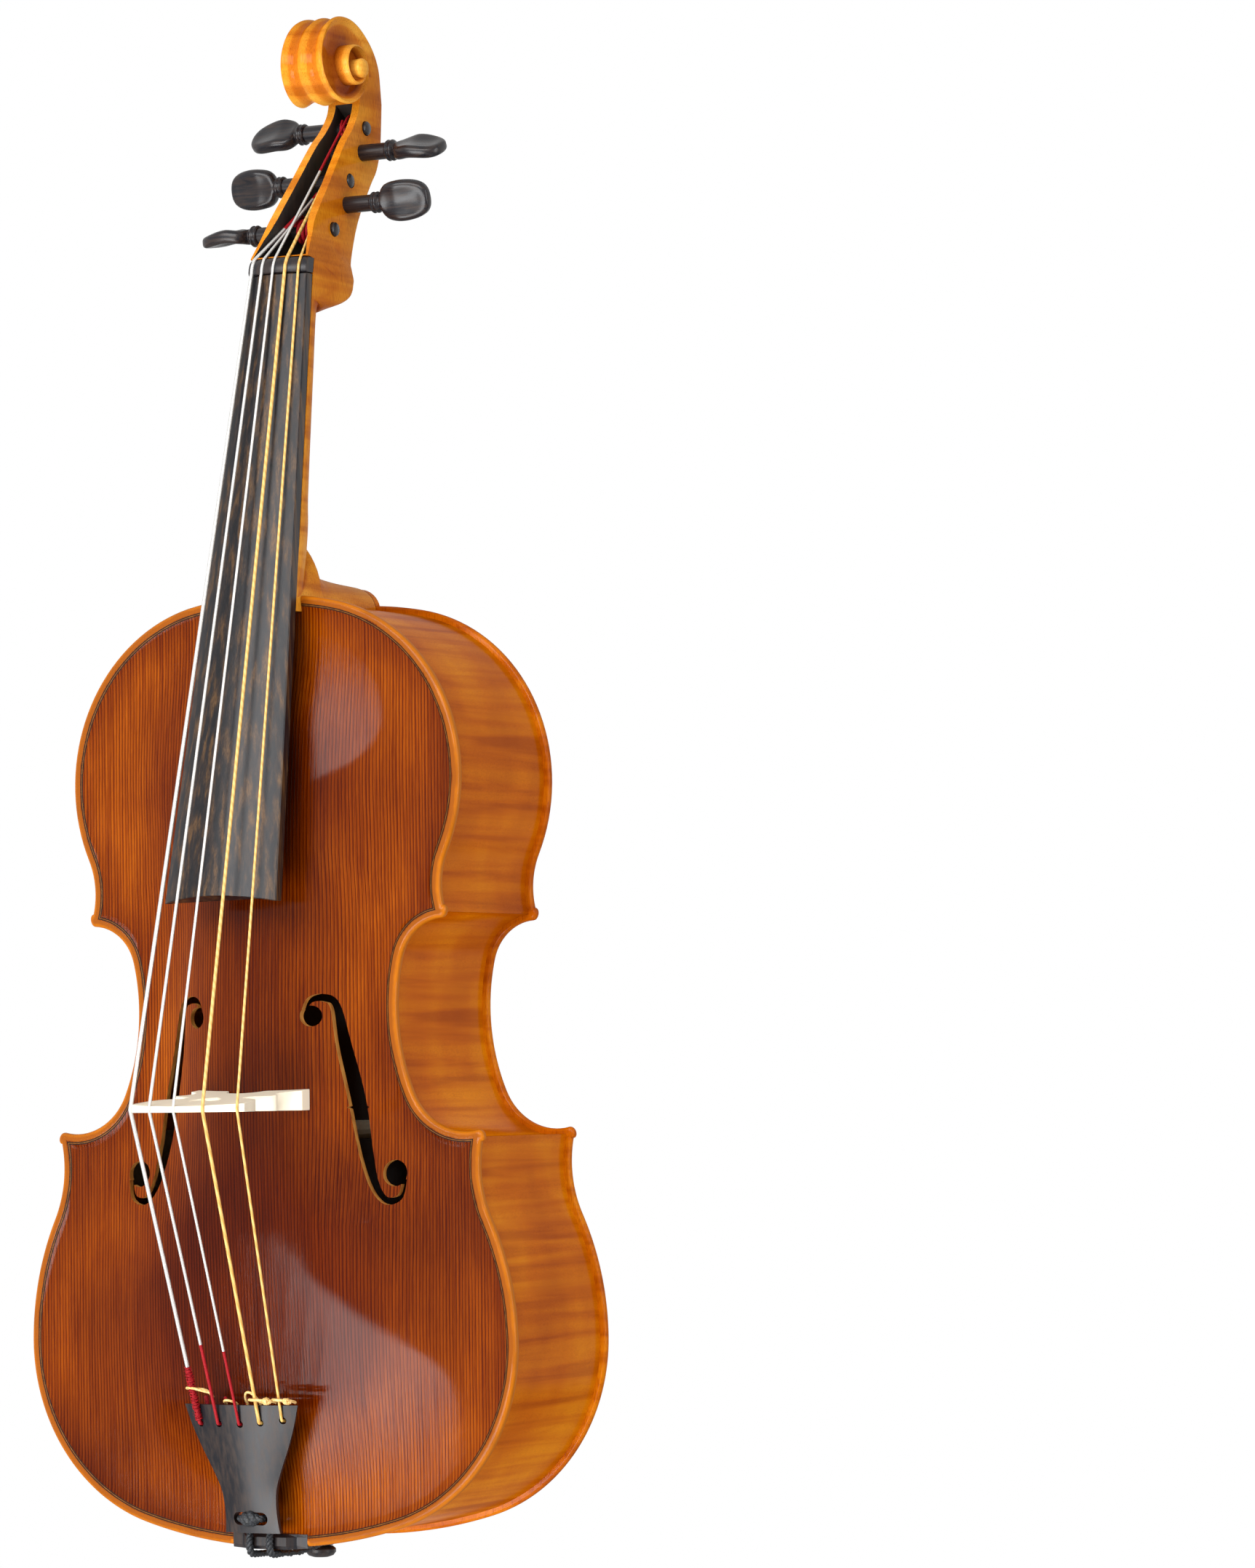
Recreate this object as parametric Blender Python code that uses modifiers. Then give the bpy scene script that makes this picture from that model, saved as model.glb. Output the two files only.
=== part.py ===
"""Violoncello da spalla with five strings: an arched spruce and maple body, a carved
scroll, friction pegs and gut strings. Metres, +Z towards the scroll, -Y to the front.
The origin is the centre of the end button's flat face. Pieces are modelled in the
body's own coordinates (y from the middle of the top plate's edge towards the back,
z from the plates' lower edge) and hang on one empty that places them."""

import math

import bmesh
import bpy
from mathutils import Vector
from mathutils.bvhtree import BVHTree

GAP = 0.0003  # clearance between pieces that touch

# Body outline, right half
BODY_LENGTH = 0.455
LOWER_HALF = 0.1354
LOWER_Z = 0.097
BOTTOM_R = 0.248
FLANK_R = 0.138  # side of the lower bout, above its widest point
LOWER_REVERSE_X = 0.1165
LOWER_REVERSE_R = 0.058
WAIST_HALF = 0.0724
WAIST_Z = 0.256
WAIST_R = 0.100
LOWER_HOOK_Z = 0.1972
LOWER_HOOK_R = 0.0311
UPPER_HOOK_Z = 0.2979
UPPER_HOOK_R = 0.024
UPPER_REVERSE_X = 0.097
UPPER_REVERSE_R = 0.040
UPPER_HALF = 0.1083
UPPER_Z = 0.366
TOP_R = 0.2014
CORNER_CUT_OUTER = 0.0066  # blunt end of a corner, along the bout
CORNER_CUT_INNER = 0.0030  # and along the waist's hook
CORNER_BULGE = 0.0022
CORNER_FADE = 0.0026  # inset at which a corner is sharp

# Plates
EDGE_THICK = 0.0044
PLATE_SPACING = 0.088  # between the middles of the two edges
EDGE_ROUND = 0.0012
PURFLING_INSET = 0.0035
PURFLING_WIDTH = 0.0013
PURFLING_DEEP = 0.0012
CHANNEL_INSET = 0.009
CHANNEL_DEEP = 0.0009
ARCH_RISE = 0.0163
TOP_THICK = 0.0032
BACK_THICK = 0.0038
GLUE_WIDTH = 0.0085
RING_INSETS = (0.024, 0.040, 0.058)
SPINE_INSET = 0.072
FULL_ARCH_SPAN = 0.075  # half height of the zone where the arch is fullest
FULL_ARCH_GAIN = 0.4
BUTTON_HALF = 0.012  # the back plate's button, under the heel
BUTTON_RISE = 0.0085
BUTTON_STEP = 0.0001  # its faces lie this far inside the plate's

# Ribs, blocks and linings
OVERHANG = 0.003
RIB_THICK = 0.0016
BLOCK_HALF = 0.030
BLOCK_DEEP = 0.018
CORNER_BLOCK_RUN = 0.024
LINING_THICK = 0.0026
LINING_TALL = 0.009
LINING_EDGE = 0.0008

# Sound holes, right half
UPPER_EYE = (0.0320, 0.2525)
UPPER_EYE_R = 0.0050
LOWER_EYE = (0.0717, 0.1778)
LOWER_EYE_R = 0.00625
STEM_WIDTH = 0.0084
CURL_WIDTH = 0.0030
NOTCH_Z = 0.209
NOTCH_DEEP = 0.0012
NOTCH_HALF = 0.0010

# Bass bar and sound post
BAR_X = -0.0215
BAR_WIDTH = 0.007
BAR_DEEP = 0.011
BAR_LOW_Z = 0.095
BAR_HIGH_Z = 0.385
POST_X = 0.024
POST_Z = 0.198
POST_R = 0.0045

# Neck and fingerboard
NECK_LENGTH = 0.157  # from the body's end to the nut
NUT_Y = 0.017  # height of the board's arris at the nut
BOARD_SLOPE = 0.1906
BOARD_SIDE = 0.0055
BOARD_NUT_HALF = 0.0164
BOARD_END_HALF = 0.0310
BOARD_LENGTH = 0.3054
BOARD_RISE_NUT = 0.0034  # crown of the playing surface above its arris
BOARD_RISE_END = 0.0090
BOARD_END_ARC = 0.003
HEEL_ROOT_HALF = 0.0225
MORTISE_DEEP = 0.009
NUT_THICK = 0.0076
NUT_TOP = 0.0010  # nut above the board's playing surface
SADDLE_HALF = 0.0207

# Head, as (y, z) from the nut's seat on the neck
PEG_HOLE_GAP = 0.0003
CHEEK_THICK = 0.0042
CAVITY_FLOOR = 0.0065  # wood left behind the pegbox's cavity
CAVITY_MOUTH = 0.0013  # wall left beside the outer strings at the nut
EYE_Y = 0.0415
EYE_Z = 0.1053
EYE_HALF = 0.0226

# Strings, from the bass side
STRING_R = (0.00100, 0.00080, 0.00070, 0.00085, 0.00065)
STRING_SHIFT = -0.0003
NUT_SPREAD = 0.0066
BRIDGE_SPREAD = 0.0148

# Where the body's coordinates lie in the part's frame
BUTTON_STAND = 0.008  # end button's face below the plates' edge
BODY_PLACE = (0.0, -PLATE_SPACING / 2, BUTTON_STAND)

# Counts of straight steps along each arc of the outline, from the bottom to the top
STEPS_BOTTOM = 3
STEPS_SIDE = 5
STEPS_FLANK = 3
STEPS_REVERSE = 3
STEPS_HOOK = 4
STEPS_WAIST = 3
STEPS_CORNER = 4
STEPS_UPPER_SIDE = 5
STEPS_TOP = 3

MAPLE = ("maple", "#B5651D", 0.25, 0.0)
SPRUCE = ("spruce", "#A8541A", 0.3, 0.0)
BARE_SPRUCE = ("bare_spruce", "#DCC08A", 0.7, 0.0)
BARE_MAPLE = ("bare_maple", "#E6D2A4", 0.6, 0.0)
INLAY = ("inlay", "#2A1A10", 0.4, 0.0)
EBONY = ("ebony", "#141212", 0.4, 0.0)
CORD = ("cord", "#101010", 0.7, 0.0)
WOUND = ("wound_string", "#C9CDD2", 0.3, 0.9)
GUT = ("gut_string", "#D9A441", 0.4, 0.0)


def linear(channel):
    """One sRGB channel, 0 to 1, as linear light."""
    if channel <= 0.04045:
        return channel / 12.92
    return ((channel + 0.055) / 1.055) ** 2.4


def material(look):
    name, colour, roughness, metallic = look
    made = bpy.data.materials.get(name) or bpy.data.materials.new(name)
    made.use_nodes = True
    shader = made.node_tree.nodes["Principled BSDF"]
    channels = [linear(int(colour[i : i + 2], 16) / 255) for i in (1, 3, 5)]
    shader.inputs["Base Color"].default_value = (*channels, 1.0)
    shader.inputs["Roughness"].default_value = roughness
    shader.inputs["Metallic"].default_value = metallic
    return made


def collection(name):
    made = bpy.data.collections.new(name)
    bpy.context.scene.collection.children.link(made)
    return made


def add_object(name, data, look, place=(0.0, 0.0, 0.0)):
    """A node: its mesh or curve data is in body coordinates, less the place given."""
    made = bpy.data.objects.new(name, data)
    made.data.materials.clear()
    made.data.materials.append(material(look))
    PARTS.objects.link(made)
    made.parent = BODY
    made.location = place
    return made


def add_cutter(name, data, place=(0.0, 0.0, 0.0)):
    made = bpy.data.objects.new(name, data)
    CUTTERS.objects.link(made)
    made.parent = BODY
    made.location = place
    made.hide_render = True
    made.display_type = "WIRE"
    return made


def mesh_from(name, points, faces, weld=1e-6):
    """A mesh with equal points made one and its faces turned outwards."""
    shape = bmesh.new()
    corners = [shape.verts.new(point) for point in points]
    for face in faces:
        distinct = list(dict.fromkeys(face))
        if len(distinct) > 2:
            shape.faces.new([corners[i] for i in distinct])
    bmesh.ops.remove_doubles(shape, verts=shape.verts, dist=weld)
    bmesh.ops.recalc_face_normals(shape, faces=shape.faces)
    mesh = bpy.data.meshes.new(name)
    shape.to_mesh(mesh)
    shape.free()
    return mesh


def smooth(made, angle=40):
    made.data.shade_smooth()
    made.data.set_sharp_from_angle(angle=math.radians(angle))


def loft(name, rings, closed_ends=True, closed_loop=False, weld=1e-6):
    """A mesh through rings of the same count of points, each ring a closed outline."""
    count = len(rings[0])
    points = [point for ring in rings for point in ring]
    faces = []
    spans = len(rings) if closed_loop else len(rings) - 1
    for i in range(spans):
        a = i * count
        b = ((i + 1) % len(rings)) * count
        for j in range(count):
            k = (j + 1) % count
            faces.append((a + j, a + k, b + k, b + j))
    if closed_ends and not closed_loop:
        faces.append(tuple(range(count))[::-1])
        faces.append(tuple(range(len(points) - count, len(points))))
    return mesh_from(name, points, faces, weld)


def boolean(made, cutter, operation="DIFFERENCE"):
    modifier = made.modifiers.new(cutter.name, "BOOLEAN")
    modifier.operation = operation
    modifier.solver = "EXACT"
    modifier.object = cutter


def evaluated_tree(made):
    """The evaluated mesh as a search tree, in the object's own coordinates."""
    bpy.context.view_layer.update()
    graph = bpy.context.evaluated_depsgraph_get()
    return BVHTree.FromObject(made, graph)


def blend(a, b, share):
    return a + (b - a) * share


def spread(start, end, steps):
    """Angles from start to end in equal steps, both ends included."""
    return [blend(start, end, i / steps) for i in range(steps + 1)]


def direction(origin, target):
    return math.atan2(target[1] - origin[1], target[0] - origin[0])


def on_circle(centre, radius, angle):
    return (centre[0] + radius * math.cos(angle), centre[1] + radius * math.sin(angle))


def end_flank_radius(end_radius, half, height):
    """Radius of the side arc that touches the end's arc and is vertical at (half, height)."""
    rise = end_radius - height
    return (end_radius**2 - half**2 - rise**2) / (2 * (end_radius - half))


def circle_crossing(centre_a, radius_a, centre_b, radius_b, side):
    """Where two circles cross, on the left (1) or right (-1) of the line from a to b."""
    apart = math.dist(centre_a, centre_b)
    along = (radius_a**2 - radius_b**2 + apart**2) / (2 * apart)
    across = side * math.sqrt(max(radius_a**2 - along**2, 0.0))
    ux = (centre_b[0] - centre_a[0]) / apart
    uz = (centre_b[1] - centre_a[1]) / apart
    return (
        centre_a[0] + along * ux - across * uz,
        centre_a[1] + along * uz + across * ux,
    )


def outline_circles():
    """Centre and radius of each arc of the right half, found from where they touch."""
    low_r = end_flank_radius(BOTTOM_R, LOWER_HALF, LOWER_Z)
    low = (LOWER_HALF - low_r, LOWER_Z)
    flank = (LOWER_HALF - FLANK_R, LOWER_Z)
    run = LOWER_REVERSE_X + LOWER_REVERSE_R - flank[0]
    climb = math.sqrt((FLANK_R + LOWER_REVERSE_R) ** 2 - run**2)
    low_reverse = (LOWER_REVERSE_X + LOWER_REVERSE_R, LOWER_Z + climb)
    waist = (WAIST_HALF + WAIST_R, WAIST_Z)
    low_hook_z = LOWER_HOOK_Z + LOWER_HOOK_R
    reach = math.sqrt((WAIST_R - LOWER_HOOK_R) ** 2 - (WAIST_Z - low_hook_z) ** 2)
    low_hook = (waist[0] - reach, low_hook_z)
    high_hook_z = UPPER_HOOK_Z - UPPER_HOOK_R
    reach = math.sqrt((WAIST_R - UPPER_HOOK_R) ** 2 - (WAIST_Z - high_hook_z) ** 2)
    high_hook = (waist[0] - reach, high_hook_z)
    high_r = end_flank_radius(TOP_R, UPPER_HALF, BODY_LENGTH - UPPER_Z)
    high = (UPPER_HALF - high_r, UPPER_Z)
    run = UPPER_REVERSE_X + UPPER_REVERSE_R - high[0]
    drop = math.sqrt((high_r + UPPER_REVERSE_R) ** 2 - run**2)
    high_reverse = (UPPER_REVERSE_X + UPPER_REVERSE_R, UPPER_Z - drop)
    return {
        "bottom": ((0.0, BOTTOM_R), BOTTOM_R),
        "low": (low, low_r),
        "flank": (flank, FLANK_R),
        "low_reverse": (low_reverse, LOWER_REVERSE_R),
        "low_hook": (low_hook, LOWER_HOOK_R),
        "waist": (waist, WAIST_R),
        "high_hook": (high_hook, UPPER_HOOK_R),
        "high_reverse": (high_reverse, UPPER_REVERSE_R),
        "high": (high, high_r),
        "top": ((0.0, BODY_LENGTH - TOP_R), TOP_R),
    }


def corner_points(reverse, hook, inset, reverse_first):
    """The angles where the two arcs of a corner stop and the points of its blunt end."""
    reverse_r = reverse[1] + inset
    hook_r = hook[1] + inset
    side = -1 if reverse_first else 1
    tip = circle_crossing(reverse[0], reverse_r, hook[0], hook_r, -side)
    share = max(0.0, 1 - inset / CORNER_FADE)
    reverse_angle = direction(reverse[0], tip) % math.tau
    reverse_angle -= side * share * CORNER_CUT_OUTER / reverse_r
    hook_angle = direction(hook[0], tip) % math.tau
    hook_angle += side * share * CORNER_CUT_INNER / hook_r
    a = on_circle(reverse[0], reverse_r, reverse_angle)
    b = on_circle(hook[0], hook_r, hook_angle)
    middle = ((a[0] + b[0]) / 2, (a[1] + b[1]) / 2)
    bulge = share * CORNER_BULGE
    start, end = (a, b) if reverse_first else (b, a)
    points = []
    for i in range(1, STEPS_CORNER):
        turn = math.pi * i / STEPS_CORNER
        x = middle[0] - (end[0] - start[0]) / 2 * math.cos(turn) + bulge * math.sin(turn)
        z = middle[1] - (end[1] - start[1]) / 2 * math.cos(turn)
        points.append((x, z))
    return reverse_angle, hook_angle, points


def half_outline(inset):
    """Points (x, z) of the right half, drawn in by the inset, from the bottom to the top."""
    c = outline_circles()
    low_turn, low_hook_turn, low_tip = corner_points(
        c["low_reverse"], c["low_hook"], inset, True
    )
    high_turn, high_hook_turn, high_tip = corner_points(
        c["high_reverse"], c["high_hook"], inset, False
    )
    to_low = direction(c["bottom"][0], c["low"][0])
    to_reverse = direction(c["flank"][0], c["low_reverse"][0])
    from_waist_low = direction(c["waist"][0], c["low_hook"][0]) % math.tau
    from_waist_high = direction(c["waist"][0], c["high_hook"][0]) % math.tau
    to_high = direction(c["high_reverse"][0], c["high"][0]) % math.tau
    to_top = direction(c["top"][0], c["high"][0])
    arcs = (
        ("bottom", -math.pi / 2, to_low, STEPS_BOTTOM, -1),
        ("low", to_low, 0.0, STEPS_SIDE, -1),
        ("flank", 0.0, to_reverse, STEPS_FLANK, -1),
        ("low_reverse", math.pi + to_reverse, low_turn, STEPS_REVERSE, 1),
        ("low_hook", low_hook_turn, from_waist_low, STEPS_HOOK, 1),
        ("waist", from_waist_low, from_waist_high, STEPS_WAIST, 1),
        ("high_hook", from_waist_high, high_hook_turn, STEPS_HOOK, 1),
        ("high_reverse", high_turn, to_high, STEPS_REVERSE, 1),
        ("high", to_high - math.pi, to_top, STEPS_UPPER_SIDE, -1),
        ("top", to_top, math.pi / 2, STEPS_TOP, -1),
    )
    points = []
    for name, start, end, steps, sign in arcs:
        centre, radius = c[name]
        arc = [on_circle(centre, radius + sign * inset, a) for a in spread(start, end, steps)]
        after_corner = name in ("low_hook", "high_reverse")
        points += arc if after_corner or not points else arc[1:]
        if name == "low_reverse":
            points += low_tip
        if name == "high_hook":
            points += high_tip
    points[0] = (0.0, points[0][1])
    points[-1] = (0.0, points[-1][1])
    return points


LOW_CORNER = STEPS_BOTTOM + STEPS_SIDE + STEPS_FLANK + STEPS_REVERSE + STEPS_CORNER // 2
HIGH_CORNER = LOW_CORNER + STEPS_CORNER + 2 * STEPS_HOOK + STEPS_WAIST
SLOPE_LENGTH = 0.75  # power of the long arch: under 1 it rises sooner


def whole_outline(inset):
    """The closed outline, right half upwards and left half down again."""
    right = half_outline(inset)
    return right + [(-x, z) for x, z in reversed(right[1:-1])]


def cycloid(share):
    """A curtate cycloid from 0 to 1, flat at both ends."""
    share = min(max(share, 0.0), 1.0)
    return share - math.sin(math.tau * share) / math.tau


def spine_point(z):
    return (0.0, min(max(z, SPINE_INSET), BODY_LENGTH - SPINE_INSET))


def long_arch(z):
    """Height of the arch's crest over the channel, along the body."""
    half = BODY_LENGTH / 2
    reach = (half - abs(z - half) - CHANNEL_INSET) / (half - CHANNEL_INSET)
    rise = ARCH_RISE + CHANNEL_DEEP
    return rise * math.sin(math.pi / 2 * min(max(reach, 0.0), 1.0)) ** SLOPE_LENGTH


def arch_height(inset, total, point, crest_z):
    """Height of the plate's outer face over its channel."""
    share = (inset - CHANNEL_INSET) / (total - CHANNEL_INSET)
    nearness = max(0.0, 1 - abs(point[1] - WAIST_Z) / FULL_ARCH_SPAN)
    power = 1 - FULL_ARCH_GAIN * math.sin(math.pi / 2 * nearness) ** 2
    return long_arch(crest_z) * cycloid(share) ** power


def plate_rings(thickness):
    """Half rings of a plate as (x, y, z), from the crest of its outer face over the edge
    to the crest of its inner face; y grows from the outer face to the inner one."""
    outer_edge = -EDGE_THICK / 2
    glue = EDGE_THICK / 2
    channel = outer_edge + CHANNEL_DEEP
    innermost = half_outline(RING_INSETS[-1])
    crests = [spine_point(z) for _, z in innermost]
    totals = [RING_INSETS[-1] + math.dist(p, q) for p, q in zip(innermost, crests)]

    def outer(inset, points):
        heights = [
            arch_height(inset, total, p, crest[1])
            for p, total, crest in zip(points, totals, crests)
        ]
        return [(x, channel - h, z) for (x, z), h in zip(points, heights)]

    def inner(ring):
        return [(x, min(y + thickness, glue), z) for x, y, z in ring]

    def level(inset, y):
        return [(x, y, z) for x, z in half_outline(inset)]

    crest = [(x, channel - long_arch(z), z) for x, z in crests]
    arched = [outer(inset, half_outline(inset)) for inset in RING_INSETS]
    groove_inner = PURFLING_INSET + PURFLING_WIDTH + 2 * GAP
    groove_floor = outer_edge + PURFLING_DEEP + GAP
    rings = [crest, *reversed(arched)]
    rings.append(level(CHANNEL_INSET, channel))
    rings.append(level(groove_inner, outer_edge + CHANNEL_DEEP / 4))
    rings.append(level(groove_inner, groove_floor))
    rings.append(level(PURFLING_INSET, groove_floor))
    rings.append(level(PURFLING_INSET, outer_edge))
    rings.append(level(EDGE_ROUND, outer_edge))
    rings.append(level(0.0, outer_edge + EDGE_ROUND))
    rings.append(level(0.0, glue))
    rings.append(level(GLUE_WIDTH, glue))
    rings += [inner(ring) for ring in arched]
    rings.append(inner(crest))
    return rings


def plate(name, thickness, look, turned):
    """A plate from half rings mirrored over the joint; turned puts it on the back."""
    rings = plate_rings(thickness)
    count = len(rings[0])
    points = [point for ring in rings for point in ring]
    if turned:
        points = [(x, PLATE_SPACING - y, z) for x, y, z in points]
    faces = []
    for i in range(len(rings) - 1):
        for j in range(count - 1):
            a = i * count + j
            faces.append((a, a + 1, a + 1 + count, a + count))
    made = add_object(name, mesh_from(name, points, faces), look)
    mirror = made.modifiers.new("both_halves", "MIRROR")
    mirror.merge_threshold = 0.00001
    return made


def button_mesh():
    """The back plate's button, which carries the end of the heel."""
    middle = BODY_LENGTH - PURFLING_INSET / 2 - EDGE_ROUND / 2
    rise = BODY_LENGTH + BUTTON_RISE - middle
    outline = []
    for turn in spread(0.0, math.pi, 10):
        outline.append((BUTTON_HALF * math.cos(turn), middle + rise * math.sin(turn)))
    low = PLATE_SPACING - EDGE_THICK / 2 + BUTTON_STEP
    return prism("button", outline, low, low + EDGE_THICK - 2 * BUTTON_STEP)


def prism(name, outline, low_y, high_y):
    """An outline in (x, z) made solid between two heights."""
    low = [(x, low_y, z) for x, z in outline]
    high = [(x, high_y, z) for x, z in outline]
    return loft(name, [low, high])


def curve_points(controls, steps):
    """Points of a smooth curve through the controls, each a tuple of any length."""
    points = []
    last = len(controls) - 1
    for i in range(last):
        before = controls[max(i - 1, 0)]
        a, b = controls[i], controls[i + 1]
        after = controls[min(i + 2, last)]
        for step in range(steps):
            t = step / steps
            points.append(
                tuple(
                    0.5
                    * (
                        2 * q
                        + (r - p) * t
                        + (2 * p - 5 * q + 4 * r - s) * t**2
                        + (3 * q - p - 3 * r + s) * t**3
                    )
                    for p, q, r, s in zip(before, a, b, after)
                )
            )
    points.append(tuple(controls[last]))
    return points


def band_outline(stations):
    """The outline of a band from stations (x, z, width) along its middle."""
    left, right = [], []
    for i, (x, z, width) in enumerate(stations):
        before = stations[max(i - 1, 0)]
        after = stations[min(i + 1, len(stations) - 1)]
        run = Vector((after[0] - before[0], after[1] - before[1])).normalized()
        left.append((x - run.y * width / 2, z + run.x * width / 2))
        right.append((x + run.y * width / 2, z - run.x * width / 2))
    return left + right[::-1]


def sound_hole_stations():
    """The right sound hole's stem as (x, z, width), from one eye over both curls."""
    ux, uz = UPPER_EYE
    lx, lz = LOWER_EYE
    curl = CURL_WIDTH
    controls = [
        (ux - 0.6 * UPPER_EYE_R, uz + 0.55 * UPPER_EYE_R, 0.8 * curl),
        (ux - 0.1 * UPPER_EYE_R, uz + 1.50 * UPPER_EYE_R, curl),
        (ux + 1.0 * UPPER_EYE_R, uz + 1.72 * UPPER_EYE_R, 1.2 * curl),
        (ux + 2.1 * UPPER_EYE_R, uz + 0.95 * UPPER_EYE_R, 0.55 * STEM_WIDTH),
        (blend(ux, lx, 0.36), blend(uz, lz, 0.20), 0.85 * STEM_WIDTH),
        (blend(ux, lx, 0.50), blend(uz, lz, 0.53), STEM_WIDTH),
        (blend(ux, lx, 0.61), blend(uz, lz, 0.84), 0.85 * STEM_WIDTH),
        (lx - 1.70 * LOWER_EYE_R, lz - 0.75 * LOWER_EYE_R, 0.6 * STEM_WIDTH),
        (lx - 0.70 * LOWER_EYE_R, lz - 2.05 * LOWER_EYE_R, 1.2 * curl),
        (lx + 0.45 * LOWER_EYE_R, lz - 1.80 * LOWER_EYE_R, curl),
        (lx + 0.80 * LOWER_EYE_R, lz - 0.45 * LOWER_EYE_R, 0.8 * curl),
    ]
    return curve_points(controls, 3)


def cut_sound_holes(top):
    """Both sound holes: the stem, its two eyes and the pair of notches at its middle."""
    stations = sound_hole_stations()
    low_y, high_y = -0.03, 0.01
    middle = min(stations, key=lambda s: abs(s[1] - NOTCH_Z))
    reach = middle[2] / 2 + NOTCH_DEEP
    notch = [
        (middle[0] - reach, NOTCH_Z),
        (middle[0], NOTCH_Z + NOTCH_HALF * 3),
        (middle[0] + reach, NOTCH_Z),
        (middle[0], NOTCH_Z - NOTCH_HALF * 3),
    ]
    for side, hand in ((1, "treble"), (-1, "bass")):
        shapes = {"stem": band_outline(stations), "notch": notch}
        for eye, centre, radius in (
            ("upper_eye", UPPER_EYE, UPPER_EYE_R),
            ("lower_eye", LOWER_EYE, LOWER_EYE_R),
        ):
            turns = spread(0.0, math.tau, 12)[:-1]
            shapes[eye] = [on_circle(centre, radius, turn) for turn in turns]
        for part, outline in shapes.items():
            placed = [(side * x, z) for x, z in outline]
            name = f"{hand}_{part}"
            boolean(top, add_cutter(name, prism(name, placed, low_y, high_y)))


RIB_INSET = OVERHANG
BLOCK_INSET = OVERHANG + RIB_THICK + GAP
CAVITY_FRONT = EDGE_THICK / 2 + GAP  # the space between the plates' gluing faces
CAVITY_BACK = PLATE_SPACING - EDGE_THICK / 2 - GAP
HEEL_BACK = PLATE_SPACING - EDGE_THICK / 2 - GAP


def point_at(points, place):
    """A point of a broken line at an index with a fraction."""
    i = min(int(place), len(points) - 2)
    share = place - i
    return tuple(blend(p, q, share) for p, q in zip(points[i], points[i + 1]))


def place_at_x(points, x, indices):
    """Where a broken line first passes x, walking through the indices."""
    for i, k in zip(indices, indices[1:]):
        a, b = points[i][0], points[k][0]
        if (a - x) * (b - x) <= 0 and a != b:
            return i + (k - i) * (x - a) / (b - a)
    raise ValueError("the outline does not reach that far")


def place_at_length(points, start, length, step):
    """The place a length away from the index start, upwards (1) or downwards (-1)."""
    i = start
    while True:
        run = math.dist(points[i], points[i + step])
        if run >= length:
            return i + step * length / run
        length -= run
        i += step


def stretch(points, start, end):
    """The part of a broken line between two places."""
    inner = [i for i in range(len(points)) if start + 1e-6 < i < end - 1e-6]
    places = [start, *inner, end]
    return [point_at(points, place) for place in places]


def strip(name, look, lines, side):
    """A solid along the body's edge from corner lines (points, y), on one side."""
    rings = []
    for stations in zip(*(points for points, _ in lines)):
        heights = [y for _, y in lines]
        rings.append([(side * x, y, z) for (x, z), y in zip(stations, heights)])
    return add_object(name, loft(name, rings), look)


def make_purfling():
    """The inlay of both plates; the top's is parted by the saddle and the neck."""
    front = -EDGE_THICK / 2
    outer = half_outline(PURFLING_INSET + GAP)
    inner = half_outline(PURFLING_INSET + GAP + PURFLING_WIDTH)
    upwards = list(range(len(outer)))
    low = place_at_x(outer, SADDLE_HALF + 2 * GAP, upwards)
    high = place_at_x(outer, HEEL_ROOT_HALF + 2 * GAP, upwards[::-1])
    for side, hand in ((1, "treble"), (-1, "bass")):
        a, b = stretch(outer, low, high), stretch(inner, low, high)
        lines = [(a, front), (b, front), (b, front + PURFLING_DEEP), (a, front + PURFLING_DEEP)]
        strip(f"top_purfling_{hand}", INLAY, lines, side)
    back = PLATE_SPACING + EDGE_THICK / 2
    a = whole_outline(PURFLING_INSET + GAP)
    b = whole_outline(PURFLING_INSET + GAP + PURFLING_WIDTH)
    rings = [
        [(p[0], back, p[1]), (q[0], back, q[1])]
        + [(q[0], back - PURFLING_DEEP, q[1]), (p[0], back - PURFLING_DEEP, p[1])]
        for p, q in zip(a, b)
    ]
    add_object("back_purfling", loft("back_purfling", rings, closed_loop=True), INLAY)


def heel_half(y):
    """Half width of the neck's heel at a depth in the body."""
    return blend(HEEL_ROOT_HALF, BUTTON_HALF, min(max(y / HEEL_BACK, 0.0), 1.0))


def make_ribs():
    """Three ribs a side, mitred at the corners; the upper ones stop at the heel."""
    outer = half_outline(RIB_INSET)
    inner = half_outline(RIB_INSET + RIB_THICK)
    last = len(outer) - 1
    downwards = list(range(last, -1, -1))
    mitre = 0.7 * GAP
    for side, hand in ((1, "treble"), (-1, "bass")):
        start = place_at_x(outer, GAP / 2, list(range(last)))
        low_end = place_at_length(outer, LOW_CORNER, mitre, -1)
        waist = (
            place_at_length(outer, LOW_CORNER, mitre, 1),
            place_at_length(outer, HIGH_CORNER, mitre, -1),
        )
        high_start = place_at_length(outer, HIGH_CORNER, mitre, 1)
        reach = HEEL_ROOT_HALF + 2 * RIB_THICK
        high_end = place_at_x(outer, reach, downwards)
        spans = {
            "lower": (start, low_end),
            "middle": waist,
            "upper": (high_start, high_end),
        }
        for bout, (begin, end) in spans.items():
            corners = ((outer, CAVITY_FRONT), (outer, CAVITY_BACK))
            corners += ((inner, CAVITY_BACK), (inner, CAVITY_FRONT))
            lines = [(stretch(points, begin, end), y) for points, y in corners]
            if bout == "upper":
                for (points, _), (line, y) in zip(corners, lines):
                    stop = place_at_x(points, heel_half(y) + GAP, downwards)
                    line.append(point_at(points, stop))
            strip(f"{bout}_rib_{hand}", MAPLE, lines, side)


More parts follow.
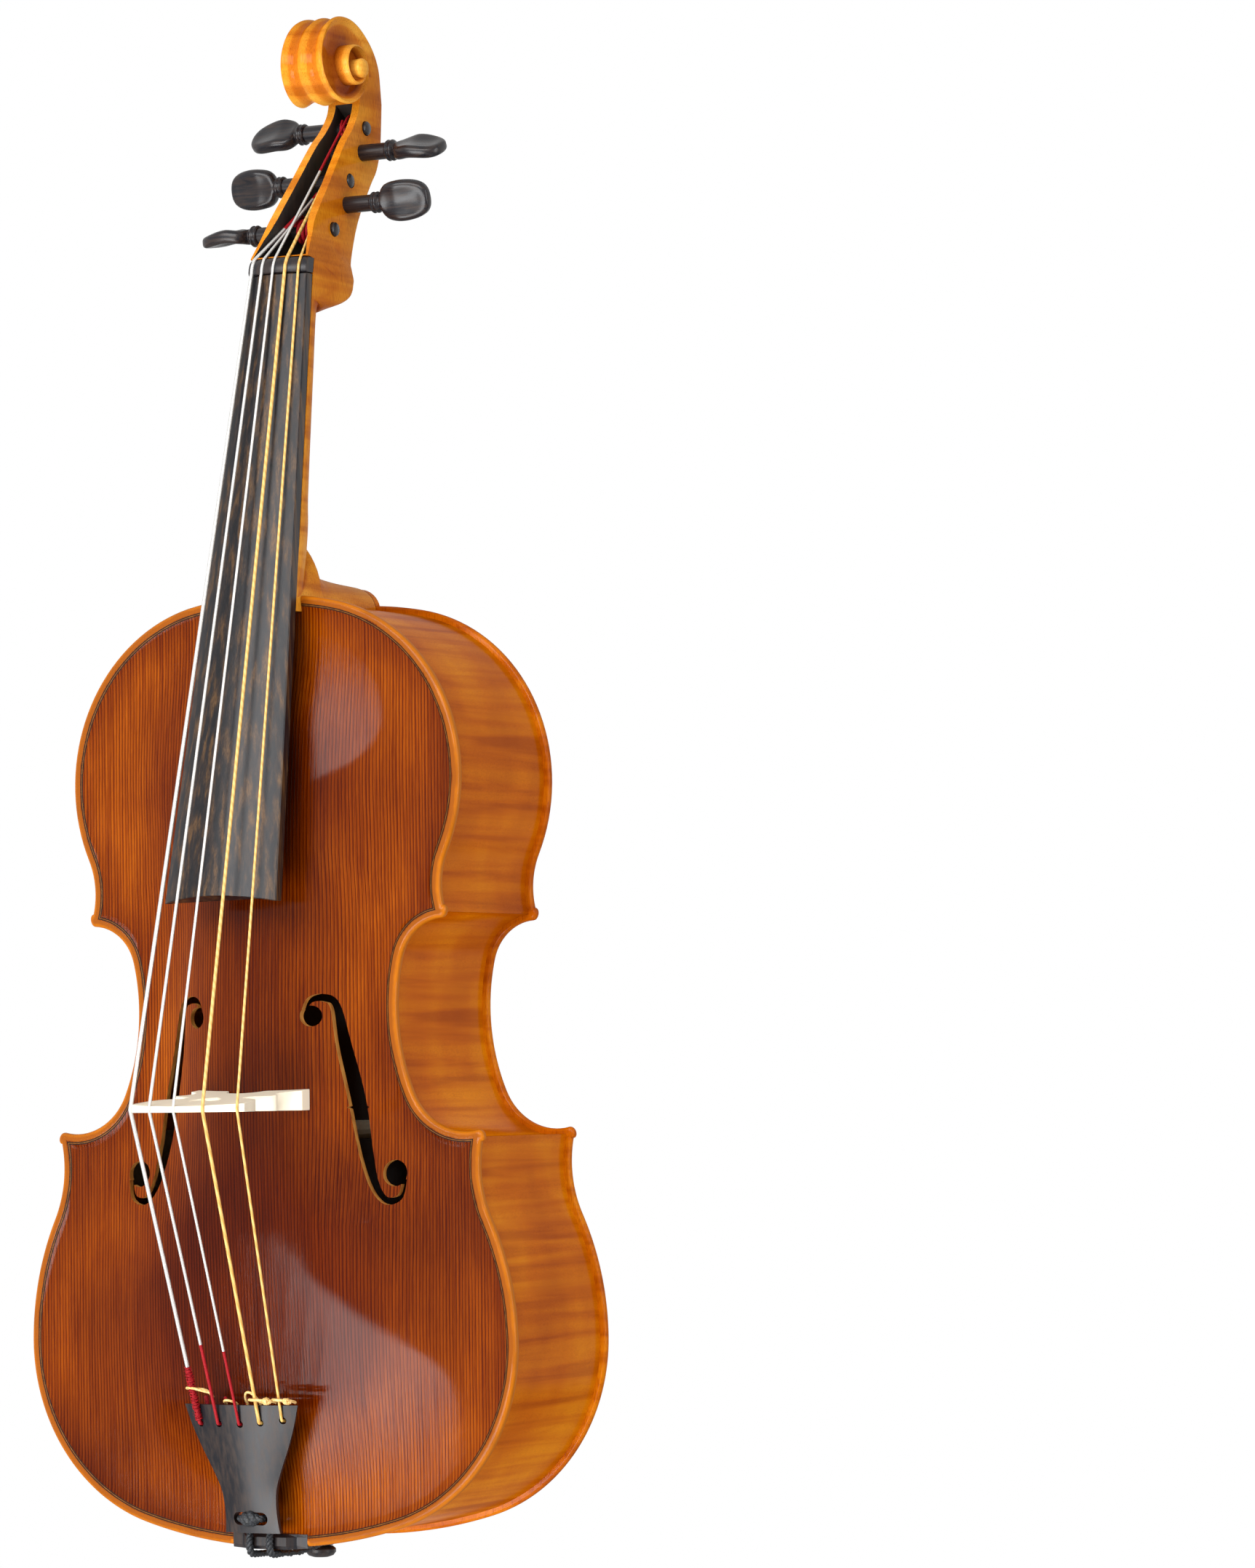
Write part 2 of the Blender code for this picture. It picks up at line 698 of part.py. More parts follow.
def end_block_outline(points, upwards, inner_z):
    """Outline of a block across the body's end, bounded inside by a flat face."""
    indices = list(range(len(points)))
    if upwards:
        place = place_at_x(points, BLOCK_HALF, indices[::-1])
        arc = stretch(points, place, len(points) - 1)
    else:
        place = place_at_x(points, BLOCK_HALF, indices)
        arc = stretch(points, 0, place)[::-1]
    half = [(arc[0][0], inner_z), *arc]
    return half + [(-x, z) for x, z in reversed(half[:-1])]


def corner_spans(points):
    """The places where the two corner blocks of a side begin and end."""
    spans = []
    for corner in (LOW_CORNER, HIGH_CORNER):
        spans.append(
            (
                place_at_length(points, corner, CORNER_BLOCK_RUN, -1),
                place_at_length(points, corner, CORNER_BLOCK_RUN, 1),
            )
        )
    return spans


def make_blocks():
    points = half_outline(BLOCK_INSET)
    top_z = points[-1][1]
    bottom_z = points[0][1]
    neck_outline = end_block_outline(points, True, top_z - BLOCK_DEEP)
    end_outline = end_block_outline(points, False, bottom_z + BLOCK_DEEP)
    neck_block = add_object(
        "neck_block", prism("neck_block", neck_outline, CAVITY_FRONT, CAVITY_BACK), BARE_SPRUCE
    )
    end_block = add_object(
        "end_block", prism("end_block", end_outline, CAVITY_FRONT, CAVITY_BACK), BARE_SPRUCE
    )
    for side, hand in ((1, "treble"), (-1, "bass")):
        for (begin, end), bout in zip(corner_spans(points), ("lower", "upper")):
            outline = [(side * x, z) for x, z in stretch(points, begin, end)]
            name = f"{bout}_corner_block_{hand}"
            add_object(name, prism(name, outline, CAVITY_FRONT, CAVITY_BACK), BARE_SPRUCE)
    return neck_block, end_block


def make_linings():
    """Tapered strips along both edges of each rib, from block to block."""
    outer = half_outline(BLOCK_INSET)
    foot = half_outline(BLOCK_INSET + LINING_THICK)
    edge = half_outline(BLOCK_INSET + LINING_EDGE)
    upwards = list(range(len(outer)))
    low, high = corner_spans(outer)
    step = GAP / math.dist(outer[0], outer[1])
    low_block = place_at_x(outer, BLOCK_HALF + 4 * GAP, upwards)
    high_block = place_at_x(outer, BLOCK_HALF + 4 * GAP, upwards[::-1])
    spans = {
        "lower": (low_block, low[0] - 2 * step),
        "middle": (low[1] + 3 * step, high[0] - 3 * step),
        "upper": (high[1] + 3 * step, high_block),
    }
    seats = (("top", CAVITY_FRONT, LINING_TALL), ("back", CAVITY_BACK, -LINING_TALL))
    for side, hand in ((1, "treble"), (-1, "bass")):
        for bout, (begin, end) in spans.items():
            for plate_name, seat, tall in seats:
                lines = [
                    (stretch(outer, begin, end), seat),
                    (stretch(outer, begin, end), seat + tall),
                    (stretch(edge, begin, end), seat + tall),
                    (stretch(foot, begin, end), seat),
                ]
                strip(f"{bout}_{plate_name}_lining_{hand}", BARE_SPRUCE, lines, side)


def face_height(tree, x, z, forwards):
    """Height of the face met along y at (x, z), seen from the front or from the back."""
    start = Vector((x, -1.0 if forwards else 1.0, z))
    hit = tree.ray_cast(start, Vector((0.0, 1.0 if forwards else -1.0, 0.0)))
    return hit[0].y


def inner_height(tree, x, z, towards_front):
    """Height of a plate's inner face at (x, z), seen from the middle of the body."""
    start = Vector((x, PLATE_SPACING / 2, z))
    hit = tree.ray_cast(start, Vector((0.0, -1.0 if towards_front else 1.0, 0.0)))
    return hit[0].y


def make_bass_bar(top_tree):
    """A bar fitted under the top, deepest at its middle."""
    rings = []
    for share in spread(0.0, 1.0, 20):
        z = blend(BAR_LOW_Z, BAR_HIGH_Z, share)
        deep = BAR_DEEP * (0.22 + 0.78 * math.sin(math.pi * share))
        left, right = BAR_X - BAR_WIDTH / 2, BAR_X + BAR_WIDTH / 2
        left_y = inner_height(top_tree, left, z, True) + 1.5 * GAP
        right_y = inner_height(top_tree, right, z, True) + 1.5 * GAP
        low = max(left_y, right_y) + deep
        rings.append([(left, left_y, z), (right, right_y, z), (right, low, z), (left, low, z)])
    add_object("bass_bar", loft("bass_bar", rings), BARE_SPRUCE)


def make_sound_post(top_tree, back_tree):
    """A dowel between the plates, its ends cut to fit them."""
    top_ring, back_ring = [], []
    for turn in spread(0.0, math.tau, 12)[:-1]:
        x, z = on_circle((POST_X, POST_Z), POST_R, turn)
        top_ring.append((x, inner_height(top_tree, x, z, True) + GAP, z))
        back_ring.append((x, inner_height(back_tree, x, z, False) - GAP, z))
    made = add_object("sound_post", loft("sound_post", [top_ring, back_ring]), BARE_SPRUCE)
    smooth(made)


# Neck and head, drawn as rings of twelve points: the back's ridge, flute and edge, the
# side, the front corner and the front, then the same on the other side
NUT_Z = BODY_LENGTH + NECK_LENGTH
BOARD_TILT = math.atan(BOARD_SLOPE)
SEAT_OFFSET = BOARD_SIDE / math.cos(BOARD_TILT)
NECK_DEPTHS = ((0.166, 0.0255), (0.128, 0.0235), (0.110, 0.0208), (0.078, 0.0190), (0.050, 0.0178))
ROUND_TURNS = (0.0, 28.0, 55.0, 78.0, 90.0)  # the neck's section, in degrees from its back
FLUTE_DEEP = 0.0013
RIM_EDGE = 0.0012

# Head stations from the neck to the throat, as seen from the side, from the nut's seat:
# front (y, z), back (y, z), half width in front and at the back, 0 round to 1 square
HEAD_STATIONS = (
    (-0.0030, -0.0170, 0.0135, -0.0185, 0.0170, 0.0170, 0.0),
    (-0.0018, -0.0110, 0.0200, -0.0135, 0.0168, 0.0172, 0.2),
    (-0.0008, -0.0050, 0.0300, -0.0118, 0.0166, 0.0172, 0.6),
    (0.0002, 0.0005, 0.0365, -0.0085, 0.0165, 0.0172, 0.9),
    (0.0014, 0.0074, 0.0378, -0.0010, 0.0165, 0.0170, 1.0),
    (-0.0046, 0.0083, 0.0384, 0.0030, 0.0163, 0.0170, 1.0),
    (0.0030, 0.0200, 0.0383, 0.0045, 0.0143, 0.0158, 1.0),
    (0.0085, 0.0288, 0.0400, 0.0105, 0.0131, 0.0144, 1.0),
    (0.0242, 0.0478, 0.0490, 0.0300, 0.0117, 0.0130, 1.0),
    (0.0408, 0.0682, 0.0640, 0.0500, 0.0102, 0.0114, 1.0),
    (0.0490, 0.0762, 0.0716, 0.0590, 0.0096, 0.0107, 1.0),
    (0.0556, 0.0847, 0.0764, 0.0700, 0.0091, 0.0100, 1.0),
    (0.0580, 0.0915, 0.0786, 0.0810, 0.0090, 0.0094, 1.0),
    (0.0578, 0.0985, 0.0799, 0.0930, 0.0090, 0.0091, 1.0),
)
# Outer radius of the spiral at each eighth of a turn from the back, over the top
SPIRAL_FIRST_TURN = (0.0370, 0.0300, 0.0266, 0.0256, 0.0242, 0.0203, 0.0169, 0.0149, 0.0143)
SPIRAL_SECOND_TURN = (0.0133, 0.0121, 0.0113, 0.0105, 0.0093, 0.0081, 0.0072, 0.0065)
SPIRAL_HALF_WIDTHS = (0.0090, 0.0100, 0.0120, 0.0143, 0.0163, 0.0176, 0.0187, 0.0196, 0.0202)
CAVITY_END = (0.0577, 0.0915, 0.0789, 0.0790, 0.0090)  # front, back and half width
VOLUTE_STEPS = 18
EYE_DOME = 0.0008

# Pegs as (y, z) of the axis from the nut's seat and the side its head is on
PEG_AXES = (
    ("bass_1", 0.0629, 0.0792, -1),
    ("treble_1", 0.0574, 0.0662, 1),
    ("bass_2", 0.0443, 0.0507, -1),
    ("treble_2", 0.0389, 0.0380, 1),
    ("bass_3", 0.0248, 0.0243, -1),
)
PEG_STRINGS = (2, 3, 4, 1, 0)  # the string on each peg, counted from the bass side
PEG_TAIL_R = 0.0034
PEG_COLLAR_R = 0.0041
PEG_SHOW = 0.0150  # bare shank between the cheek and the collar
PEG_TAIL_SHOW = 0.0015


def arris_y(z):
    """Height of the fingerboard's long edge."""
    return NUT_Y - BOARD_SLOPE * (NUT_Z - z)


def seat_y(z):
    """Height of the neck's gluing face under the fingerboard."""
    return arris_y(z) + SEAT_OFFSET


def board_half(z):
    return blend(BOARD_NUT_HALF, BOARD_END_HALF, (NUT_Z - z) / BOARD_LENGTH)


def head_place(y, z):
    """A point given from the nut's seat, in body coordinates."""
    return (seat_y(NUT_Z) + y, NUT_Z + z)


def section_ring(front, back, front_half, back_half, square):
    """A ring across the neck or head between a front and a back point."""
    deep = math.dist(front, back)
    half = []
    boxy = (
        (1.0, 0.0),
        (1 - FLUTE_DEEP / deep, back_half / 2),
        (1.0, back_half - RIM_EDGE),
        (1 - RIM_EDGE / deep, back_half),
        (0.0, front_half),
    )
    for (boxy_t, boxy_x), turn in zip(boxy, ROUND_TURNS):
        angle = math.radians(turn)
        t = blend(math.cos(angle), boxy_t, square)
        x = blend(front_half * math.sin(angle), boxy_x, square)
        half.append((x, blend(front[0], back[0], t), blend(front[1], back[1], t)))
    half.append((front_half / 2, *front))
    half.append((0.0, *front))
    return half + [(-x, y, z) for x, y, z in reversed(half[1:-1])]


def neck_rings():
    rings = []
    for below, deep in NECK_DEPTHS:
        z = NUT_Z - below
        front = (seat_y(z), z)
        half = min(board_half(z), HEEL_ROOT_HALF)
        rings.append(section_ring(front, (front[0] + deep, z), half, half, 0.0))
    for fy, fz, by, bz, front_half, back_half, square in HEAD_STATIONS:
        front, back = head_place(fy, fz), head_place(by, bz)
        rings.append(section_ring(front, back, front_half, back_half, square))
    return rings


def along(values, place):
    """A value read from a list at an index with a fraction."""
    i = min(int(place), len(values) - 2)
    return blend(values[i], values[i + 1], place - i)


def spiral_radius(turn):
    """Outer radius after so many turns; the third turn is the eye."""
    if turn >= 2:
        return SPIRAL_SECOND_TURN[-1] - 0.8 * RIM_EDGE * min(turn - 2, 1.0)
    return along(SPIRAL_FIRST_TURN + SPIRAL_SECOND_TURN, turn * 8)


def spiral_half(turn):
    if turn >= 2:
        return blend(SPIRAL_HALF_WIDTHS[-1], EYE_HALF - EYE_DOME, min(turn - 2, 1.0))
    return along(SPIRAL_HALF_WIDTHS, turn * 4)


def volute_profile(turn):
    """Half the section of the volute as (radius, x): rim, two steps and the eye."""
    profile = []
    for level in range(3):
        radius, half = spiral_radius(turn + level), spiral_half(turn + level)
        if level == 0:
            profile += [(radius, 0.0), (radius - FLUTE_DEEP, half / 2)]
        else:
            profile.append((radius, spiral_half(turn + level - 1)))
        profile += [(radius, half - RIM_EDGE), (radius - 0.8 * RIM_EDGE, half)]
    profile.append((0.0, EYE_HALF))
    return profile


def head_mesh():
    """Neck, pegbox and volute in one surface; the last ring of the neck is the section
    where the spiral begins, bounded in front by the rim one turn further in."""
    centre = head_place(EYE_Y, EYE_Z)
    turns = [i / VOLUTE_STEPS for i in range(VOLUTE_STEPS + 1)]

    def placed(turn, radius, x):
        angle = math.tau * turn
        return (x, centre[0] + radius * math.cos(angle), centre[1] + radius * math.sin(angle))

    profiles = [[placed(turn, r, x) for r, x in volute_profile(turn)] for turn in turns]
    first, last = profiles[0], profiles[-1]
    join = first[:5] + [last[1], last[0]]
    join += [(-x, y, z) for x, y, z in reversed(join[1:-1])]
    rings = [*neck_rings(), join]
    points = [point for ring in rings for point in ring]
    faces = [tuple(range(12))[::-1]]
    for i in range(len(rings) - 1):
        for j in range(12):
            k = (j + 1) % 12
            faces.append((i * 12 + j, i * 12 + k, i * 12 + 12 + k, i * 12 + 12 + j))
    count = len(first)
    for side in (1, -1):
        base = len(points)
        for profile in profiles:
            points += [(side * x, y, z) for x, y, z in profile]
        for i in range(VOLUTE_STEPS):
            for j in range(count - 1):
                a = base + i * count + j
                faces.append((a, a + 1, a + 1 + count, a + count))
        end = base + VOLUTE_STEPS * count
        faces.append((base + 4, base + 5, end + 1))
        faces.append((base + count - 2, end + count - 3, end + count - 2, end + count - 1))
    return mesh_from("neck_and_scroll", points, faces, 2e-5)


# The heel as (height y, top z above the body's end), from under the board to the back
HEEL_TOPS = (
    (-0.0062, 0.0015),
    (0.0080, 0.0150),
    (0.0160, 0.0230),
    (0.0218, 0.0290),
    (0.0240, 0.0215),
    (0.0300, 0.0150),
    (0.0370, 0.0120),
    (0.0580, 0.0100),
    (0.0810, BUTTON_RISE + 0.0006),
    (HEEL_BACK, BUTTON_RISE),
)
HEEL_SHOULDER = 0.003  # where the heel's sides start to round over, below the body's end


def heel_outline(half, low_z, top_z):
    """A heel section as (x, z): straight sides and a half ellipse over them."""
    shoulder = BODY_LENGTH - HEEL_SHOULDER
    outline = [(half, low_z)]
    for turn in spread(0.0, math.pi, 8):
        outline.append((half * math.cos(turn), shoulder + (top_z - shoulder) * math.sin(turn)))
    outline.append((-half, low_z))
    return outline


def heel_mesh():
    low_z = BODY_LENGTH - MORTISE_DEEP
    rings = []
    for y, above in HEEL_TOPS:
        outline = heel_outline(heel_half(y), low_z, BODY_LENGTH + above)
        rings.append([(x, y, z) for x, z in outline])
    return loft("heel", rings)


def mortise_mesh():
    """The room that the heel takes in the top plate and the neck block."""
    low_z = BODY_LENGTH - MORTISE_DEEP - GAP
    high_z = BODY_LENGTH + MORTISE_DEEP
    rings = []
    for y in (-0.030, 0.0, HEEL_BACK + 2 * GAP):
        half = heel_half(y) + GAP
        rings.append([(-half, y, low_z), (half, y, low_z), (half, y, high_z), (-half, y, high_z)])
    return loft("mortise", rings)


def cavity_mesh():
    """The pegbox's hollow, open in front, from the nut to under the volute."""
    rings = []
    stations = [station[:5] for station in HEAD_STATIONS[5:12]] + [CAVITY_END]
    for i, (fy, fz, by, bz, front_half) in enumerate(stations):
        front, back = head_place(fy, fz), head_place(by, bz)
        deep = math.dist(front, back)
        half = front_half - (CAVITY_MOUTH if i == 0 else CHEEK_THICK)
        if i == 1:
            half = front_half - 0.6 * CHEEK_THICK
        floor = 0.55 if i == 0 else 1 - CAVITY_FLOOR / deep
        open_t = -(0.015 if i == 0 else 0.0025) / deep
        ring = []
        for t, x in ((open_t, half), (0.3, half), (floor, 0.85 * half)):
            y, z = blend(front[0], back[0], t), blend(front[1], back[1], t)
            ring.append((x, y, z + (0.0006 if i == 0 else 0.0)))
        rings.append(ring + [(-x, y, z) for x, y, z in reversed(ring)])
    return loft("pegbox_cavity", rings)


def peg_frame(index):
    """Name, axis (y, z), side of the head and half width of the head-side cheek."""
    name, y, z, side = PEG_AXES[index]
    axis = head_place(y, z)

    def away(station):
        return math.dist((station[0] + station[2], station[1] + station[3]), (2 * y, 2 * z))

    nearest = min(HEAD_STATIONS[5:], key=away)
    return name, axis, side, (nearest[4] + nearest[5]) / 2


def peg_radius(reach, length):
    """Radius of a peg's shank, from its tail to its collar."""
    return blend(PEG_TAIL_R, PEG_COLLAR_R, min(max(reach / length, 0.0), 1.0))


def turned(name, profile, steps):
    """A mesh turned about X from a profile (radius, x) that starts and ends on the axis."""
    rings = []
    for radius, x in profile:
        turns = spread(0.0, math.tau, steps)[:-1]
        rings.append([(x, radius * math.cos(t), radius * math.sin(t)) for t in turns])
    return loft(name, rings, closed_ends=False)


def make_head():
    """Neck, pegbox and scroll: one piece of maple with the heel, cavity and peg holes."""
    head = add_object("neck_and_scroll", head_mesh(), MAPLE)
    boolean(head, add_cutter("heel", heel_mesh()), "UNION")
    boolean(head, add_cutter("pegbox_cavity", cavity_mesh()))
    for i in range(len(PEG_AXES)):
        name, axis, side, half = peg_frame(i)
        length = 2 * half + PEG_TAIL_SHOW + PEG_SHOW
        reach = length / 2
        low = peg_radius(half + PEG_TAIL_SHOW - reach, length) + PEG_HOLE_GAP
        high = peg_radius(half + PEG_TAIL_SHOW + reach, length) + PEG_HOLE_GAP
        profile = ((0.0, -side * reach), (low, -side * reach), (high, side * reach))
        profile += ((0.0, side * reach),)
        boolean(head, add_cutter(f"{name}_hole", turned(f"{name}_hole", profile, 16), (0.0, *axis)))
    smooth(head)
    return head


def make_fingerboard():
    """A tapered board, arched above and hollowed below past the end of the neck."""
    end_z = NUT_Z - BOARD_LENGTH
    hollow_end = BODY_LENGTH - MORTISE_DEEP - 0.004
    stations = (
        (end_z, 1.0),
        (blend(end_z, hollow_end, 0.5), 1.0),
        (hollow_end - 0.012, 0.8),
        (hollow_end, 0.0),
        (NUT_Z - GAP, 0.0),
    )
    rings = []
    for i, (z, hollow) in enumerate(stations):
        half = board_half(z)
        rise = blend(BOARD_RISE_NUT, BOARD_RISE_END, (NUT_Z - z) / BOARD_LENGTH)
        ring = []
        for share in spread(-1.0, 1.0, 10):
            end_z_here = z + (BOARD_END_ARC * (1 - share**2) if i == 0 else 0.0)
            crown = rise * (1 - share**2)
            ring.append((half * share, arris_y(end_z_here) - crown, end_z_here))
        for share in spread(0.86, -0.86, 4):
            bow = hollow * BOARD_SIDE * 0.6 * (1 - (share / 0.86) ** 2)
            end_z_here = z + (BOARD_END_ARC * (1 - share**2) if i == 0 else 0.0)
            ring.append((half * share, seat_y(end_z_here) - GAP - bow, end_z_here))
        corner = half * 0.995
        ring.insert(11, (corner, seat_y(z) - GAP, z))
        ring.append((-corner, seat_y(z) - GAP, z))
        rings.append(ring)
    smooth(add_object("fingerboard", loft("fingerboard", rings), EBONY), 30)


def nut_crown(x):
    """Height of the nut's top over x."""
    rise = BOARD_RISE_NUT + NUT_TOP
    return arris_y(NUT_Z) - rise * (1 - (x / (BOARD_NUT_HALF * 1.14)) ** 2)


def make_nut():
    rings = []
    for share, lower in ((0.0, 0.0004), (0.15, 0.0), (0.5, 0.0004), (0.8, 0.0014), (1.0, 0.0028)):
        z = NUT_Z + GAP + share * (NUT_THICK - 2 * GAP)
        ring = []
        for across in spread(-1.0, 1.0, 8):
            x = across * BOARD_NUT_HALF
            ring.append((x, nut_crown(x) + lower, z))
        for across in spread(1.0, -1.0, 2):
            ring.append((across * BOARD_NUT_HALF, seat_y(z) - GAP, z))
        rings.append(ring)
    nut = add_object("nut", loft("nut", rings), EBONY)
    smooth(nut)
    return nut


# Bridge, in its own plane, right half as (x, y) from the foot's outer end to the middle
BRIDGE_Z = 0.2093
BRIDGE_CROWN_Y = -0.0836
BRIDGE_DROP = 0.0090  # fall of the crown to the outer strings
BRIDGE_TOP_THICK = 0.0028
BRIDGE_FOOT_THICK = 0.0098
BRIDGE_HALF = 0.0320
FOOT_OUTER = 0.0310
FOOT_INNER = 0.0115
BRIDGE_SIDE = (
    (0.0310, -0.0195),
    (0.0262, -0.0235),
    (0.0232, -0.0290),
    (0.0246, -0.0345),
    (0.0283, -0.0375),
    (0.0268, -0.0410),
    (0.0222, -0.0418),
    (0.0170, -0.0440),
    (0.0158, -0.0475),
    (0.0180, -0.0510),
    (0.0232, -0.0520),
    (0.0272, -0.0550),
    (0.0296, -0.0610),
    (0.0306, -0.0670),
)
BRIDGE_ARCH = ((0.0100, -0.0190), (0.0085, -0.0235), (0.0050, -0.0275), (0.0, -0.0288))
HEART = (
    (0.0, -0.0560),
    (0.0028, -0.0590),
    (0.0060, -0.0605),
    (0.0078, -0.0575),
    (0.0070, -0.0535),
    (0.0040, -0.0495),
    (0.0, -0.0455),
)

# Tailpiece stations from its lower edge: (z, half width), and where its holes are
TAIL_SHIFT = -0.0025
TAIL_STATIONS = (
    (0.0076, 0.0152),
    (0.0120, 0.0146),
    (0.0200, 0.0143),
    (0.0290, 0.0155),
    (0.0390, 0.0196),
    (0.0490, 0.0243),
    (0.0590, 0.0283),
    (0.0689, 0.0314),
)
TAIL_LOW_Y = -0.0147
TAIL_HIGH_Y = -0.0288
TAIL_DROP_LOW = 0.0010
TAIL_DROP_HIGH = 0.0056
TAIL_EDGE_THICK = 0.0030
TAIL_THICK = 0.0055
TAIL_HOLES = ((-0.0246, 0.0599), (-0.0131, 0.0599), (-0.0011, 0.0598), (0.0098, 0.0606), (0.0210, 0.0617))
TAIL_HOLE_R = 0.0017
SLOT_Z = 0.0145
SLOT_HALF = 0.0094
SLOT_TALL = 0.0062

# Tailgut, saddle and end button
TAILGUT_R = 0.00175
TAILGUT_HALF = 0.0056
SADDLE_LOW_Z = -0.001
SADDLE_HIGH_Z = 0.0065
SADDLE_RISE = 0.0036
BUTTON_PROFILE = (  # (radius, z) from the foot of the shank to the flat face
    (0.0036, 0.0190),
    (0.0040, 0.0184),
    (0.0040, 0.0027),
    (0.0055, 0.0026),
    (0.0055, 0.0016),
    (0.0032, 0.0014),
    (0.0032, -0.0024),
    (0.0058, -0.0027),
    (0.0073, -0.0040),
    (0.0073, -0.0056),
    (0.0060, -0.0072),
    (0.0036, -0.0080),
)
BUTTON_HOLE_R = 0.0043

# Pegs from the cheek outwards: (distance, half width, half thickness, dish) of each ring
PEG_HEAD = (
    (0.0000, 0.0047, 0.0047, 0.0),
    (0.0009, 0.0053, 0.0053, 0.0),
    (0.0017, 0.0047, 0.0047, 0.0),
    (0.0023, 0.0049, 0.0049, 0.0),
    (0.0032, 0.0053, 0.0053, 0.0),
    (0.0042, 0.0046, 0.0046, 0.0),
    (0.0050, 0.0040, 0.0038, 0.0),
    (0.0064, 0.0066, 0.0038, 0.0),
    (0.0090, 0.0088, 0.0042, 0.0008),
    (0.0135, 0.0099, 0.0044, 0.0016),
    (0.0190, 0.0101, 0.0043, 0.0019),
    (0.0245, 0.0092, 0.0040, 0.0014),
    (0.0285, 0.0073, 0.0034, 0.0005),
    (0.0306, 0.0046, 0.0024, 0.0),
    (0.0312, 0.0018, 0.0010, 0.0),
)
PEG_TURNS = (18.0, 64.0, 100.0, 150.0, 75.0)  # how far each peg is turned, in degrees
PEG_SIDES = 12

# Turns of string: where each string reaches its peg, way along the peg, count of turns
WIND_STARTS = (-0.0058, -0.0020, 0.0018, 0.0035, 0.0045)
WIND_WAYS = (1, 1, -1, -1, -1)
WIND_TURNS = (3, 2, 2, 2, 2)
WIND_SPACE = 0.0005  # between turns, and between them and the fixed string
WIND_LOOP_POINTS = 24


def string_x(index, spread_by):
    return STRING_SHIFT + (index - 2) * spread_by


def bridge_crown(x):
    """Height of the bridge's top edge, and with it of the strings, over x."""
    return BRIDGE_CROWN_Y + BRIDGE_DROP * (x / (2 * BRIDGE_SPREAD)) ** 2


def bridge_point(x, y, back):
    """A point of the bridge; its side to the tailpiece is flat, the other one slopes."""
    low_z = BRIDGE_Z - BRIDGE_TOP_THICK / 2
    share = (y - BRIDGE_CROWN_Y) / (-0.015 - BRIDGE_CROWN_Y)
    return (x, y, low_z + (blend(BRIDGE_TOP_THICK, BRIDGE_FOOT_THICK, share) if back else 0.0))


def make_bridge(top_tree, room):
    foot = [blend(FOOT_INNER, FOOT_OUTER, i / 4) for i in range(5)]
    rings = []
    for back in (False, True):
        foot_z = bridge_point(0.0, -0.015, back)[2]
        half = [(x, face_height(top_tree, x, foot_z, True) - GAP) for x in foot]
        half = [*BRIDGE_ARCH[::-1], *half, *BRIDGE_SIDE]
        top = [BRIDGE_HALF * (1 - i / 5) for i in range(5)]
        half += [(x, bridge_crown(x) + 0.0006) for x in top]
        other = []
        for x, y in half:
            if x > 0:
                on_foot = y > BRIDGE_SIDE[0][1] + 0.001 and x > FOOT_INNER - 0.0001
                fitted = face_height(top_tree, -x, foot_z, True) - GAP
                other.append((-x, fitted if on_foot else y))
        middle = [(0.0, bridge_crown(0.0) + 0.0006)]
        outline = half + middle + other[::-1]
        rings.append([bridge_point(x, y, back) for x, y in outline])
    bridge = add_object("bridge", loft("bridge", rings), BARE_MAPLE)
    heart = [*HEART, *[(-x, y) for x, y in HEART[-2:0:-1]]]
    low = [(x, y, BRIDGE_Z - 0.01) for x, y in heart]
    high = [(x, y, BRIDGE_Z + 0.02) for x, y in heart]
    boolean(bridge, add_cutter("heart", loft("heart", [low, high])))
    boolean(bridge, room)


def tail_front(x, z):
    """Height of the tailpiece's arched front."""
    low, high = TAIL_STATIONS[0][0], TAIL_STATIONS[-1][0]
    share = (z - low) / (high - low)
    half = point_at([(s[1], s[0]) for s in TAIL_STATIONS], tail_place(z))[0]
    drop = blend(TAIL_DROP_LOW, TAIL_DROP_HIGH, share) * ((x - TAIL_SHIFT) / half) ** 2
    return blend(TAIL_LOW_Y, TAIL_HIGH_Y, share) + drop


def tail_place(z):
    heights = [station[0] for station in TAIL_STATIONS]
    for i, (low, high) in enumerate(zip(heights, heights[1:])):
        if z <= high:
            return i + (z - low) / (high - low)
    return len(heights) - 1


def tail_under(x, z):
    """Height of the tailpiece's hollowed underside."""
    half = point_at([(s[1], s[0]) for s in TAIL_STATIONS], tail_place(z))[0]
    share = ((x - TAIL_SHIFT) / half) ** 2
    return tail_front(x, z) + blend(TAIL_THICK, TAIL_EDGE_THICK, share)


def make_tailpiece(room):
    rings = []
    for z, half in TAIL_STATIONS:
        ring = []
        for across in spread(-1.0, 1.0, 8):
            x = TAIL_SHIFT + across * half
            ring.append((x, tail_front(x, z), z))
        for across in spread(0.96, -0.96, 6):
            x = TAIL_SHIFT + across * half
            ring.append((x, tail_under(x, z), z))
        rings.append(ring)
    tailpiece = add_object("tailpiece", loft("tailpiece", rings), EBONY)
    for i, (x, z) in enumerate(TAIL_HOLES):
        hole = [on_circle((x, z), TAIL_HOLE_R, turn) for turn in spread(0.0, math.tau, 12)[:-1]]
        boolean(tailpiece, add_cutter(f"tail_hole_{i + 1}", prism("hole", hole, -0.05, 0.0)))
    slot = []
    for side in (1, -1):
        centre = (TAIL_SHIFT + side * (SLOT_HALF - SLOT_TALL / 2), SLOT_Z)
        start = -math.pi / 2 if side == 1 else math.pi / 2
        slot += [on_circle(centre, SLOT_TALL / 2, a) for a in spread(start, start + math.pi, 6)]
    boolean(tailpiece, add_cutter("tail_slot", prism("slot", slot, -0.05, 0.0)))
    smooth(tailpiece, 30)


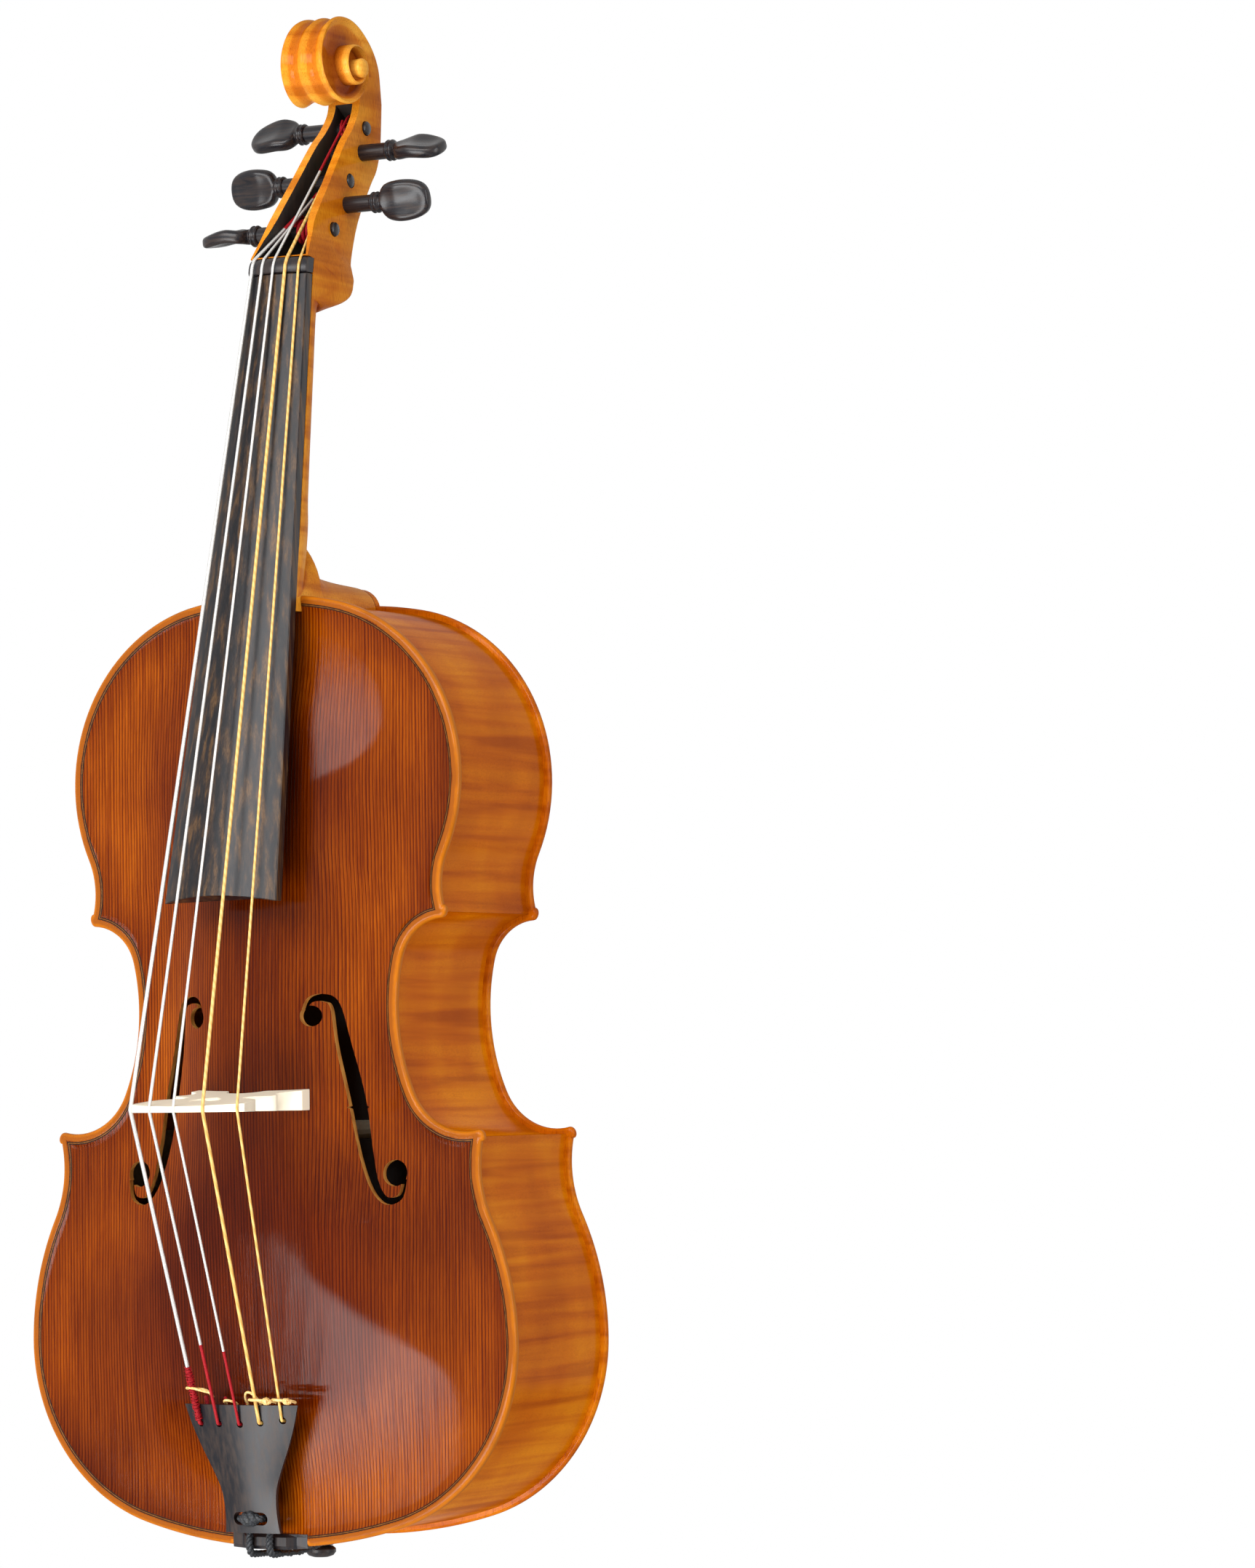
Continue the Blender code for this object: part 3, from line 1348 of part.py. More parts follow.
def make_saddle():
    """A black block let into the top's edge, raised where the tailgut crosses it."""
    rings = []
    for x, rise in (
        (-SADDLE_HALF, 0.0),
        (-0.0150, 0.0004),
        (-0.0110, SADDLE_RISE),
        (0.0110, SADDLE_RISE),
        (0.0150, 0.0004),
        (SADDLE_HALF, 0.0),
    ):
        low = SADDLE_LOW_Z + x * x / (2 * BOTTOM_R)
        flush = -EDGE_THICK / 2
        rings.append(
            [
                (x, EDGE_THICK / 2, low),
                (x, EDGE_THICK / 2, SADDLE_HIGH_Z),
                (x, flush - 0.3 * rise, SADDLE_HIGH_Z),
                (x, flush - rise, SADDLE_HIGH_Z - 0.0014),
                (x, flush - rise, low + 0.0018),
                (x, flush - 0.6 * rise + 0.0004, low),
            ]
        )
    smooth(add_object("saddle", loft("saddle", rings), EBONY), 30)


def saddle_room():
    half, high = SADDLE_HALF + GAP, SADDLE_HIGH_Z + GAP
    outline = [(-half, -0.01), (half, -0.01), (half, high), (-half, high)]
    return prism("saddle_room", outline, -0.02, EDGE_THICK)


def make_end_button(end_block, lower_ribs):
    """Turned, with its shank in the end block; the tailgut lies in its neck."""
    rings = []
    for radius, z in BUTTON_PROFILE:
        turns = spread(0.0, math.tau, 18)[:-1]
        rings.append([(radius * math.cos(t), radius * math.sin(t), z) for t in turns])
    place = (0.0, PLATE_SPACING / 2, 0.0)
    smooth(add_object("end_button", loft("end_button", rings), EBONY, place), 30)
    hole = []
    for z in (-0.01, 0.0196):
        turns = spread(0.0, math.tau, 16)[:-1]
        hole.append([(BUTTON_HOLE_R * math.cos(t), BUTTON_HOLE_R * math.sin(t), z) for t in turns])
    cutter = add_cutter("button_hole", loft("button_hole", hole), place)
    for made in (end_block, *lower_ribs):
        boolean(made, cutter)


def tube(name, routes, radius, resolution=1, closed=False):
    """A curve with a round section along each route of (x, y, z) or (x, y, z, size)."""
    made = bpy.data.curves.new(name, "CURVE")
    made.dimensions = "3D"
    made.bevel_depth = radius
    made.bevel_resolution = resolution
    made.use_fill_caps = True
    for route in routes:
        spline = made.splines.new("POLY")
        spline.points.add(len(route) - 1)
        for point, target in zip(spline.points, route):
            point.co = (*target[:3], 1.0)
            point.radius = target[3] if len(target) > 3 else 1.0
        spline.use_cyclic_u = closed
    return made


def mesh_of(curve):
    """The curve's surface as a welded mesh, which a Boolean can take."""
    holder = bpy.data.objects.new(curve.name, curve)
    CUTTERS.objects.link(holder)
    bpy.context.view_layer.update()
    graph = bpy.context.evaluated_depsgraph_get()
    mesh = bpy.data.meshes.new_from_object(holder.evaluated_get(graph))
    bpy.data.objects.remove(holder)
    shape = bmesh.new()
    shape.from_mesh(mesh)
    bmesh.ops.remove_doubles(shape, verts=shape.verts, dist=1e-6)
    bmesh.ops.recalc_face_normals(shape, faces=shape.faces)
    shape.to_mesh(mesh)
    shape.free()
    return mesh


def make_tailgut():
    """One closed loop: through the slot, over the saddle and round the button's neck."""
    r = TAILGUT_R
    left, right = TAIL_SHIFT - TAILGUT_HALF, TAIL_SHIFT + TAILGUT_HALF
    front = tail_front(TAIL_SHIFT, SLOT_Z) - r * 0.4
    under = tail_under(TAIL_SHIFT, TAIL_STATIONS[0][0]) + r + 2 * GAP
    over = -EDGE_THICK / 2 - SADDLE_RISE - r - GAP
    out = SADDLE_LOW_Z - r - 1.5 * GAP
    neck = BUTTON_PROFILE[5][0] + r + GAP
    groove = (BUTTON_PROFILE[5][1] + BUTTON_PROFILE[6][1]) / 2
    leg = [
        (right - 0.0022, front, SLOT_Z),
        (right, front + r, SLOT_Z),
        (right, under - r, SLOT_Z),
        (right, under, SLOT_Z - 1.2 * r),
        (right, blend(under, over, 0.6), 0.0062),
        (right, over, 0.0040),
        (right, over, 0.0010),
        (right, over + 0.0006, -0.0012),
        (right, over + 0.0025, out + 0.0003),
        (blend(right, neck, 0.2), 0.001, out),
        (blend(right, neck, 0.6), 0.020, out),
        (blend(right, neck, 0.9), 0.035, blend(out, groove, 0.9)),
    ]
    mirrored = [(2 * TAIL_SHIFT - x, y, z) for x, y, z in leg[:9]]
    for x, y, z in leg[9:]:
        share = (x - right) / (neck - right)
        mirrored.append((blend(left, -neck, share), y, z))
    centre = PLATE_SPACING / 2
    around = [
        (neck * math.cos(turn), centre + neck * math.sin(turn), groove)
        for turn in spread(0.0, math.pi, 8)
    ]
    made = tube("tailgut", [leg + around + mirrored[::-1]], r, 1, closed=True)
    add_object("tailgut", made, CORD)


def peg_mesh(name, half, side, turn):
    """Shank, collar and dished head in one surface along X, pointing to its side."""
    tail = -(half + PEG_TAIL_SHOW)
    collar = half + PEG_SHOW
    rings = [(tail, 0.0006, 0.0006, 0.0), (tail + 0.0002, 0.8 * PEG_TAIL_R, 0.8 * PEG_TAIL_R, 0.0)]
    rings.append((tail + 0.0008, PEG_TAIL_R, PEG_TAIL_R, 0.0))
    rings.append((collar, PEG_COLLAR_R, PEG_COLLAR_R, 0.0))
    rings += [(collar + way + 0.0001, w, t, dish) for way, w, t, dish in PEG_HEAD]
    points = []
    for x, width, thick, dish in rings:
        ring = []
        for angle in spread(0.0, math.tau, PEG_SIDES)[:-1]:
            across = math.cos(angle)
            high = math.sin(angle)
            square = 0.0 if width == thick else 0.45
            high = math.copysign(abs(high) ** (1 - square), high) if abs(high) > 1e-6 else 0.0
            high *= thick - dish * max(0.0, 1 - (across / 0.75) ** 2)
            a, b = across * width, high
            ring.append(
                (
                    side * x,
                    a * math.cos(turn) - b * math.sin(turn),
                    a * math.sin(turn) + b * math.cos(turn),
                )
            )
        points.append(ring)
    return loft(name, points)


def wind_frame(index):
    """Vectors of a peg's winding in (y, z): to the point the string meets, and its way."""
    string = PEG_STRINGS[index]
    radius = fixed_radius(string)
    centre = Vector(peg_frame(index)[1])
    start = Vector(nut_exit(string)[1:])
    run = centre - start
    lean = math.asin(radius / run.length)
    run.normalize()
    front = Vector((-run.y, run.x))
    if front.x > 0:
        front.negate()
    to_meet = front * math.cos(lean) - run * math.sin(lean)
    way = run * math.cos(lean) + front * math.sin(lean)
    return centre, to_meet, way


def winding_radius(string):
    return PEG_COLLAR_R + GAP + STRING_R[string]


def fixed_radius(string):
    """Radius at which the fixed string ends, over its turns."""
    return winding_radius(string) + 2 * STRING_R[string] + WIND_SPACE


def nut_exit(string):
    """Where a string leaves the nut's back edge."""
    x = string_x(string, NUT_SPREAD)
    y = nut_crown(x) + 0.0028 - STRING_R[string] * 0.6
    return (x, y, NUT_Z + NUT_THICK)


def make_windings():
    """The turns on each peg, one tube each; prints the least space between its turns."""
    for index in range(len(PEG_AXES)):
        string = PEG_STRINGS[index]
        radius = winding_radius(string)
        centre, to_meet, way = wind_frame(index)
        pitch = 2 * STRING_R[string] + WIND_SPACE
        count = WIND_TURNS[string] * WIND_LOOP_POINTS
        route = []
        for i in range(count + 1):
            turn = math.tau * i / WIND_LOOP_POINTS
            at = (to_meet * math.cos(turn) + way * math.sin(turn)) * radius
            x = WIND_STARTS[string] + WIND_WAYS[string] * pitch * i / WIND_LOOP_POINTS
            route.append((x, at.x, at.y))
        run = 2 * STRING_R[string]
        first, last = Vector(route[0]), Vector(route[-1])
        head = (first - Vector(route[1])).normalized() * run + first
        foot = (last - Vector(route[-2])).normalized() * run + last
        route = [tuple(head), *route, tuple(foot)]
        name = f"winding_{PEG_AXES[index][0]}"
        made = tube(name, [route], STRING_R[string])
        look = WOUND if string < 3 else GUT
        add_object(name, made, look, (0.0, *centre))
        print(name, "least space between turns, mm:", round(1000 * least_space(route, run / 2), 3))


def least_space(route, radius):
    """Least free space between parts of a tube more than half a loop apart."""
    least = 1.0
    for i, a in enumerate(route):
        for b in route[i + WIND_LOOP_POINTS // 2 :]:
            least = min(least, math.dist(a, b) - 2 * radius)
    return least


def string_route(index):
    """Points of a string from its noose at the tailpiece over bridge and nut to its peg."""
    r = STRING_R[index]
    peg = PEG_STRINGS.index(index)
    hole_x, hole_z = TAIL_HOLES[index]
    high_z = TAIL_STATIONS[-1][0]
    bridge_x = string_x(index, BRIDGE_SPREAD)
    bridge = Vector((bridge_x, bridge_crown(bridge_x), BRIDGE_Z))
    front = tail_front(hole_x, hole_z) - r - GAP
    under = max(tail_under(hole_x, hole_z), tail_under(hole_x, high_z)) + r + GAP
    out = Vector((hole_x, front, hole_z + r))
    run = (bridge - out).normalized()
    crossing = out + run * ((high_z + r + 2 * GAP + 0.0012 - out.z) / run.z)
    around = 2 * r + 0.0005
    noose = []
    for turn in spread(math.radians(300), math.radians(90), 7):
        noose.append(crossing + Vector((around * math.cos(turn), around * math.sin(turn), 0.0)))
    behind = crossing.z
    route = [*noose]
    route.append(Vector((hole_x, under - r, behind)))
    route.append(Vector((hole_x, under, behind - r)))
    route.append(Vector((hole_x, under, hole_z + r)))
    route.append(Vector((hole_x, under - r, hole_z)))
    route.append(Vector((hole_x, front + r, hole_z)))
    route += [out, bridge - run * 0.002, bridge]
    x = string_x(index, NUT_SPREAD)
    nut_y = nut_crown(x) - 0.3 * r
    nut = Vector((x, nut_y, NUT_Z))
    onwards = (nut - bridge).normalized()
    route += [bridge + onwards * 0.002, nut, Vector((x, nut_y, NUT_Z + 0.3 * NUT_THICK))]
    route.append(Vector((x, nut_y + 0.0008, NUT_Z + 0.6 * NUT_THICK)))
    route.append(Vector((x, nut_y + 0.0016, NUT_Z + 0.82 * NUT_THICK)))
    route.append(Vector(nut_exit(index)))
    centre, to_meet, way = wind_frame(peg)
    for turn in spread(0.0, math.radians(65), 4):
        at = centre + (to_meet * math.cos(turn) + way * math.sin(turn)) * fixed_radius(index)
        route.append(Vector((WIND_STARTS[index], at.x, at.y)))
    return [tuple(point) for point in route]


def make_strings():
    for index in range(5):
        made = tube(f"string_{index + 1}", [string_route(index)], STRING_R[index])
        add_object(f"string_{index + 1}", made, WOUND if index < 3 else GUT)


def string_room():
    """The room the strings need where they pass the nut, the bridge and the cheeks."""
    meshes = []
    for index in range(5):
        route = string_route(index)[12:]
        radius = (STRING_R[index] + GAP) / math.cos(math.pi / 8)
        meshes.append(mesh_of(tube("room", [route], radius, 2)))
    shape = bmesh.new()
    for mesh in meshes:
        shape.from_mesh(mesh)
    joined = bpy.data.meshes.new("string_room")
    shape.to_mesh(joined)
    shape.free()
    return joined


def make_pegs():
    for index in range(len(PEG_AXES)):
        name, axis, side, half = peg_frame(index)
        turn = math.radians(PEG_TURNS[index])
        made = add_object(name + "_peg", peg_mesh(name, half, side, turn), EBONY, (0.0, *axis))
        smooth(made, 35)


for old in list(bpy.data.objects):
    bpy.data.objects.remove(old)
PARTS = collection("violoncello_da_spalla")
CUTTERS = collection("cutters")
BODY = bpy.data.objects.new("body_place", None)
BODY.location = BODY_PLACE
PARTS.objects.link(BODY)

top = plate("top_plate", TOP_THICK, SPRUCE, False)
cut_sound_holes(top)
heel_room = add_cutter("heel_room", mortise_mesh())
boolean(top, heel_room)
boolean(top, add_cutter("saddle_room", saddle_room()))
smooth(top)
back = plate("back_plate", BACK_THICK, MAPLE, True)
boolean(back, add_cutter("button", button_mesh()), "UNION")
smooth(back)
make_purfling()
make_ribs()
neck_block, end_block = make_blocks()
boolean(neck_block, heel_room)
make_linings()
TOP_TREE = evaluated_tree(top)
make_bass_bar(TOP_TREE)
make_sound_post(TOP_TREE, evaluated_tree(back))
head = make_head()
make_fingerboard()
room = add_cutter("string_room", string_room())
boolean(make_nut(), room)
boolean(head, room)
make_bridge(TOP_TREE, room)
make_tailpiece(room)
make_saddle()
lower_ribs = [bpy.data.objects[f"lower_rib_{hand}"] for hand in ("treble", "bass")]
make_end_button(end_block, lower_ribs)
make_tailgut()
make_strings()
make_windings()
make_pegs()
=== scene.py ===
"""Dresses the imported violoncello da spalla: varnished spruce and maple, ebony fittings,
gut and wound strings, and a white studio seen from the photograph's angle."""

import math
import random

import bmesh
import bpy
from mathutils import Matrix, Vector
from mathutils.bvhtree import BVHTree


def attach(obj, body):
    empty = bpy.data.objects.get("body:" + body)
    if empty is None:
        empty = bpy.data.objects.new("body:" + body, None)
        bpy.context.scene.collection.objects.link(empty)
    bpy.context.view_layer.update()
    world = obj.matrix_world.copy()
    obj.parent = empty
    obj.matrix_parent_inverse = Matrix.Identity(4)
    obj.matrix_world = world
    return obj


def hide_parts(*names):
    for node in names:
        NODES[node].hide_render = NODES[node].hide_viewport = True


bl_info = {
    "name": "Violoncello da Spalla",
    "version": (1, 0, 0),
    "blender": (4, 5, 0),
    "location": "View3D > Sidebar > Da Spalla",
    "description": "Finishes and fine parts of a five-string violoncello da spalla",
    "category": "Object",
}

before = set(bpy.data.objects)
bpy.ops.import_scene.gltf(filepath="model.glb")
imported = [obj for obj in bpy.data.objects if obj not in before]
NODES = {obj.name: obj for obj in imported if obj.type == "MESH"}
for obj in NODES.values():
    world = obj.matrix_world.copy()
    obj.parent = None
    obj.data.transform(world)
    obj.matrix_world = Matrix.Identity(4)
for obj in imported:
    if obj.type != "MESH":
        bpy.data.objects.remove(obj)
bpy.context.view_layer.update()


# The body's outline, as tangent arcs of the right half
BODY_LENGTH = 0.455
LOWER_HALF, LOWER_Z, BOTTOM_R, FLANK_R = 0.1354, 0.097, 0.248, 0.138
LOWER_REVERSE_X, LOWER_REVERSE_R = 0.1165, 0.058
WAIST_HALF, WAIST_Z, WAIST_R = 0.0724, 0.256, 0.100
LOWER_HOOK_Z, LOWER_HOOK_R = 0.1972, 0.0311
UPPER_HOOK_Z, UPPER_HOOK_R = 0.2979, 0.024
UPPER_REVERSE_X, UPPER_REVERSE_R = 0.097, 0.040
UPPER_HALF, UPPER_Z, TOP_R = 0.1083, 0.366, 0.2014
CORNER_CUT_OUTER, CORNER_CUT_INNER = 0.0066, 0.0030
CORNER_BULGE, CORNER_FADE = 0.0022, 0.0026

EDGE_THICK, PLATE_SPACING = 0.0044, 0.088
PURFLING_INSET, PURFLING_WIDTH, PURFLING_DEEP = 0.0035, 0.0013, 0.0012
CHANNEL_INSET, CHANNEL_DEEP, ARCH_RISE = 0.009, 0.0009, 0.0163
TOP_THICK, BACK_THICK = 0.0032, 0.0038
SPINE_INSET, FULL_ARCH_SPAN, FULL_ARCH_GAIN, SLOPE_LENGTH = 0.072, 0.075, 0.4, 0.75
OVERHANG, RIB_THICK, GAP = 0.003, 0.0016, 0.0003
HEEL_ROOT_HALF, BUTTON_HALF, BUTTON_RISE, SADDLE_HALF = 0.0225, 0.012, 0.0085, 0.0207

UPPER_EYE, UPPER_EYE_R = (0.0320, 0.2525), 0.0050
LOWER_EYE, LOWER_EYE_R = (0.0717, 0.1778), 0.00625
STEM_WIDTH, CURL_WIDTH = 0.0084, 0.0030
NOTCH_Z, NOTCH_DEEP, NOTCH_HALF = 0.209, 0.0012, 0.0010

BODY_PLACE = Vector((0.0, -PLATE_SPACING / 2, 0.008))  # body coordinates in the frame


def blend(a, b, share):
    return a + (b - a) * share


def spread(start, end, steps):
    return [blend(start, end, i / steps) for i in range(steps + 1)]


def direction(origin, target):
    return math.atan2(target[1] - origin[1], target[0] - origin[0])


def on_circle(centre, radius, angle):
    return (centre[0] + radius * math.cos(angle), centre[1] + radius * math.sin(angle))


def flank_radius(end_radius, half, height):
    """The side arc that touches the end's arc and is upright at (half, height)."""
    rise = end_radius - height
    return (end_radius**2 - half**2 - rise**2) / (2 * (end_radius - half))


def crossing(centre_a, radius_a, centre_b, radius_b, side):
    """Where two circles cross, left (1) or right (-1) of the line from a to b."""
    apart = math.dist(centre_a, centre_b)
    along = (radius_a**2 - radius_b**2 + apart**2) / (2 * apart)
    across = side * math.sqrt(max(radius_a**2 - along**2, 0.0))
    ux = (centre_b[0] - centre_a[0]) / apart
    uz = (centre_b[1] - centre_a[1]) / apart
    x = centre_a[0] + along * ux - across * uz
    return (x, centre_a[1] + along * uz + across * ux)


def outline_circles():
    """Centre and radius of each arc of the right half, from where they touch."""
    low_r = flank_radius(BOTTOM_R, LOWER_HALF, LOWER_Z)
    flank = (LOWER_HALF - FLANK_R, LOWER_Z)
    run = LOWER_REVERSE_X + LOWER_REVERSE_R - flank[0]
    climb = math.sqrt((FLANK_R + LOWER_REVERSE_R) ** 2 - run**2)
    waist = (WAIST_HALF + WAIST_R, WAIST_Z)
    low_hook_z = LOWER_HOOK_Z + LOWER_HOOK_R
    low_reach = math.sqrt((WAIST_R - LOWER_HOOK_R) ** 2 - (WAIST_Z - low_hook_z) ** 2)
    high_hook_z = UPPER_HOOK_Z - UPPER_HOOK_R
    high_reach = math.sqrt((WAIST_R - UPPER_HOOK_R) ** 2 - (WAIST_Z - high_hook_z) ** 2)
    high_r = flank_radius(TOP_R, UPPER_HALF, BODY_LENGTH - UPPER_Z)
    high = (UPPER_HALF - high_r, UPPER_Z)
    run = UPPER_REVERSE_X + UPPER_REVERSE_R - high[0]
    drop = math.sqrt((high_r + UPPER_REVERSE_R) ** 2 - run**2)
    return {
        "bottom": ((0.0, BOTTOM_R), BOTTOM_R),
        "low": ((LOWER_HALF - low_r, LOWER_Z), low_r),
        "flank": (flank, FLANK_R),
        "low_reverse": ((LOWER_REVERSE_X + LOWER_REVERSE_R, LOWER_Z + climb), LOWER_REVERSE_R),
        "low_hook": ((waist[0] - low_reach, low_hook_z), LOWER_HOOK_R),
        "waist": (waist, WAIST_R),
        "high_hook": ((waist[0] - high_reach, high_hook_z), UPPER_HOOK_R),
        "high_reverse": ((UPPER_REVERSE_X + UPPER_REVERSE_R, UPPER_Z - drop), UPPER_REVERSE_R),
        "high": (high, high_r),
        "top": ((0.0, BODY_LENGTH - TOP_R), TOP_R),
    }


CORNER_STEPS = 10


def corner_tip(reverse, hook, inset, reverse_first):
    """The angles where a corner's two arcs stop and the points of its blunt end."""
    reverse_r, hook_r = reverse[1] + inset, hook[1] + inset
    side = -1 if reverse_first else 1
    tip = crossing(reverse[0], reverse_r, hook[0], hook_r, -side)
    share = max(0.0, 1 - inset / CORNER_FADE)
    reverse_angle = direction(reverse[0], tip) % math.tau
    reverse_angle -= side * share * CORNER_CUT_OUTER / reverse_r
    hook_angle = direction(hook[0], tip) % math.tau
    hook_angle += side * share * CORNER_CUT_INNER / hook_r
    a = on_circle(reverse[0], reverse_r, reverse_angle)
    b = on_circle(hook[0], hook_r, hook_angle)
    start, end = (a, b) if reverse_first else (b, a)
    points = []
    for i in range(1, CORNER_STEPS):
        turn = math.pi * i / CORNER_STEPS
        x = (a[0] + b[0]) / 2 - (end[0] - start[0]) / 2 * math.cos(turn)
        z = (a[1] + b[1]) / 2 - (end[1] - start[1]) / 2 * math.cos(turn)
        points.append((x + share * CORNER_BULGE * math.sin(turn), z))
    return reverse_angle, hook_angle, points


def half_outline(inset):
    """Points (x, z) of the right half, drawn in by the inset, upwards; the places of
    the two corners come with them."""
    c = outline_circles()
    low_turn, low_hook_turn, low_tip = corner_tip(c["low_reverse"], c["low_hook"], inset, True)
    high_turn, high_hook_turn, high_tip = corner_tip(
        c["high_reverse"], c["high_hook"], inset, False
    )
    to_low = direction(c["bottom"][0], c["low"][0])
    to_reverse = direction(c["flank"][0], c["low_reverse"][0])
    waist_low = direction(c["waist"][0], c["low_hook"][0]) % math.tau
    waist_high = direction(c["waist"][0], c["high_hook"][0]) % math.tau
    to_high = direction(c["high_reverse"][0], c["high"][0]) % math.tau
    to_top = direction(c["top"][0], c["high"][0])
    arcs = (
        ("bottom", -math.pi / 2, to_low, -1),
        ("low", to_low, 0.0, -1),
        ("flank", 0.0, to_reverse, -1),
        ("low_reverse", math.pi + to_reverse, low_turn, 1),
        ("low_hook", low_hook_turn, waist_low, 1),
        ("waist", waist_low, waist_high, 1),
        ("high_hook", waist_high, high_hook_turn, 1),
        ("high_reverse", high_turn, to_high, 1),
        ("high", to_high - math.pi, to_top, -1),
        ("top", to_top, math.pi / 2, -1),
    )
    points, corners = [], []
    for name, start, end, sign in arcs:
        centre, radius = c[name]
        angles = spread(start, end, ARC_STEPS[name])
        arc = [on_circle(centre, radius + sign * inset, a) for a in angles]
        points += arc if not points or name in ("low_hook", "high_reverse") else arc[1:]
        if name in ("low_reverse", "high_hook"):
            corners.append(len(points) - 1 + CORNER_STEPS // 2)
            points += low_tip if name == "low_reverse" else high_tip
    points[0], points[-1] = (0.0, points[0][1]), (0.0, points[-1][1])
    return points, corners


ARC_STEPS = {
    "bottom": 22, "low": 36, "flank": 22, "low_reverse": 16, "low_hook": 16,
    "waist": 22, "high_hook": 14, "high_reverse": 14, "high": 36, "top": 20,
}


def whole_outline(inset):
    right = half_outline(inset)[0]
    return right + [(-x, z) for x, z in reversed(right[1:-1])]


def cycloid(share):
    share = min(max(share, 0.0), 1.0)
    return share - math.sin(math.tau * share) / math.tau


def long_arch(z):
    """Height of the arch's crest over the channel, along the body."""
    half = BODY_LENGTH / 2
    reach = (half - abs(z - half) - CHANNEL_INSET) / (half - CHANNEL_INSET)
    rise = ARCH_RISE + CHANNEL_DEEP
    return rise * math.sin(math.pi / 2 * min(max(reach, 0.0), 1.0)) ** SLOPE_LENGTH


def edge_profile(inset):
    """The plate's face near its edge: flat, then sinking into the channel."""
    share = min(max((inset - 0.0024) / 0.0054, 0.0), 1.0)
    return -EDGE_THICK / 2 + CHANNEL_DEEP * share * share * (3 - 2 * share)


EDGE_INSETS = (0.0085, 0.0072, 0.0060, 0.0050, 0.0040, 0.0030, 0.0024)
ARCH_INSETS = (0.0105, 0.0125, 0.015, 0.018, 0.0215, 0.0255, 0.030, 0.036, 0.043, 0.050, 0.058)
EDGE_OVER, EDGE_UNDER = 0.0019, 0.0013  # rounding of the edge over and under it


def plate_rings(thickness):
    """Half rings of a plate as (x, y, z, inset), from its crest over the edge to the
    crest of its inner face."""
    channel = -EDGE_THICK / 2 + CHANNEL_DEEP
    glue = EDGE_THICK / 2
    innermost = half_outline(ARCH_INSETS[-1])[0]
    top = BODY_LENGTH - SPINE_INSET
    crests = [(0.0, min(max(z, SPINE_INSET), top)) for _, z in innermost]
    runs = [math.dist(p, q) for p, q in zip(innermost, crests)]

    def arched(inset, points):
        ring = []
        for (x, z), crest, run in zip(points, crests, runs):
            total = ARCH_INSETS[-1] + run
            share = (min(inset, total) - CHANNEL_INSET) / (total - CHANNEL_INSET)
            nearness = max(0.0, 1 - abs(z - WAIST_Z) / FULL_ARCH_SPAN)
            power = 1 - FULL_ARCH_GAIN * math.sin(math.pi / 2 * nearness) ** 2
            ring.append((x, channel - long_arch(crest[1]) * cycloid(share) ** power, z, inset))
        return ring

    crown = []
    for share in (1.0, 0.8, 0.6, 0.4, 0.2):
        points, heights = [], []
        for p, q, run in zip(innermost, crests, runs):
            points.append((blend(p[0], q[0], share), blend(p[1], q[1], share)))
            heights.append(ARCH_INSETS[-1] + share * run)
        ring = []
        for i, inset in enumerate(heights):
            total = ARCH_INSETS[-1] + runs[i]
            level = (inset - CHANNEL_INSET) / (total - CHANNEL_INSET)
            nearness = max(0.0, 1 - abs(points[i][1] - WAIST_Z) / FULL_ARCH_SPAN)
            power = 1 - FULL_ARCH_GAIN * math.sin(math.pi / 2 * nearness) ** 2
            height = long_arch(crests[i][1]) * cycloid(level) ** power
            ring.append((points[i][0], channel - height, points[i][1], inset))
        crown.append(ring)
    outer = [*crown, *(arched(i, half_outline(i)[0]) for i in reversed(ARCH_INSETS))]
    rings = list(outer)
    for inset in EDGE_INSETS:
        rings.append([(x, edge_profile(inset), z, inset) for x, z in half_outline(inset)[0]])
    for turn in spread(0.0, math.pi / 2, 5):
        inset = EDGE_OVER * (1 - math.sin(turn))
        y = -EDGE_THICK / 2 + EDGE_OVER * (1 - math.cos(turn))
        rings.append([(x, y, z, inset) for x, z in half_outline(inset)[0]])
    for turn in spread(0.0, math.pi / 2, 3):
        inset = EDGE_UNDER * (1 - math.cos(turn))
        y = glue - EDGE_UNDER * (1 - math.sin(turn))
        rings.append([(x, y, z, inset) for x, z in half_outline(inset)[0]])
    for inset in (0.0100, *ARCH_INSETS[2::2]):
        if inset == 0.0100:
            rings.append([(x, glue, z, inset) for x, z in half_outline(inset)[0]])
        else:
            ring = arched(inset, half_outline(inset)[0])
            rings.append([(x, min(y + thickness, glue), z, i) for x, y, z, i in ring])
    rings.append([(x, min(y + thickness, glue), z, i) for x, y, z, i in crown[2]])
    rings.append([(x, min(y + thickness, glue), z, i) for x, y, z, i in crown[0]])
    return rings


def mesh_from(name, points, faces, weld=1e-6, inset=None):
    """A mesh with equal points made one and its faces turned outwards."""
    shape = bmesh.new()
    layer = shape.verts.layers.float.new("inset") if inset else None
    corners = []
    for i, point in enumerate(points):
        corners.append(shape.verts.new(point[:3]))
        if layer:
            corners[-1][layer] = inset[i] * 1000
    for face in faces:
        distinct = list(dict.fromkeys(face))
        if len(distinct) > 2:
            shape.faces.new([corners[i] for i in distinct])
    bmesh.ops.remove_doubles(shape, verts=shape.verts, dist=weld)
    bmesh.ops.dissolve_degenerate(shape, edges=shape.edges, dist=1e-7)
    bmesh.ops.recalc_face_normals(shape, faces=shape.faces)
    mesh = bpy.data.meshes.new(name)
    shape.to_mesh(mesh)
    shape.free()
    return mesh


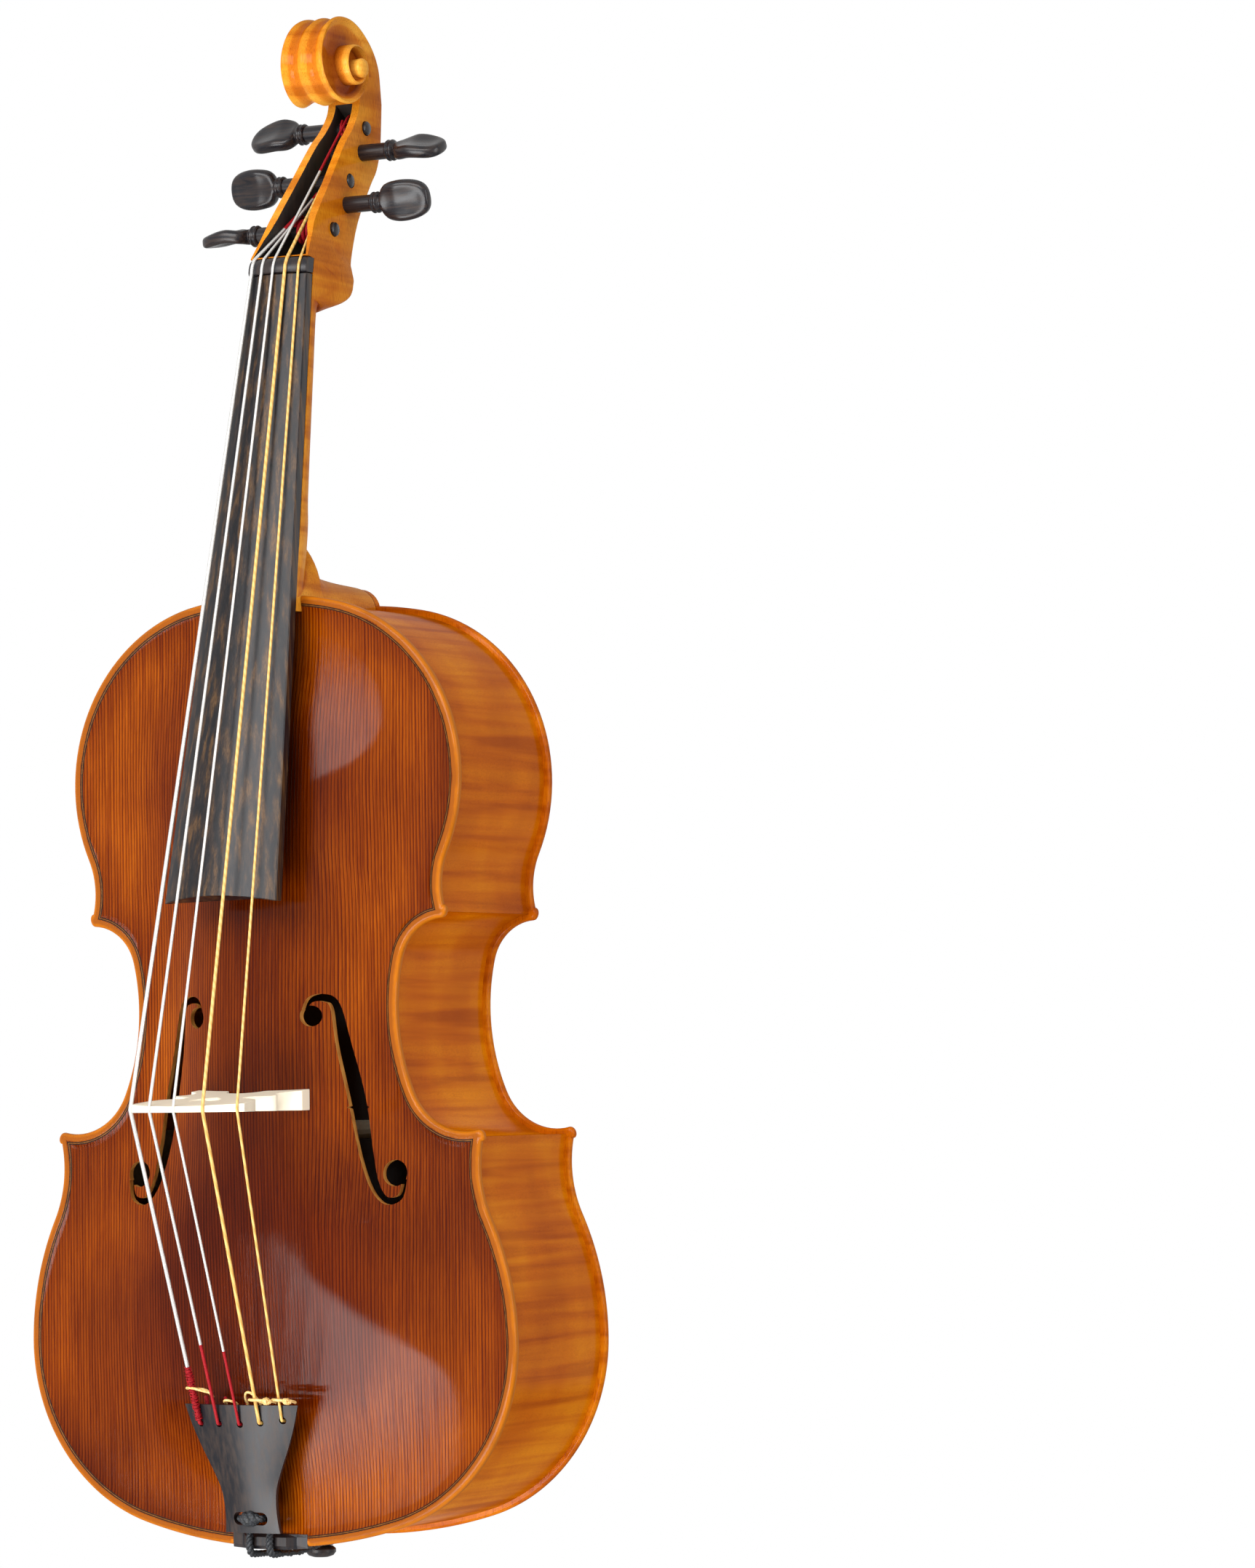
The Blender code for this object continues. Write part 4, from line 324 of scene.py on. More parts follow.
def ring_faces(count, rings, closed=True, start=0):
    """Faces between rings of the same count of points."""
    faces = []
    for i in range(rings - 1):
        a = start + i * count
        for j in range(count if closed else count - 1):
            k = (j + 1) % count
            faces.append((a + j, a + k, a + count + k, a + count + j))
    return faces


def loft(name, rings, capped=True, loop=False, weld=1e-6):
    count = len(rings[0])
    whole = [*rings, rings[0]] if loop else rings
    points = [point for ring in whole for point in ring]
    faces = ring_faces(count, len(whole))
    if capped and not loop:
        faces.append(tuple(range(count))[::-1])
        faces.append(tuple(range(len(points) - count, len(points))))
    return mesh_from(name, points, faces, weld)


def prism(name, outline, low_y, high_y):
    rings = [[(x, y, z) for x, z in outline] for y in (low_y, high_y)]
    return loft(name, rings)


def add_piece(name, data, material, body="instrument", place=BODY_PLACE):
    """A finished piece in the part's frame, riding on its body."""
    made = bpy.data.objects.new(name, data)
    bpy.context.scene.collection.objects.link(made)
    data.transform(Matrix.Translation(place))
    if material:
        data.materials.clear()
        data.materials.append(material)
    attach(made, body)
    return made


def cut(mesh, cutters, operation="DIFFERENCE"):
    """The mesh less (or with) solid cutters; a cutter's material stays on its walls."""
    base = bpy.data.objects.new("cut_base", mesh)
    bpy.context.scene.collection.objects.link(base)
    helpers = []
    for data in cutters:
        helper = bpy.data.objects.new("cut_tool", data)
        bpy.context.scene.collection.objects.link(helper)
        helpers.append(helper)
        modifier = base.modifiers.new("cut", "BOOLEAN")
        modifier.operation = operation
        modifier.solver = "EXACT"
        modifier.material_mode = "TRANSFER"
        modifier.object = helper
    bpy.context.view_layer.update()
    graph = bpy.context.evaluated_depsgraph_get()
    made = bpy.data.meshes.new_from_object(base.evaluated_get(graph))
    for item in (base, *helpers):
        bpy.data.objects.remove(item)
    return made


def soften(mesh, angle=35):
    mesh.shade_smooth()
    mesh.set_sharp_from_angle(angle=math.radians(angle))
    return mesh


def plate_mesh(name, thickness, turned):
    """A plate from half rings and their mirror image over the centre joint."""
    rings = plate_rings(thickness)
    count = len(rings[0])
    points, insets = [], []
    for side in (1, -1):
        for ring in rings:
            for x, y, z, inset in ring:
                points.append((side * x, PLATE_SPACING - y if turned else y, z))
                insets.append(inset)
    faces = ring_faces(count, len(rings), False)
    faces += ring_faces(count, len(rings), False, len(rings) * count)
    return mesh_from(name, points, faces, 5e-6, insets)


def curve_points(controls, steps):
    """Points of a smooth curve through the controls, each a tuple of any length."""
    points = []
    last = len(controls) - 1
    for i in range(last):
        near = (controls[max(i - 1, 0)], controls[i], controls[i + 1], controls[min(i + 2, last)])
        for step in range(steps):
            t = step / steps
            point = []
            for p, q, r, s in zip(*near):
                a, b = 2 * p - 5 * q + 4 * r - s, 3 * q - p - 3 * r + s
                point.append(0.5 * (2 * q + (r - p) * t + a * t**2 + b * t**3))
            points.append(tuple(point))
    points.append(tuple(controls[last]))
    return points


def band_outline(stations):
    """The outline of a band from stations (x, z, width) along its middle."""
    left, right = [], []
    for i, (x, z, width) in enumerate(stations):
        a, b = stations[max(i - 1, 0)], stations[min(i + 1, len(stations) - 1)]
        run = Vector((b[0] - a[0], b[1] - a[1])).normalized()
        left.append((x - run.y * width / 2, z + run.x * width / 2))
        right.append((x + run.y * width / 2, z - run.x * width / 2))
    return left + right[::-1]


def sound_hole_outlines():
    """The right sound hole: its stem, its two eyes and the notches at its middle."""
    ux, uz = UPPER_EYE
    lx, lz = LOWER_EYE
    u, v, curl, stem = UPPER_EYE_R, LOWER_EYE_R, CURL_WIDTH, STEM_WIDTH
    controls = [
        (ux - 0.6 * u, uz + 0.55 * u, 0.8 * curl),
        (ux - 0.1 * u, uz + 1.50 * u, curl),
        (ux + 1.0 * u, uz + 1.72 * u, 1.2 * curl),
        (ux + 2.1 * u, uz + 0.95 * u, 0.55 * stem),
        (blend(ux, lx, 0.36), blend(uz, lz, 0.20), 0.85 * stem),
        (blend(ux, lx, 0.50), blend(uz, lz, 0.53), stem),
        (blend(ux, lx, 0.61), blend(uz, lz, 0.84), 0.85 * stem),
        (lx - 1.70 * v, lz - 0.75 * v, 0.6 * stem),
        (lx - 0.70 * v, lz - 2.05 * v, 1.2 * curl),
        (lx + 0.45 * v, lz - 1.80 * v, curl),
        (lx + 0.80 * v, lz - 0.45 * v, 0.8 * curl),
    ]
    stations = curve_points(controls, 7)
    middle = min(stations, key=lambda s: abs(s[1] - NOTCH_Z))
    reach = middle[2] / 2 + NOTCH_DEEP
    notch = [
        (middle[0] - reach, NOTCH_Z),
        (middle[0], NOTCH_Z + NOTCH_HALF * 3),
        (middle[0] + reach, NOTCH_Z),
        (middle[0], NOTCH_Z - NOTCH_HALF * 3),
    ]
    outlines = [band_outline(stations), notch]
    for centre, radius in ((UPPER_EYE, u), (LOWER_EYE, v)):
        turns = spread(0.0, math.tau, 40)[:-1]
        outlines.append([on_circle(centre, radius, turn) for turn in turns])
    return outlines


def sound_hole_cutters(material):
    cutters = []
    for side in (1, -1):
        for outline in sound_hole_outlines():
            data = prism("sound_hole", [(side * x, z) for x, z in outline], -0.03, 0.01)
            data.materials.append(material)
            cutters.append(data)
    return cutters


def point_at(points, place):
    i = min(int(place), len(points) - 2)
    return tuple(blend(p, q, place - i) for p, q in zip(points[i], points[i + 1]))


def place_at_x(points, x, indices):
    """Where a broken line first passes x, walking through the indices."""
    for i, k in zip(indices, indices[1:]):
        a, b = points[i][0], points[k][0]
        if (a - x) * (b - x) <= 0 and a != b:
            return i + (k - i) * (x - a) / (b - a)
    raise ValueError("the outline does not reach that far")


def place_at_length(points, start, length, step):
    """The place a length away from the index start, upwards (1) or downwards (-1)."""
    i = start
    while True:
        run = math.dist(points[i], points[i + step])
        if run >= length:
            return i + step * length / run
        length -= run
        i += step


def stretch(points, start, end):
    """The part of a broken line between two places."""
    inner = [i for i in range(len(points)) if start + 1e-6 < i < end - 1e-6]
    return [point_at(points, place) for place in (start, *inner, end)]


# Neck, pegbox and scroll, as seen from the side
NECK_LENGTH, NUT_Y, BOARD_SLOPE, BOARD_SIDE = 0.157, 0.017, 0.1906, 0.0055
BOARD_NUT_HALF, BOARD_END_HALF, BOARD_LENGTH = 0.0164, 0.0310, 0.3054
NUT_Z = BODY_LENGTH + NECK_LENGTH
SEAT_OFFSET = BOARD_SIDE / math.cos(math.atan(BOARD_SLOPE))
HEEL_BACK = PLATE_SPACING - EDGE_THICK / 2 - GAP
MORTISE_DEEP = 0.009
NECK_DEPTHS = ((0.166, 0.0255), (0.128, 0.0235), (0.110, 0.0208), (0.078, 0.0190), (0.050, 0.0178))
FLUTE_DEEP, RIM_EDGE = 0.0023, 0.0012
CHEEK_THICK, CAVITY_FLOOR, CAVITY_MOUTH = 0.0042, 0.0065, 0.0013
EYE_Y, EYE_Z, EYE_HALF, EYE_R = 0.0415, 0.1053, 0.0226, 0.0048
HEAD_STATIONS = (
    (-0.0030, -0.0170, 0.0135, -0.0195, 0.0170, 0.0170, 0.0),
    (-0.0018, -0.0110, 0.0190, -0.0178, 0.0168, 0.0172, 0.2),
    (-0.0008, -0.0050, 0.0275, -0.0152, 0.0166, 0.0172, 0.6),
    (0.0002, 0.0005, 0.0345, -0.0098, 0.0165, 0.0172, 0.9),
    (0.0014, 0.0074, 0.0370, -0.0045, 0.0165, 0.0170, 1.0),
    (-0.0046, 0.0083, 0.0381, 0.0000, 0.0163, 0.0170, 1.0),
    (0.0030, 0.0200, 0.0385, 0.0050, 0.0143, 0.0158, 1.0),
    (0.0085, 0.0288, 0.0400, 0.0105, 0.0131, 0.0144, 1.0),
    (0.0242, 0.0478, 0.0490, 0.0300, 0.0117, 0.0130, 1.0),
    (0.0408, 0.0682, 0.0640, 0.0500, 0.0102, 0.0114, 1.0),
    (0.0490, 0.0762, 0.0716, 0.0590, 0.0096, 0.0107, 1.0),
    (0.0556, 0.0847, 0.0764, 0.0700, 0.0091, 0.0100, 1.0),
    (0.0580, 0.0915, 0.0786, 0.0810, 0.0090, 0.0094, 1.0),
    (0.0578, 0.0985, 0.0799, 0.0930, 0.0090, 0.0091, 1.0),
)
CAVITY_END = (0.0577, 0.0915, 0.0789, 0.0790, 0.0090)
SPIRAL_RADII = (
    0.0370, 0.0300, 0.0266, 0.0256, 0.0242, 0.0203, 0.0169, 0.0149, 0.0143,
    0.0133, 0.0121, 0.0113, 0.0105, 0.0093, 0.0080, 0.0068, 0.0054,
)
SPIRAL_HALF_WIDTHS = (0.0090, 0.0100, 0.0120, 0.0143, 0.0163, 0.0176, 0.0187, 0.0196, 0.0202)
VOLUTE_STEPS = 96
HEEL_TOPS = (
    (-0.0062, 0.0015), (0.0080, 0.0150), (0.0160, 0.0230), (0.0218, 0.0290), (0.0240, 0.0215),
    (0.0300, 0.0150), (0.0370, 0.0120), (0.0580, 0.0100), (0.0810, BUTTON_RISE + 0.0006),
    (HEEL_BACK, BUTTON_RISE),
)

# Pegs: axis (y, z) from the nut's seat, the side of the head, its turn and its string
PEGS = (
    ("bass_1", 0.0629, 0.0792, -1, 48.0, 2),
    ("treble_1", 0.0574, 0.0662, 1, 28.0, 3),
    ("bass_2", 0.0443, 0.0507, -1, 100.0, 4),
    ("treble_2", 0.0389, 0.0380, 1, 108.0, 1),
    ("bass_3", 0.0248, 0.0243, -1, 8.0, 0),
)
PEG_TAIL_R, PEG_COLLAR_R, PEG_SHOW, PEG_TAIL_SHOW = 0.0034, 0.0041, 0.0150, 0.0015


def arris_y(z):
    """Height of the fingerboard's long edge."""
    return NUT_Y - BOARD_SLOPE * (NUT_Z - z)


def seat_y(z):
    return arris_y(z) + SEAT_OFFSET


def board_half(z):
    return blend(BOARD_NUT_HALF, BOARD_END_HALF, (NUT_Z - z) / BOARD_LENGTH)


def head_place(y, z):
    """A point given from the nut's seat, in body coordinates."""
    return (seat_y(NUT_Z) + y, NUT_Z + z)


FLUTE_SHARES = [i / 8 for i in range(9)]
SECTION_TURNS = [55 * share for share in FLUTE_SHARES] + [66, 78, 82, 86, 90]


def section_ring(front, back, front_half, back_half, square):
    """A ring across the neck or head: ridge, flute, rim, side and front, both ways."""
    deep = math.dist(front, back)
    rim = back_half - RIM_EDGE
    boxy = []
    for share in FLUTE_SHARES:
        hollow = FLUTE_DEEP * math.sin(math.pi * min(share, 1.0)) ** 1.3
        boxy.append((1 - hollow / deep, rim * share))
    boxy.append((1 - 0.3 * RIM_EDGE / deep, back_half - 0.3 * RIM_EDGE))
    start = 1 - RIM_EDGE / deep
    boxy.append((start, back_half))
    for share in (0.35, 0.7, 1.0):
        boxy.append((start * (1 - share), blend(back_half, front_half, share)))
    half = []
    for (boxy_t, boxy_x), turn in zip(boxy, SECTION_TURNS):
        angle = math.radians(turn)
        t = blend(math.cos(angle), boxy_t, square)
        x = blend(front_half * math.sin(angle), boxy_x, square)
        half.append((x, blend(front[0], back[0], t), blend(front[1], back[1], t)))
    half += [(front_half / 2, *front), (0.0, *front)]
    return half


def mirrored_ring(half):
    return half + [(-x, y, z) for x, y, z in reversed(half[1:-1])]


def neck_rings():
    stations = []
    for below, deep in NECK_DEPTHS:
        z = NUT_Z - below
        half = min(board_half(z), HEEL_ROOT_HALF)
        stations.append((seat_y(z), z, seat_y(z) + deep, z, half, half, 0.0))
    for fy, fz, by, bz, front_half, back_half, square in HEAD_STATIONS:
        stations.append((*head_place(fy, fz), *head_place(by, bz), front_half, back_half, square))
    rings, backs = [], curve_points(stations, 4)
    for first, part in ((0, stations[:10]), (40, stations[10:])):
        for i, row in enumerate(curve_points(part, 4)):
            share = min(max(row[6], 0.0), 1.0)
            rings.append(section_ring(row[:2], backs[first + i][2:4], row[4], row[5], share))
    return rings


def along(values, place):
    """A value read smoothly from a list at an index with a fraction."""
    i = min(int(place), len(values) - 2)
    t = place - i
    near = [values[min(max(k, 0), len(values) - 1)] for k in range(i - 1, i + 3)]
    p, q, r, s = near
    a, b = 2 * p - 5 * q + 4 * r - s, 3 * q - p - 3 * r + s
    return 0.5 * (2 * q + (r - p) * t + a * t**2 + b * t**3)


def volute_profile(turn):
    """Half the section of the volute as (radius, x), from its ridge to the eye."""
    profile = []
    fade = min(1.0, (1 - turn) * 6)
    for level in range(2):
        passed = turn + level
        radius, half = along(SPIRAL_RADII, passed * 8), along(SPIRAL_HALF_WIDTHS, passed * 4)
        inner = along(SPIRAL_RADII, (passed + 1) * 8) if level == 0 else EYE_R - 0.0010
        if level == 0:
            for share in FLUTE_SHARES:
                hollow = fade * FLUTE_DEEP * math.sin(math.pi * share) ** 1.3
                profile.append((radius - hollow, (half - RIM_EDGE) * share))
        else:
            before = along(SPIRAL_HALF_WIDTHS, turn * 4)
            profile.append((radius, blend(before, half - RIM_EDGE, 0.5)))
            profile.append((radius, half - RIM_EDGE))
        rim = radius - 0.8 * RIM_EDGE
        profile.append((radius - 0.25 * RIM_EDGE, half - 0.3 * RIM_EDGE))
        profile.append((rim, half))
        near = min(max((passed - 0.6) / 0.4, 0.0), 1.0)
        shallow = min(1.0, passed * 5) * min(0.0026, 0.3 * (rim - inner))
        deep = min(0.0050, 0.9 * max(rim - EYE_R, 0.0))
        coves = (((0.3, 0.9), (0.0006, 0.35)), ((0.7, 1.0), (0.0016, 1.0)), ((1.0, 0.35), (1, 1.0)))
        for (share, depth), (width, sink) in coves:
            outer = max(rim - width, inner)
            reach = blend(blend(rim, inner, share), outer, near)
            profile.append((reach, half - blend(shallow * depth, deep * sink, near)))
    return profile


def volute_mesh():
    """The scroll beyond the pegbox, open where it joins it, with a round stub for its eye."""
    centre = head_place(EYE_Y, EYE_Z)
    points, faces = [], []
    count = 0
    for side in (1, -1):
        base = len(points)
        for i in range(VOLUTE_STEPS + 1):
            angle = math.tau * i / VOLUTE_STEPS
            profile = volute_profile(i / VOLUTE_STEPS)
            count = len(profile)
            for radius, x in profile:
                y, z = on_circle(centre, radius, angle)
                points.append((side * x, y, z))
        faces += ring_faces(count, VOLUTE_STEPS + 1, False, base)
    stub = [(0.92 * EYE_R, 0.012), (0.94 * EYE_R, 0.018), (EYE_R, 0.0200), (0.97 * EYE_R, 0.0210)]
    stub += [(0.84 * EYE_R, 0.0218), (0.62 * EYE_R, 0.0223), (0.3 * EYE_R, 0.02255), (0.0, EYE_HALF)]
    for side in (1, -1):
        base = len(points)
        for radius, x in stub:
            for angle in spread(0.0, math.tau, 40)[:-1]:
                y, z = on_circle(centre, radius, angle)
                points.append((side * x, y, z))
        faces += ring_faces(40, len(stub), True, base)
    return mesh_from("volute", points, faces, 2e-6)


def join_ring():
    """The neck's last ring, at the section where the spiral begins."""
    centre = head_place(EYE_Y, EYE_Z)
    half = [(x, centre[0] + radius, centre[1]) for radius, x in volute_profile(0.0)[:14]]
    front = half[-1]
    return half + [(front[0] / 2, *front[1:]), (0.0, *front[1:])]


def heel_half(y):
    return blend(HEEL_ROOT_HALF, BUTTON_HALF, min(max(y / HEEL_BACK, 0.0), 1.0))


def heel_mesh():
    low_z = BODY_LENGTH - MORTISE_DEEP
    shoulder = BODY_LENGTH - 0.003
    rings = []
    for y, above in curve_points(HEEL_TOPS, 4):
        half, rise = heel_half(y), BODY_LENGTH + above - shoulder
        outline = [(half, low_z)]
        for turn in spread(0.0, math.pi, 24):
            outline.append((half * math.cos(turn), shoulder + rise * math.sin(turn)))
        outline.append((-half, low_z))
        rings.append([(x, y, z) for x, z in outline])
    return loft("heel", rings)


def mortise_mesh():
    """The room that the heel takes in the top plate."""
    rings = []
    for y in (-0.030, 0.0, 0.012):
        half = heel_half(y) + GAP / 3
        low, high = BODY_LENGTH - MORTISE_DEEP - GAP, BODY_LENGTH + MORTISE_DEEP
        rings.append([(-half, y, low), (half, y, low), (half, y, high), (-half, y, high)])
    return loft("mortise", rings)


def cavity_mesh():
    """The pegbox's hollow, open in front, from the nut to under the volute."""
    stations = [s[:5] for s in HEAD_STATIONS[6:12]] + [CAVITY_END]
    stations = curve_points(stations, 4)
    rings = []
    for i, (fy, fz, by, bz, front_half) in enumerate([HEAD_STATIONS[5][:5], *stations]):
        front, back = head_place(fy, fz), head_place(by, bz)
        deep = math.dist(front, back)
        half = front_half - (CAVITY_MOUTH if i == 0 else CHEEK_THICK)
        if 0 < i < 5:
            half += 0.4 * CHEEK_THICK * (5 - i) / 4
        floor = 0.55 if i == 0 else 1 - CAVITY_FLOOR / deep
        open_t = -(0.015 if i == 0 else 0.0025) / deep
        ring = []
        for t, x in ((open_t, half), (0.3, half), (0.9 * floor, 0.95 * half), (floor, 0.8 * half)):
            y, z = blend(front[0], back[0], t), blend(front[1], back[1], t)
            ring.append((x, y, z + (0.0006 if i == 0 else 0.0)))
        rings.append(ring + [(-x, y, z) for x, y, z in reversed(ring)])
    return loft("pegbox_cavity", rings)


def peg_frame(index):
    """Name, axis (y, z), side of the head and half width of the head at a peg."""
    name, y, z, side = PEGS[index][:4]

    def away(station):
        return math.dist((station[0] + station[2], station[1] + station[3]), (2 * y, 2 * z))

    nearest = min(HEAD_STATIONS[5:], key=away)
    return name, head_place(y, z), side, (nearest[4] + nearest[5]) / 2


def turned(name, profile, steps):
    """A mesh turned about X from a profile (radius, x) that starts and ends on the axis."""
    rings = []
    for radius, x in profile:
        turns = spread(0.0, math.tau, steps)[:-1]
        rings.append([(x, radius * math.cos(t), radius * math.sin(t)) for t in turns])
    return loft(name, rings, False)


def peg_hole(index):
    name, axis, side, half = peg_frame(index)
    length = 2 * half + PEG_TAIL_SHOW + PEG_SHOW
    ends = []
    for way in (-1, 1):
        share = (half + PEG_TAIL_SHOW + way * length / 2) / length
        radius = blend(PEG_TAIL_R, PEG_COLLAR_R, min(max(share, 0.0), 1.0)) + GAP / 2
        ends.append((radius, way * side * length / 2))
    profile = ((0.0, ends[0][1]), *ends, (0.0, ends[1][1]))
    mesh = turned(name, profile, 40)
    mesh.transform(Matrix.Translation((0.0, *axis)))
    return mesh


def head_mesh(maple, inside):
    """Neck, heel, pegbox and scroll in one surface; inside is the cavity's material."""
    rings = [mirrored_ring(half) for half in [*neck_rings(), join_ring()]]
    neck, heel = loft("neck", rings, weld=1e-7), heel_mesh()
    for mesh in (neck, heel):
        mesh.materials.append(maple)
    neck = cut(neck, [heel], "UNION")
    hollows = [cavity_mesh(), *(peg_hole(i) for i in range(len(PEGS)))]
    for mesh in hollows:
        mesh.materials.append(inside)
    neck = cut(neck, hollows)
    level = head_place(EYE_Y, EYE_Z)[1]
    shape = bmesh.new()
    shape.from_mesh(neck)
    caps = [f for f in shape.faces if all(abs(v.co.z - level) < 1e-6 for v in f.verts)]
    bmesh.ops.delete(shape, geom=caps, context="FACES_ONLY")
    shape.from_mesh(volute_mesh())
    bmesh.ops.remove_doubles(shape, verts=shape.verts, dist=5e-6)
    shape.to_mesh(neck)
    shape.free()
    return neck


# Strings, from the bass side, and what they run over
STRING_R = (0.00100, 0.00080, 0.00070, 0.00085, 0.00065)
STRING_SHIFT, NUT_SPREAD, BRIDGE_SPREAD = -0.0003, 0.0066, 0.0148
BOARD_RISE_NUT, BOARD_RISE_END, BOARD_END_ARC = 0.0034, 0.0090, 0.003
NUT_THICK, NUT_TOP = 0.0076, 0.0010
BRIDGE_Z, BRIDGE_CROWN_Y, BRIDGE_DROP = 0.2093, -0.0836, 0.0090
BRIDGE_TOP_THICK, BRIDGE_FOOT_THICK, BRIDGE_HALF = 0.0028, 0.0098, 0.0320
FOOT_OUTER, FOOT_INNER = 0.0310, 0.0115
BRIDGE_SIDE = (
    (0.0310, -0.0195), (0.0262, -0.0235), (0.0232, -0.0290), (0.0246, -0.0345),
    (0.0283, -0.0375), (0.0268, -0.0410), (0.0222, -0.0418), (0.0170, -0.0440),
    (0.0158, -0.0475), (0.0180, -0.0510), (0.0232, -0.0520), (0.0272, -0.0550),
    (0.0296, -0.0610), (0.0306, -0.0670),
)
BRIDGE_ARCH = ((0.0100, -0.0190), (0.0085, -0.0235), (0.0050, -0.0275), (0.0, -0.0288))
HEART = (
    (0.0, -0.0560), (0.0028, -0.0590), (0.0060, -0.0605), (0.0078, -0.0575),
    (0.0070, -0.0535), (0.0040, -0.0495), (0.0, -0.0455),
)
TAIL_SHIFT = -0.0025
TAIL_STATIONS = (
    (0.0076, 0.0152), (0.0120, 0.0146), (0.0200, 0.0143), (0.0290, 0.0155),
    (0.0390, 0.0196), (0.0490, 0.0243), (0.0590, 0.0283), (0.0689, 0.0314),
)
TAIL_LOW_Y, TAIL_HIGH_Y, TAIL_DROP_LOW, TAIL_DROP_HIGH = -0.0147, -0.0288, 0.0010, 0.0056
TAIL_EDGE_THICK, TAIL_THICK = 0.0030, 0.0055
TAIL_HOLES = (
    (-0.0246, 0.0599), (-0.0131, 0.0599), (-0.0011, 0.0598), (0.0098, 0.0606), (0.0210, 0.0617),
)
TAIL_HOLE_R, SLOT_Z, SLOT_HALF, SLOT_TALL = 0.0017, 0.0145, 0.0094, 0.0062
TAILGUT_R, TAILGUT_HALF = 0.00175, 0.0056
SADDLE_LOW_Z, SADDLE_RISE = -0.001, 0.0036
BUTTON_PROFILE = (
    (0.0036, 0.0190), (0.0040, 0.0184), (0.0040, 0.0027), (0.0055, 0.0026), (0.0055, 0.0016),
    (0.0032, 0.0014), (0.0032, -0.0024), (0.0058, -0.0027), (0.0073, -0.0040),
    (0.0073, -0.0056), (0.0060, -0.0072), (0.0036, -0.0080),
)
PEG_HEAD = (
    (0.0000, 0.0047, 0.0047, 0.0), (0.0009, 0.0053, 0.0053, 0.0), (0.0017, 0.0047, 0.0047, 0.0),
    (0.0023, 0.0049, 0.0049, 0.0), (0.0032, 0.0053, 0.0053, 0.0), (0.0042, 0.0046, 0.0046, 0.0),
    (0.0050, 0.0040, 0.0038, 0.0), (0.0064, 0.0066, 0.0038, 0.0), (0.0090, 0.0088, 0.0042, 0.0008),
    (0.0135, 0.0099, 0.0044, 0.0016), (0.0190, 0.0101, 0.0043, 0.0019),
    (0.0245, 0.0092, 0.0040, 0.0014), (0.0285, 0.0073, 0.0034, 0.0005),
    (0.0306, 0.0046, 0.0024, 0.0), (0.0312, 0.0018, 0.0010, 0.0),
)
WIND_STARTS = (-0.0058, -0.0020, 0.0018, 0.0035, 0.0045)
WIND_WAYS, WIND_TURNS, WIND_SPACE = (1, 1, -1, -1, -1), (3, 2, 2, 2, 2), 0.0005
SILK_ENDS = (0.087, 0.098, 0.095)  # how far up the silk covers the three wound strings
SILK_SHARES = (0.75, 0.93, 0.62, 0.5, 0.5)  # and where it starts between nut and peg


def string_x(index, spread_by):
    return STRING_SHIFT + (index - 2) * spread_by


def bridge_crown(x):
    return BRIDGE_CROWN_Y + BRIDGE_DROP * (x / (2 * BRIDGE_SPREAD)) ** 2


def nut_crown(x):
    rise = BOARD_RISE_NUT + NUT_TOP
    return arris_y(NUT_Z) - rise * (1 - (x / (BOARD_NUT_HALF * 1.14)) ** 2)


TAIL_CURVE = curve_points(TAIL_STATIONS, 6)


def tail_half(z):
    for (low, a), (high, b) in zip(TAIL_CURVE, TAIL_CURVE[1:]):
        if z <= high:
            return blend(a, b, (z - low) / (high - low))
    return TAIL_CURVE[-1][1]


def tail_share(z):
    return (z - TAIL_STATIONS[0][0]) / (TAIL_STATIONS[-1][0] - TAIL_STATIONS[0][0])


def tail_front(x, z):
    """Height of the tailpiece's arched front."""
    share = tail_share(z)
    drop = blend(TAIL_DROP_LOW, TAIL_DROP_HIGH, share) * ((x - TAIL_SHIFT) / tail_half(z)) ** 2
    return blend(TAIL_LOW_Y, TAIL_HIGH_Y, share) + drop


def tail_under(x, z):
    """Height of the tailpiece's hollowed underside."""
    share = ((x - TAIL_SHIFT) / tail_half(z)) ** 2
    return tail_front(x, z) + blend(TAIL_THICK, TAIL_EDGE_THICK, share)


def tailpiece_mesh():
    rings = []
    for z, half in TAIL_CURVE:
        across = spread(-1.0, 1.0, 28)
        xs = [TAIL_SHIFT + share * half for share in across]
        ring = [(x, tail_front(x, z), z) for x in xs]
        inner = [TAIL_SHIFT + share * 0.96 * half for share in reversed(across)]
        rings.append(ring + [(x, tail_under(x, z), z) for x in inner])
    mesh = loft("tailpiece", rings)
    cutters = []
    for place in TAIL_HOLES:
        turns = spread(0.0, math.tau, 28)[:-1]
        hole = [on_circle(place, TAIL_HOLE_R, turn) for turn in turns]
        cutters.append(prism("string_hole", hole, -0.05, 0.0))
    slot = []
    for side in (1, -1):
        centre = (TAIL_SHIFT + side * (SLOT_HALF - SLOT_TALL / 2), SLOT_Z)
        start = -side * math.pi / 2
        slot += [on_circle(centre, SLOT_TALL / 2, a) for a in spread(start, start + math.pi, 16)]
    cutters.append(prism("slot", slot, -0.05, 0.0))
    return cut(mesh, cutters)


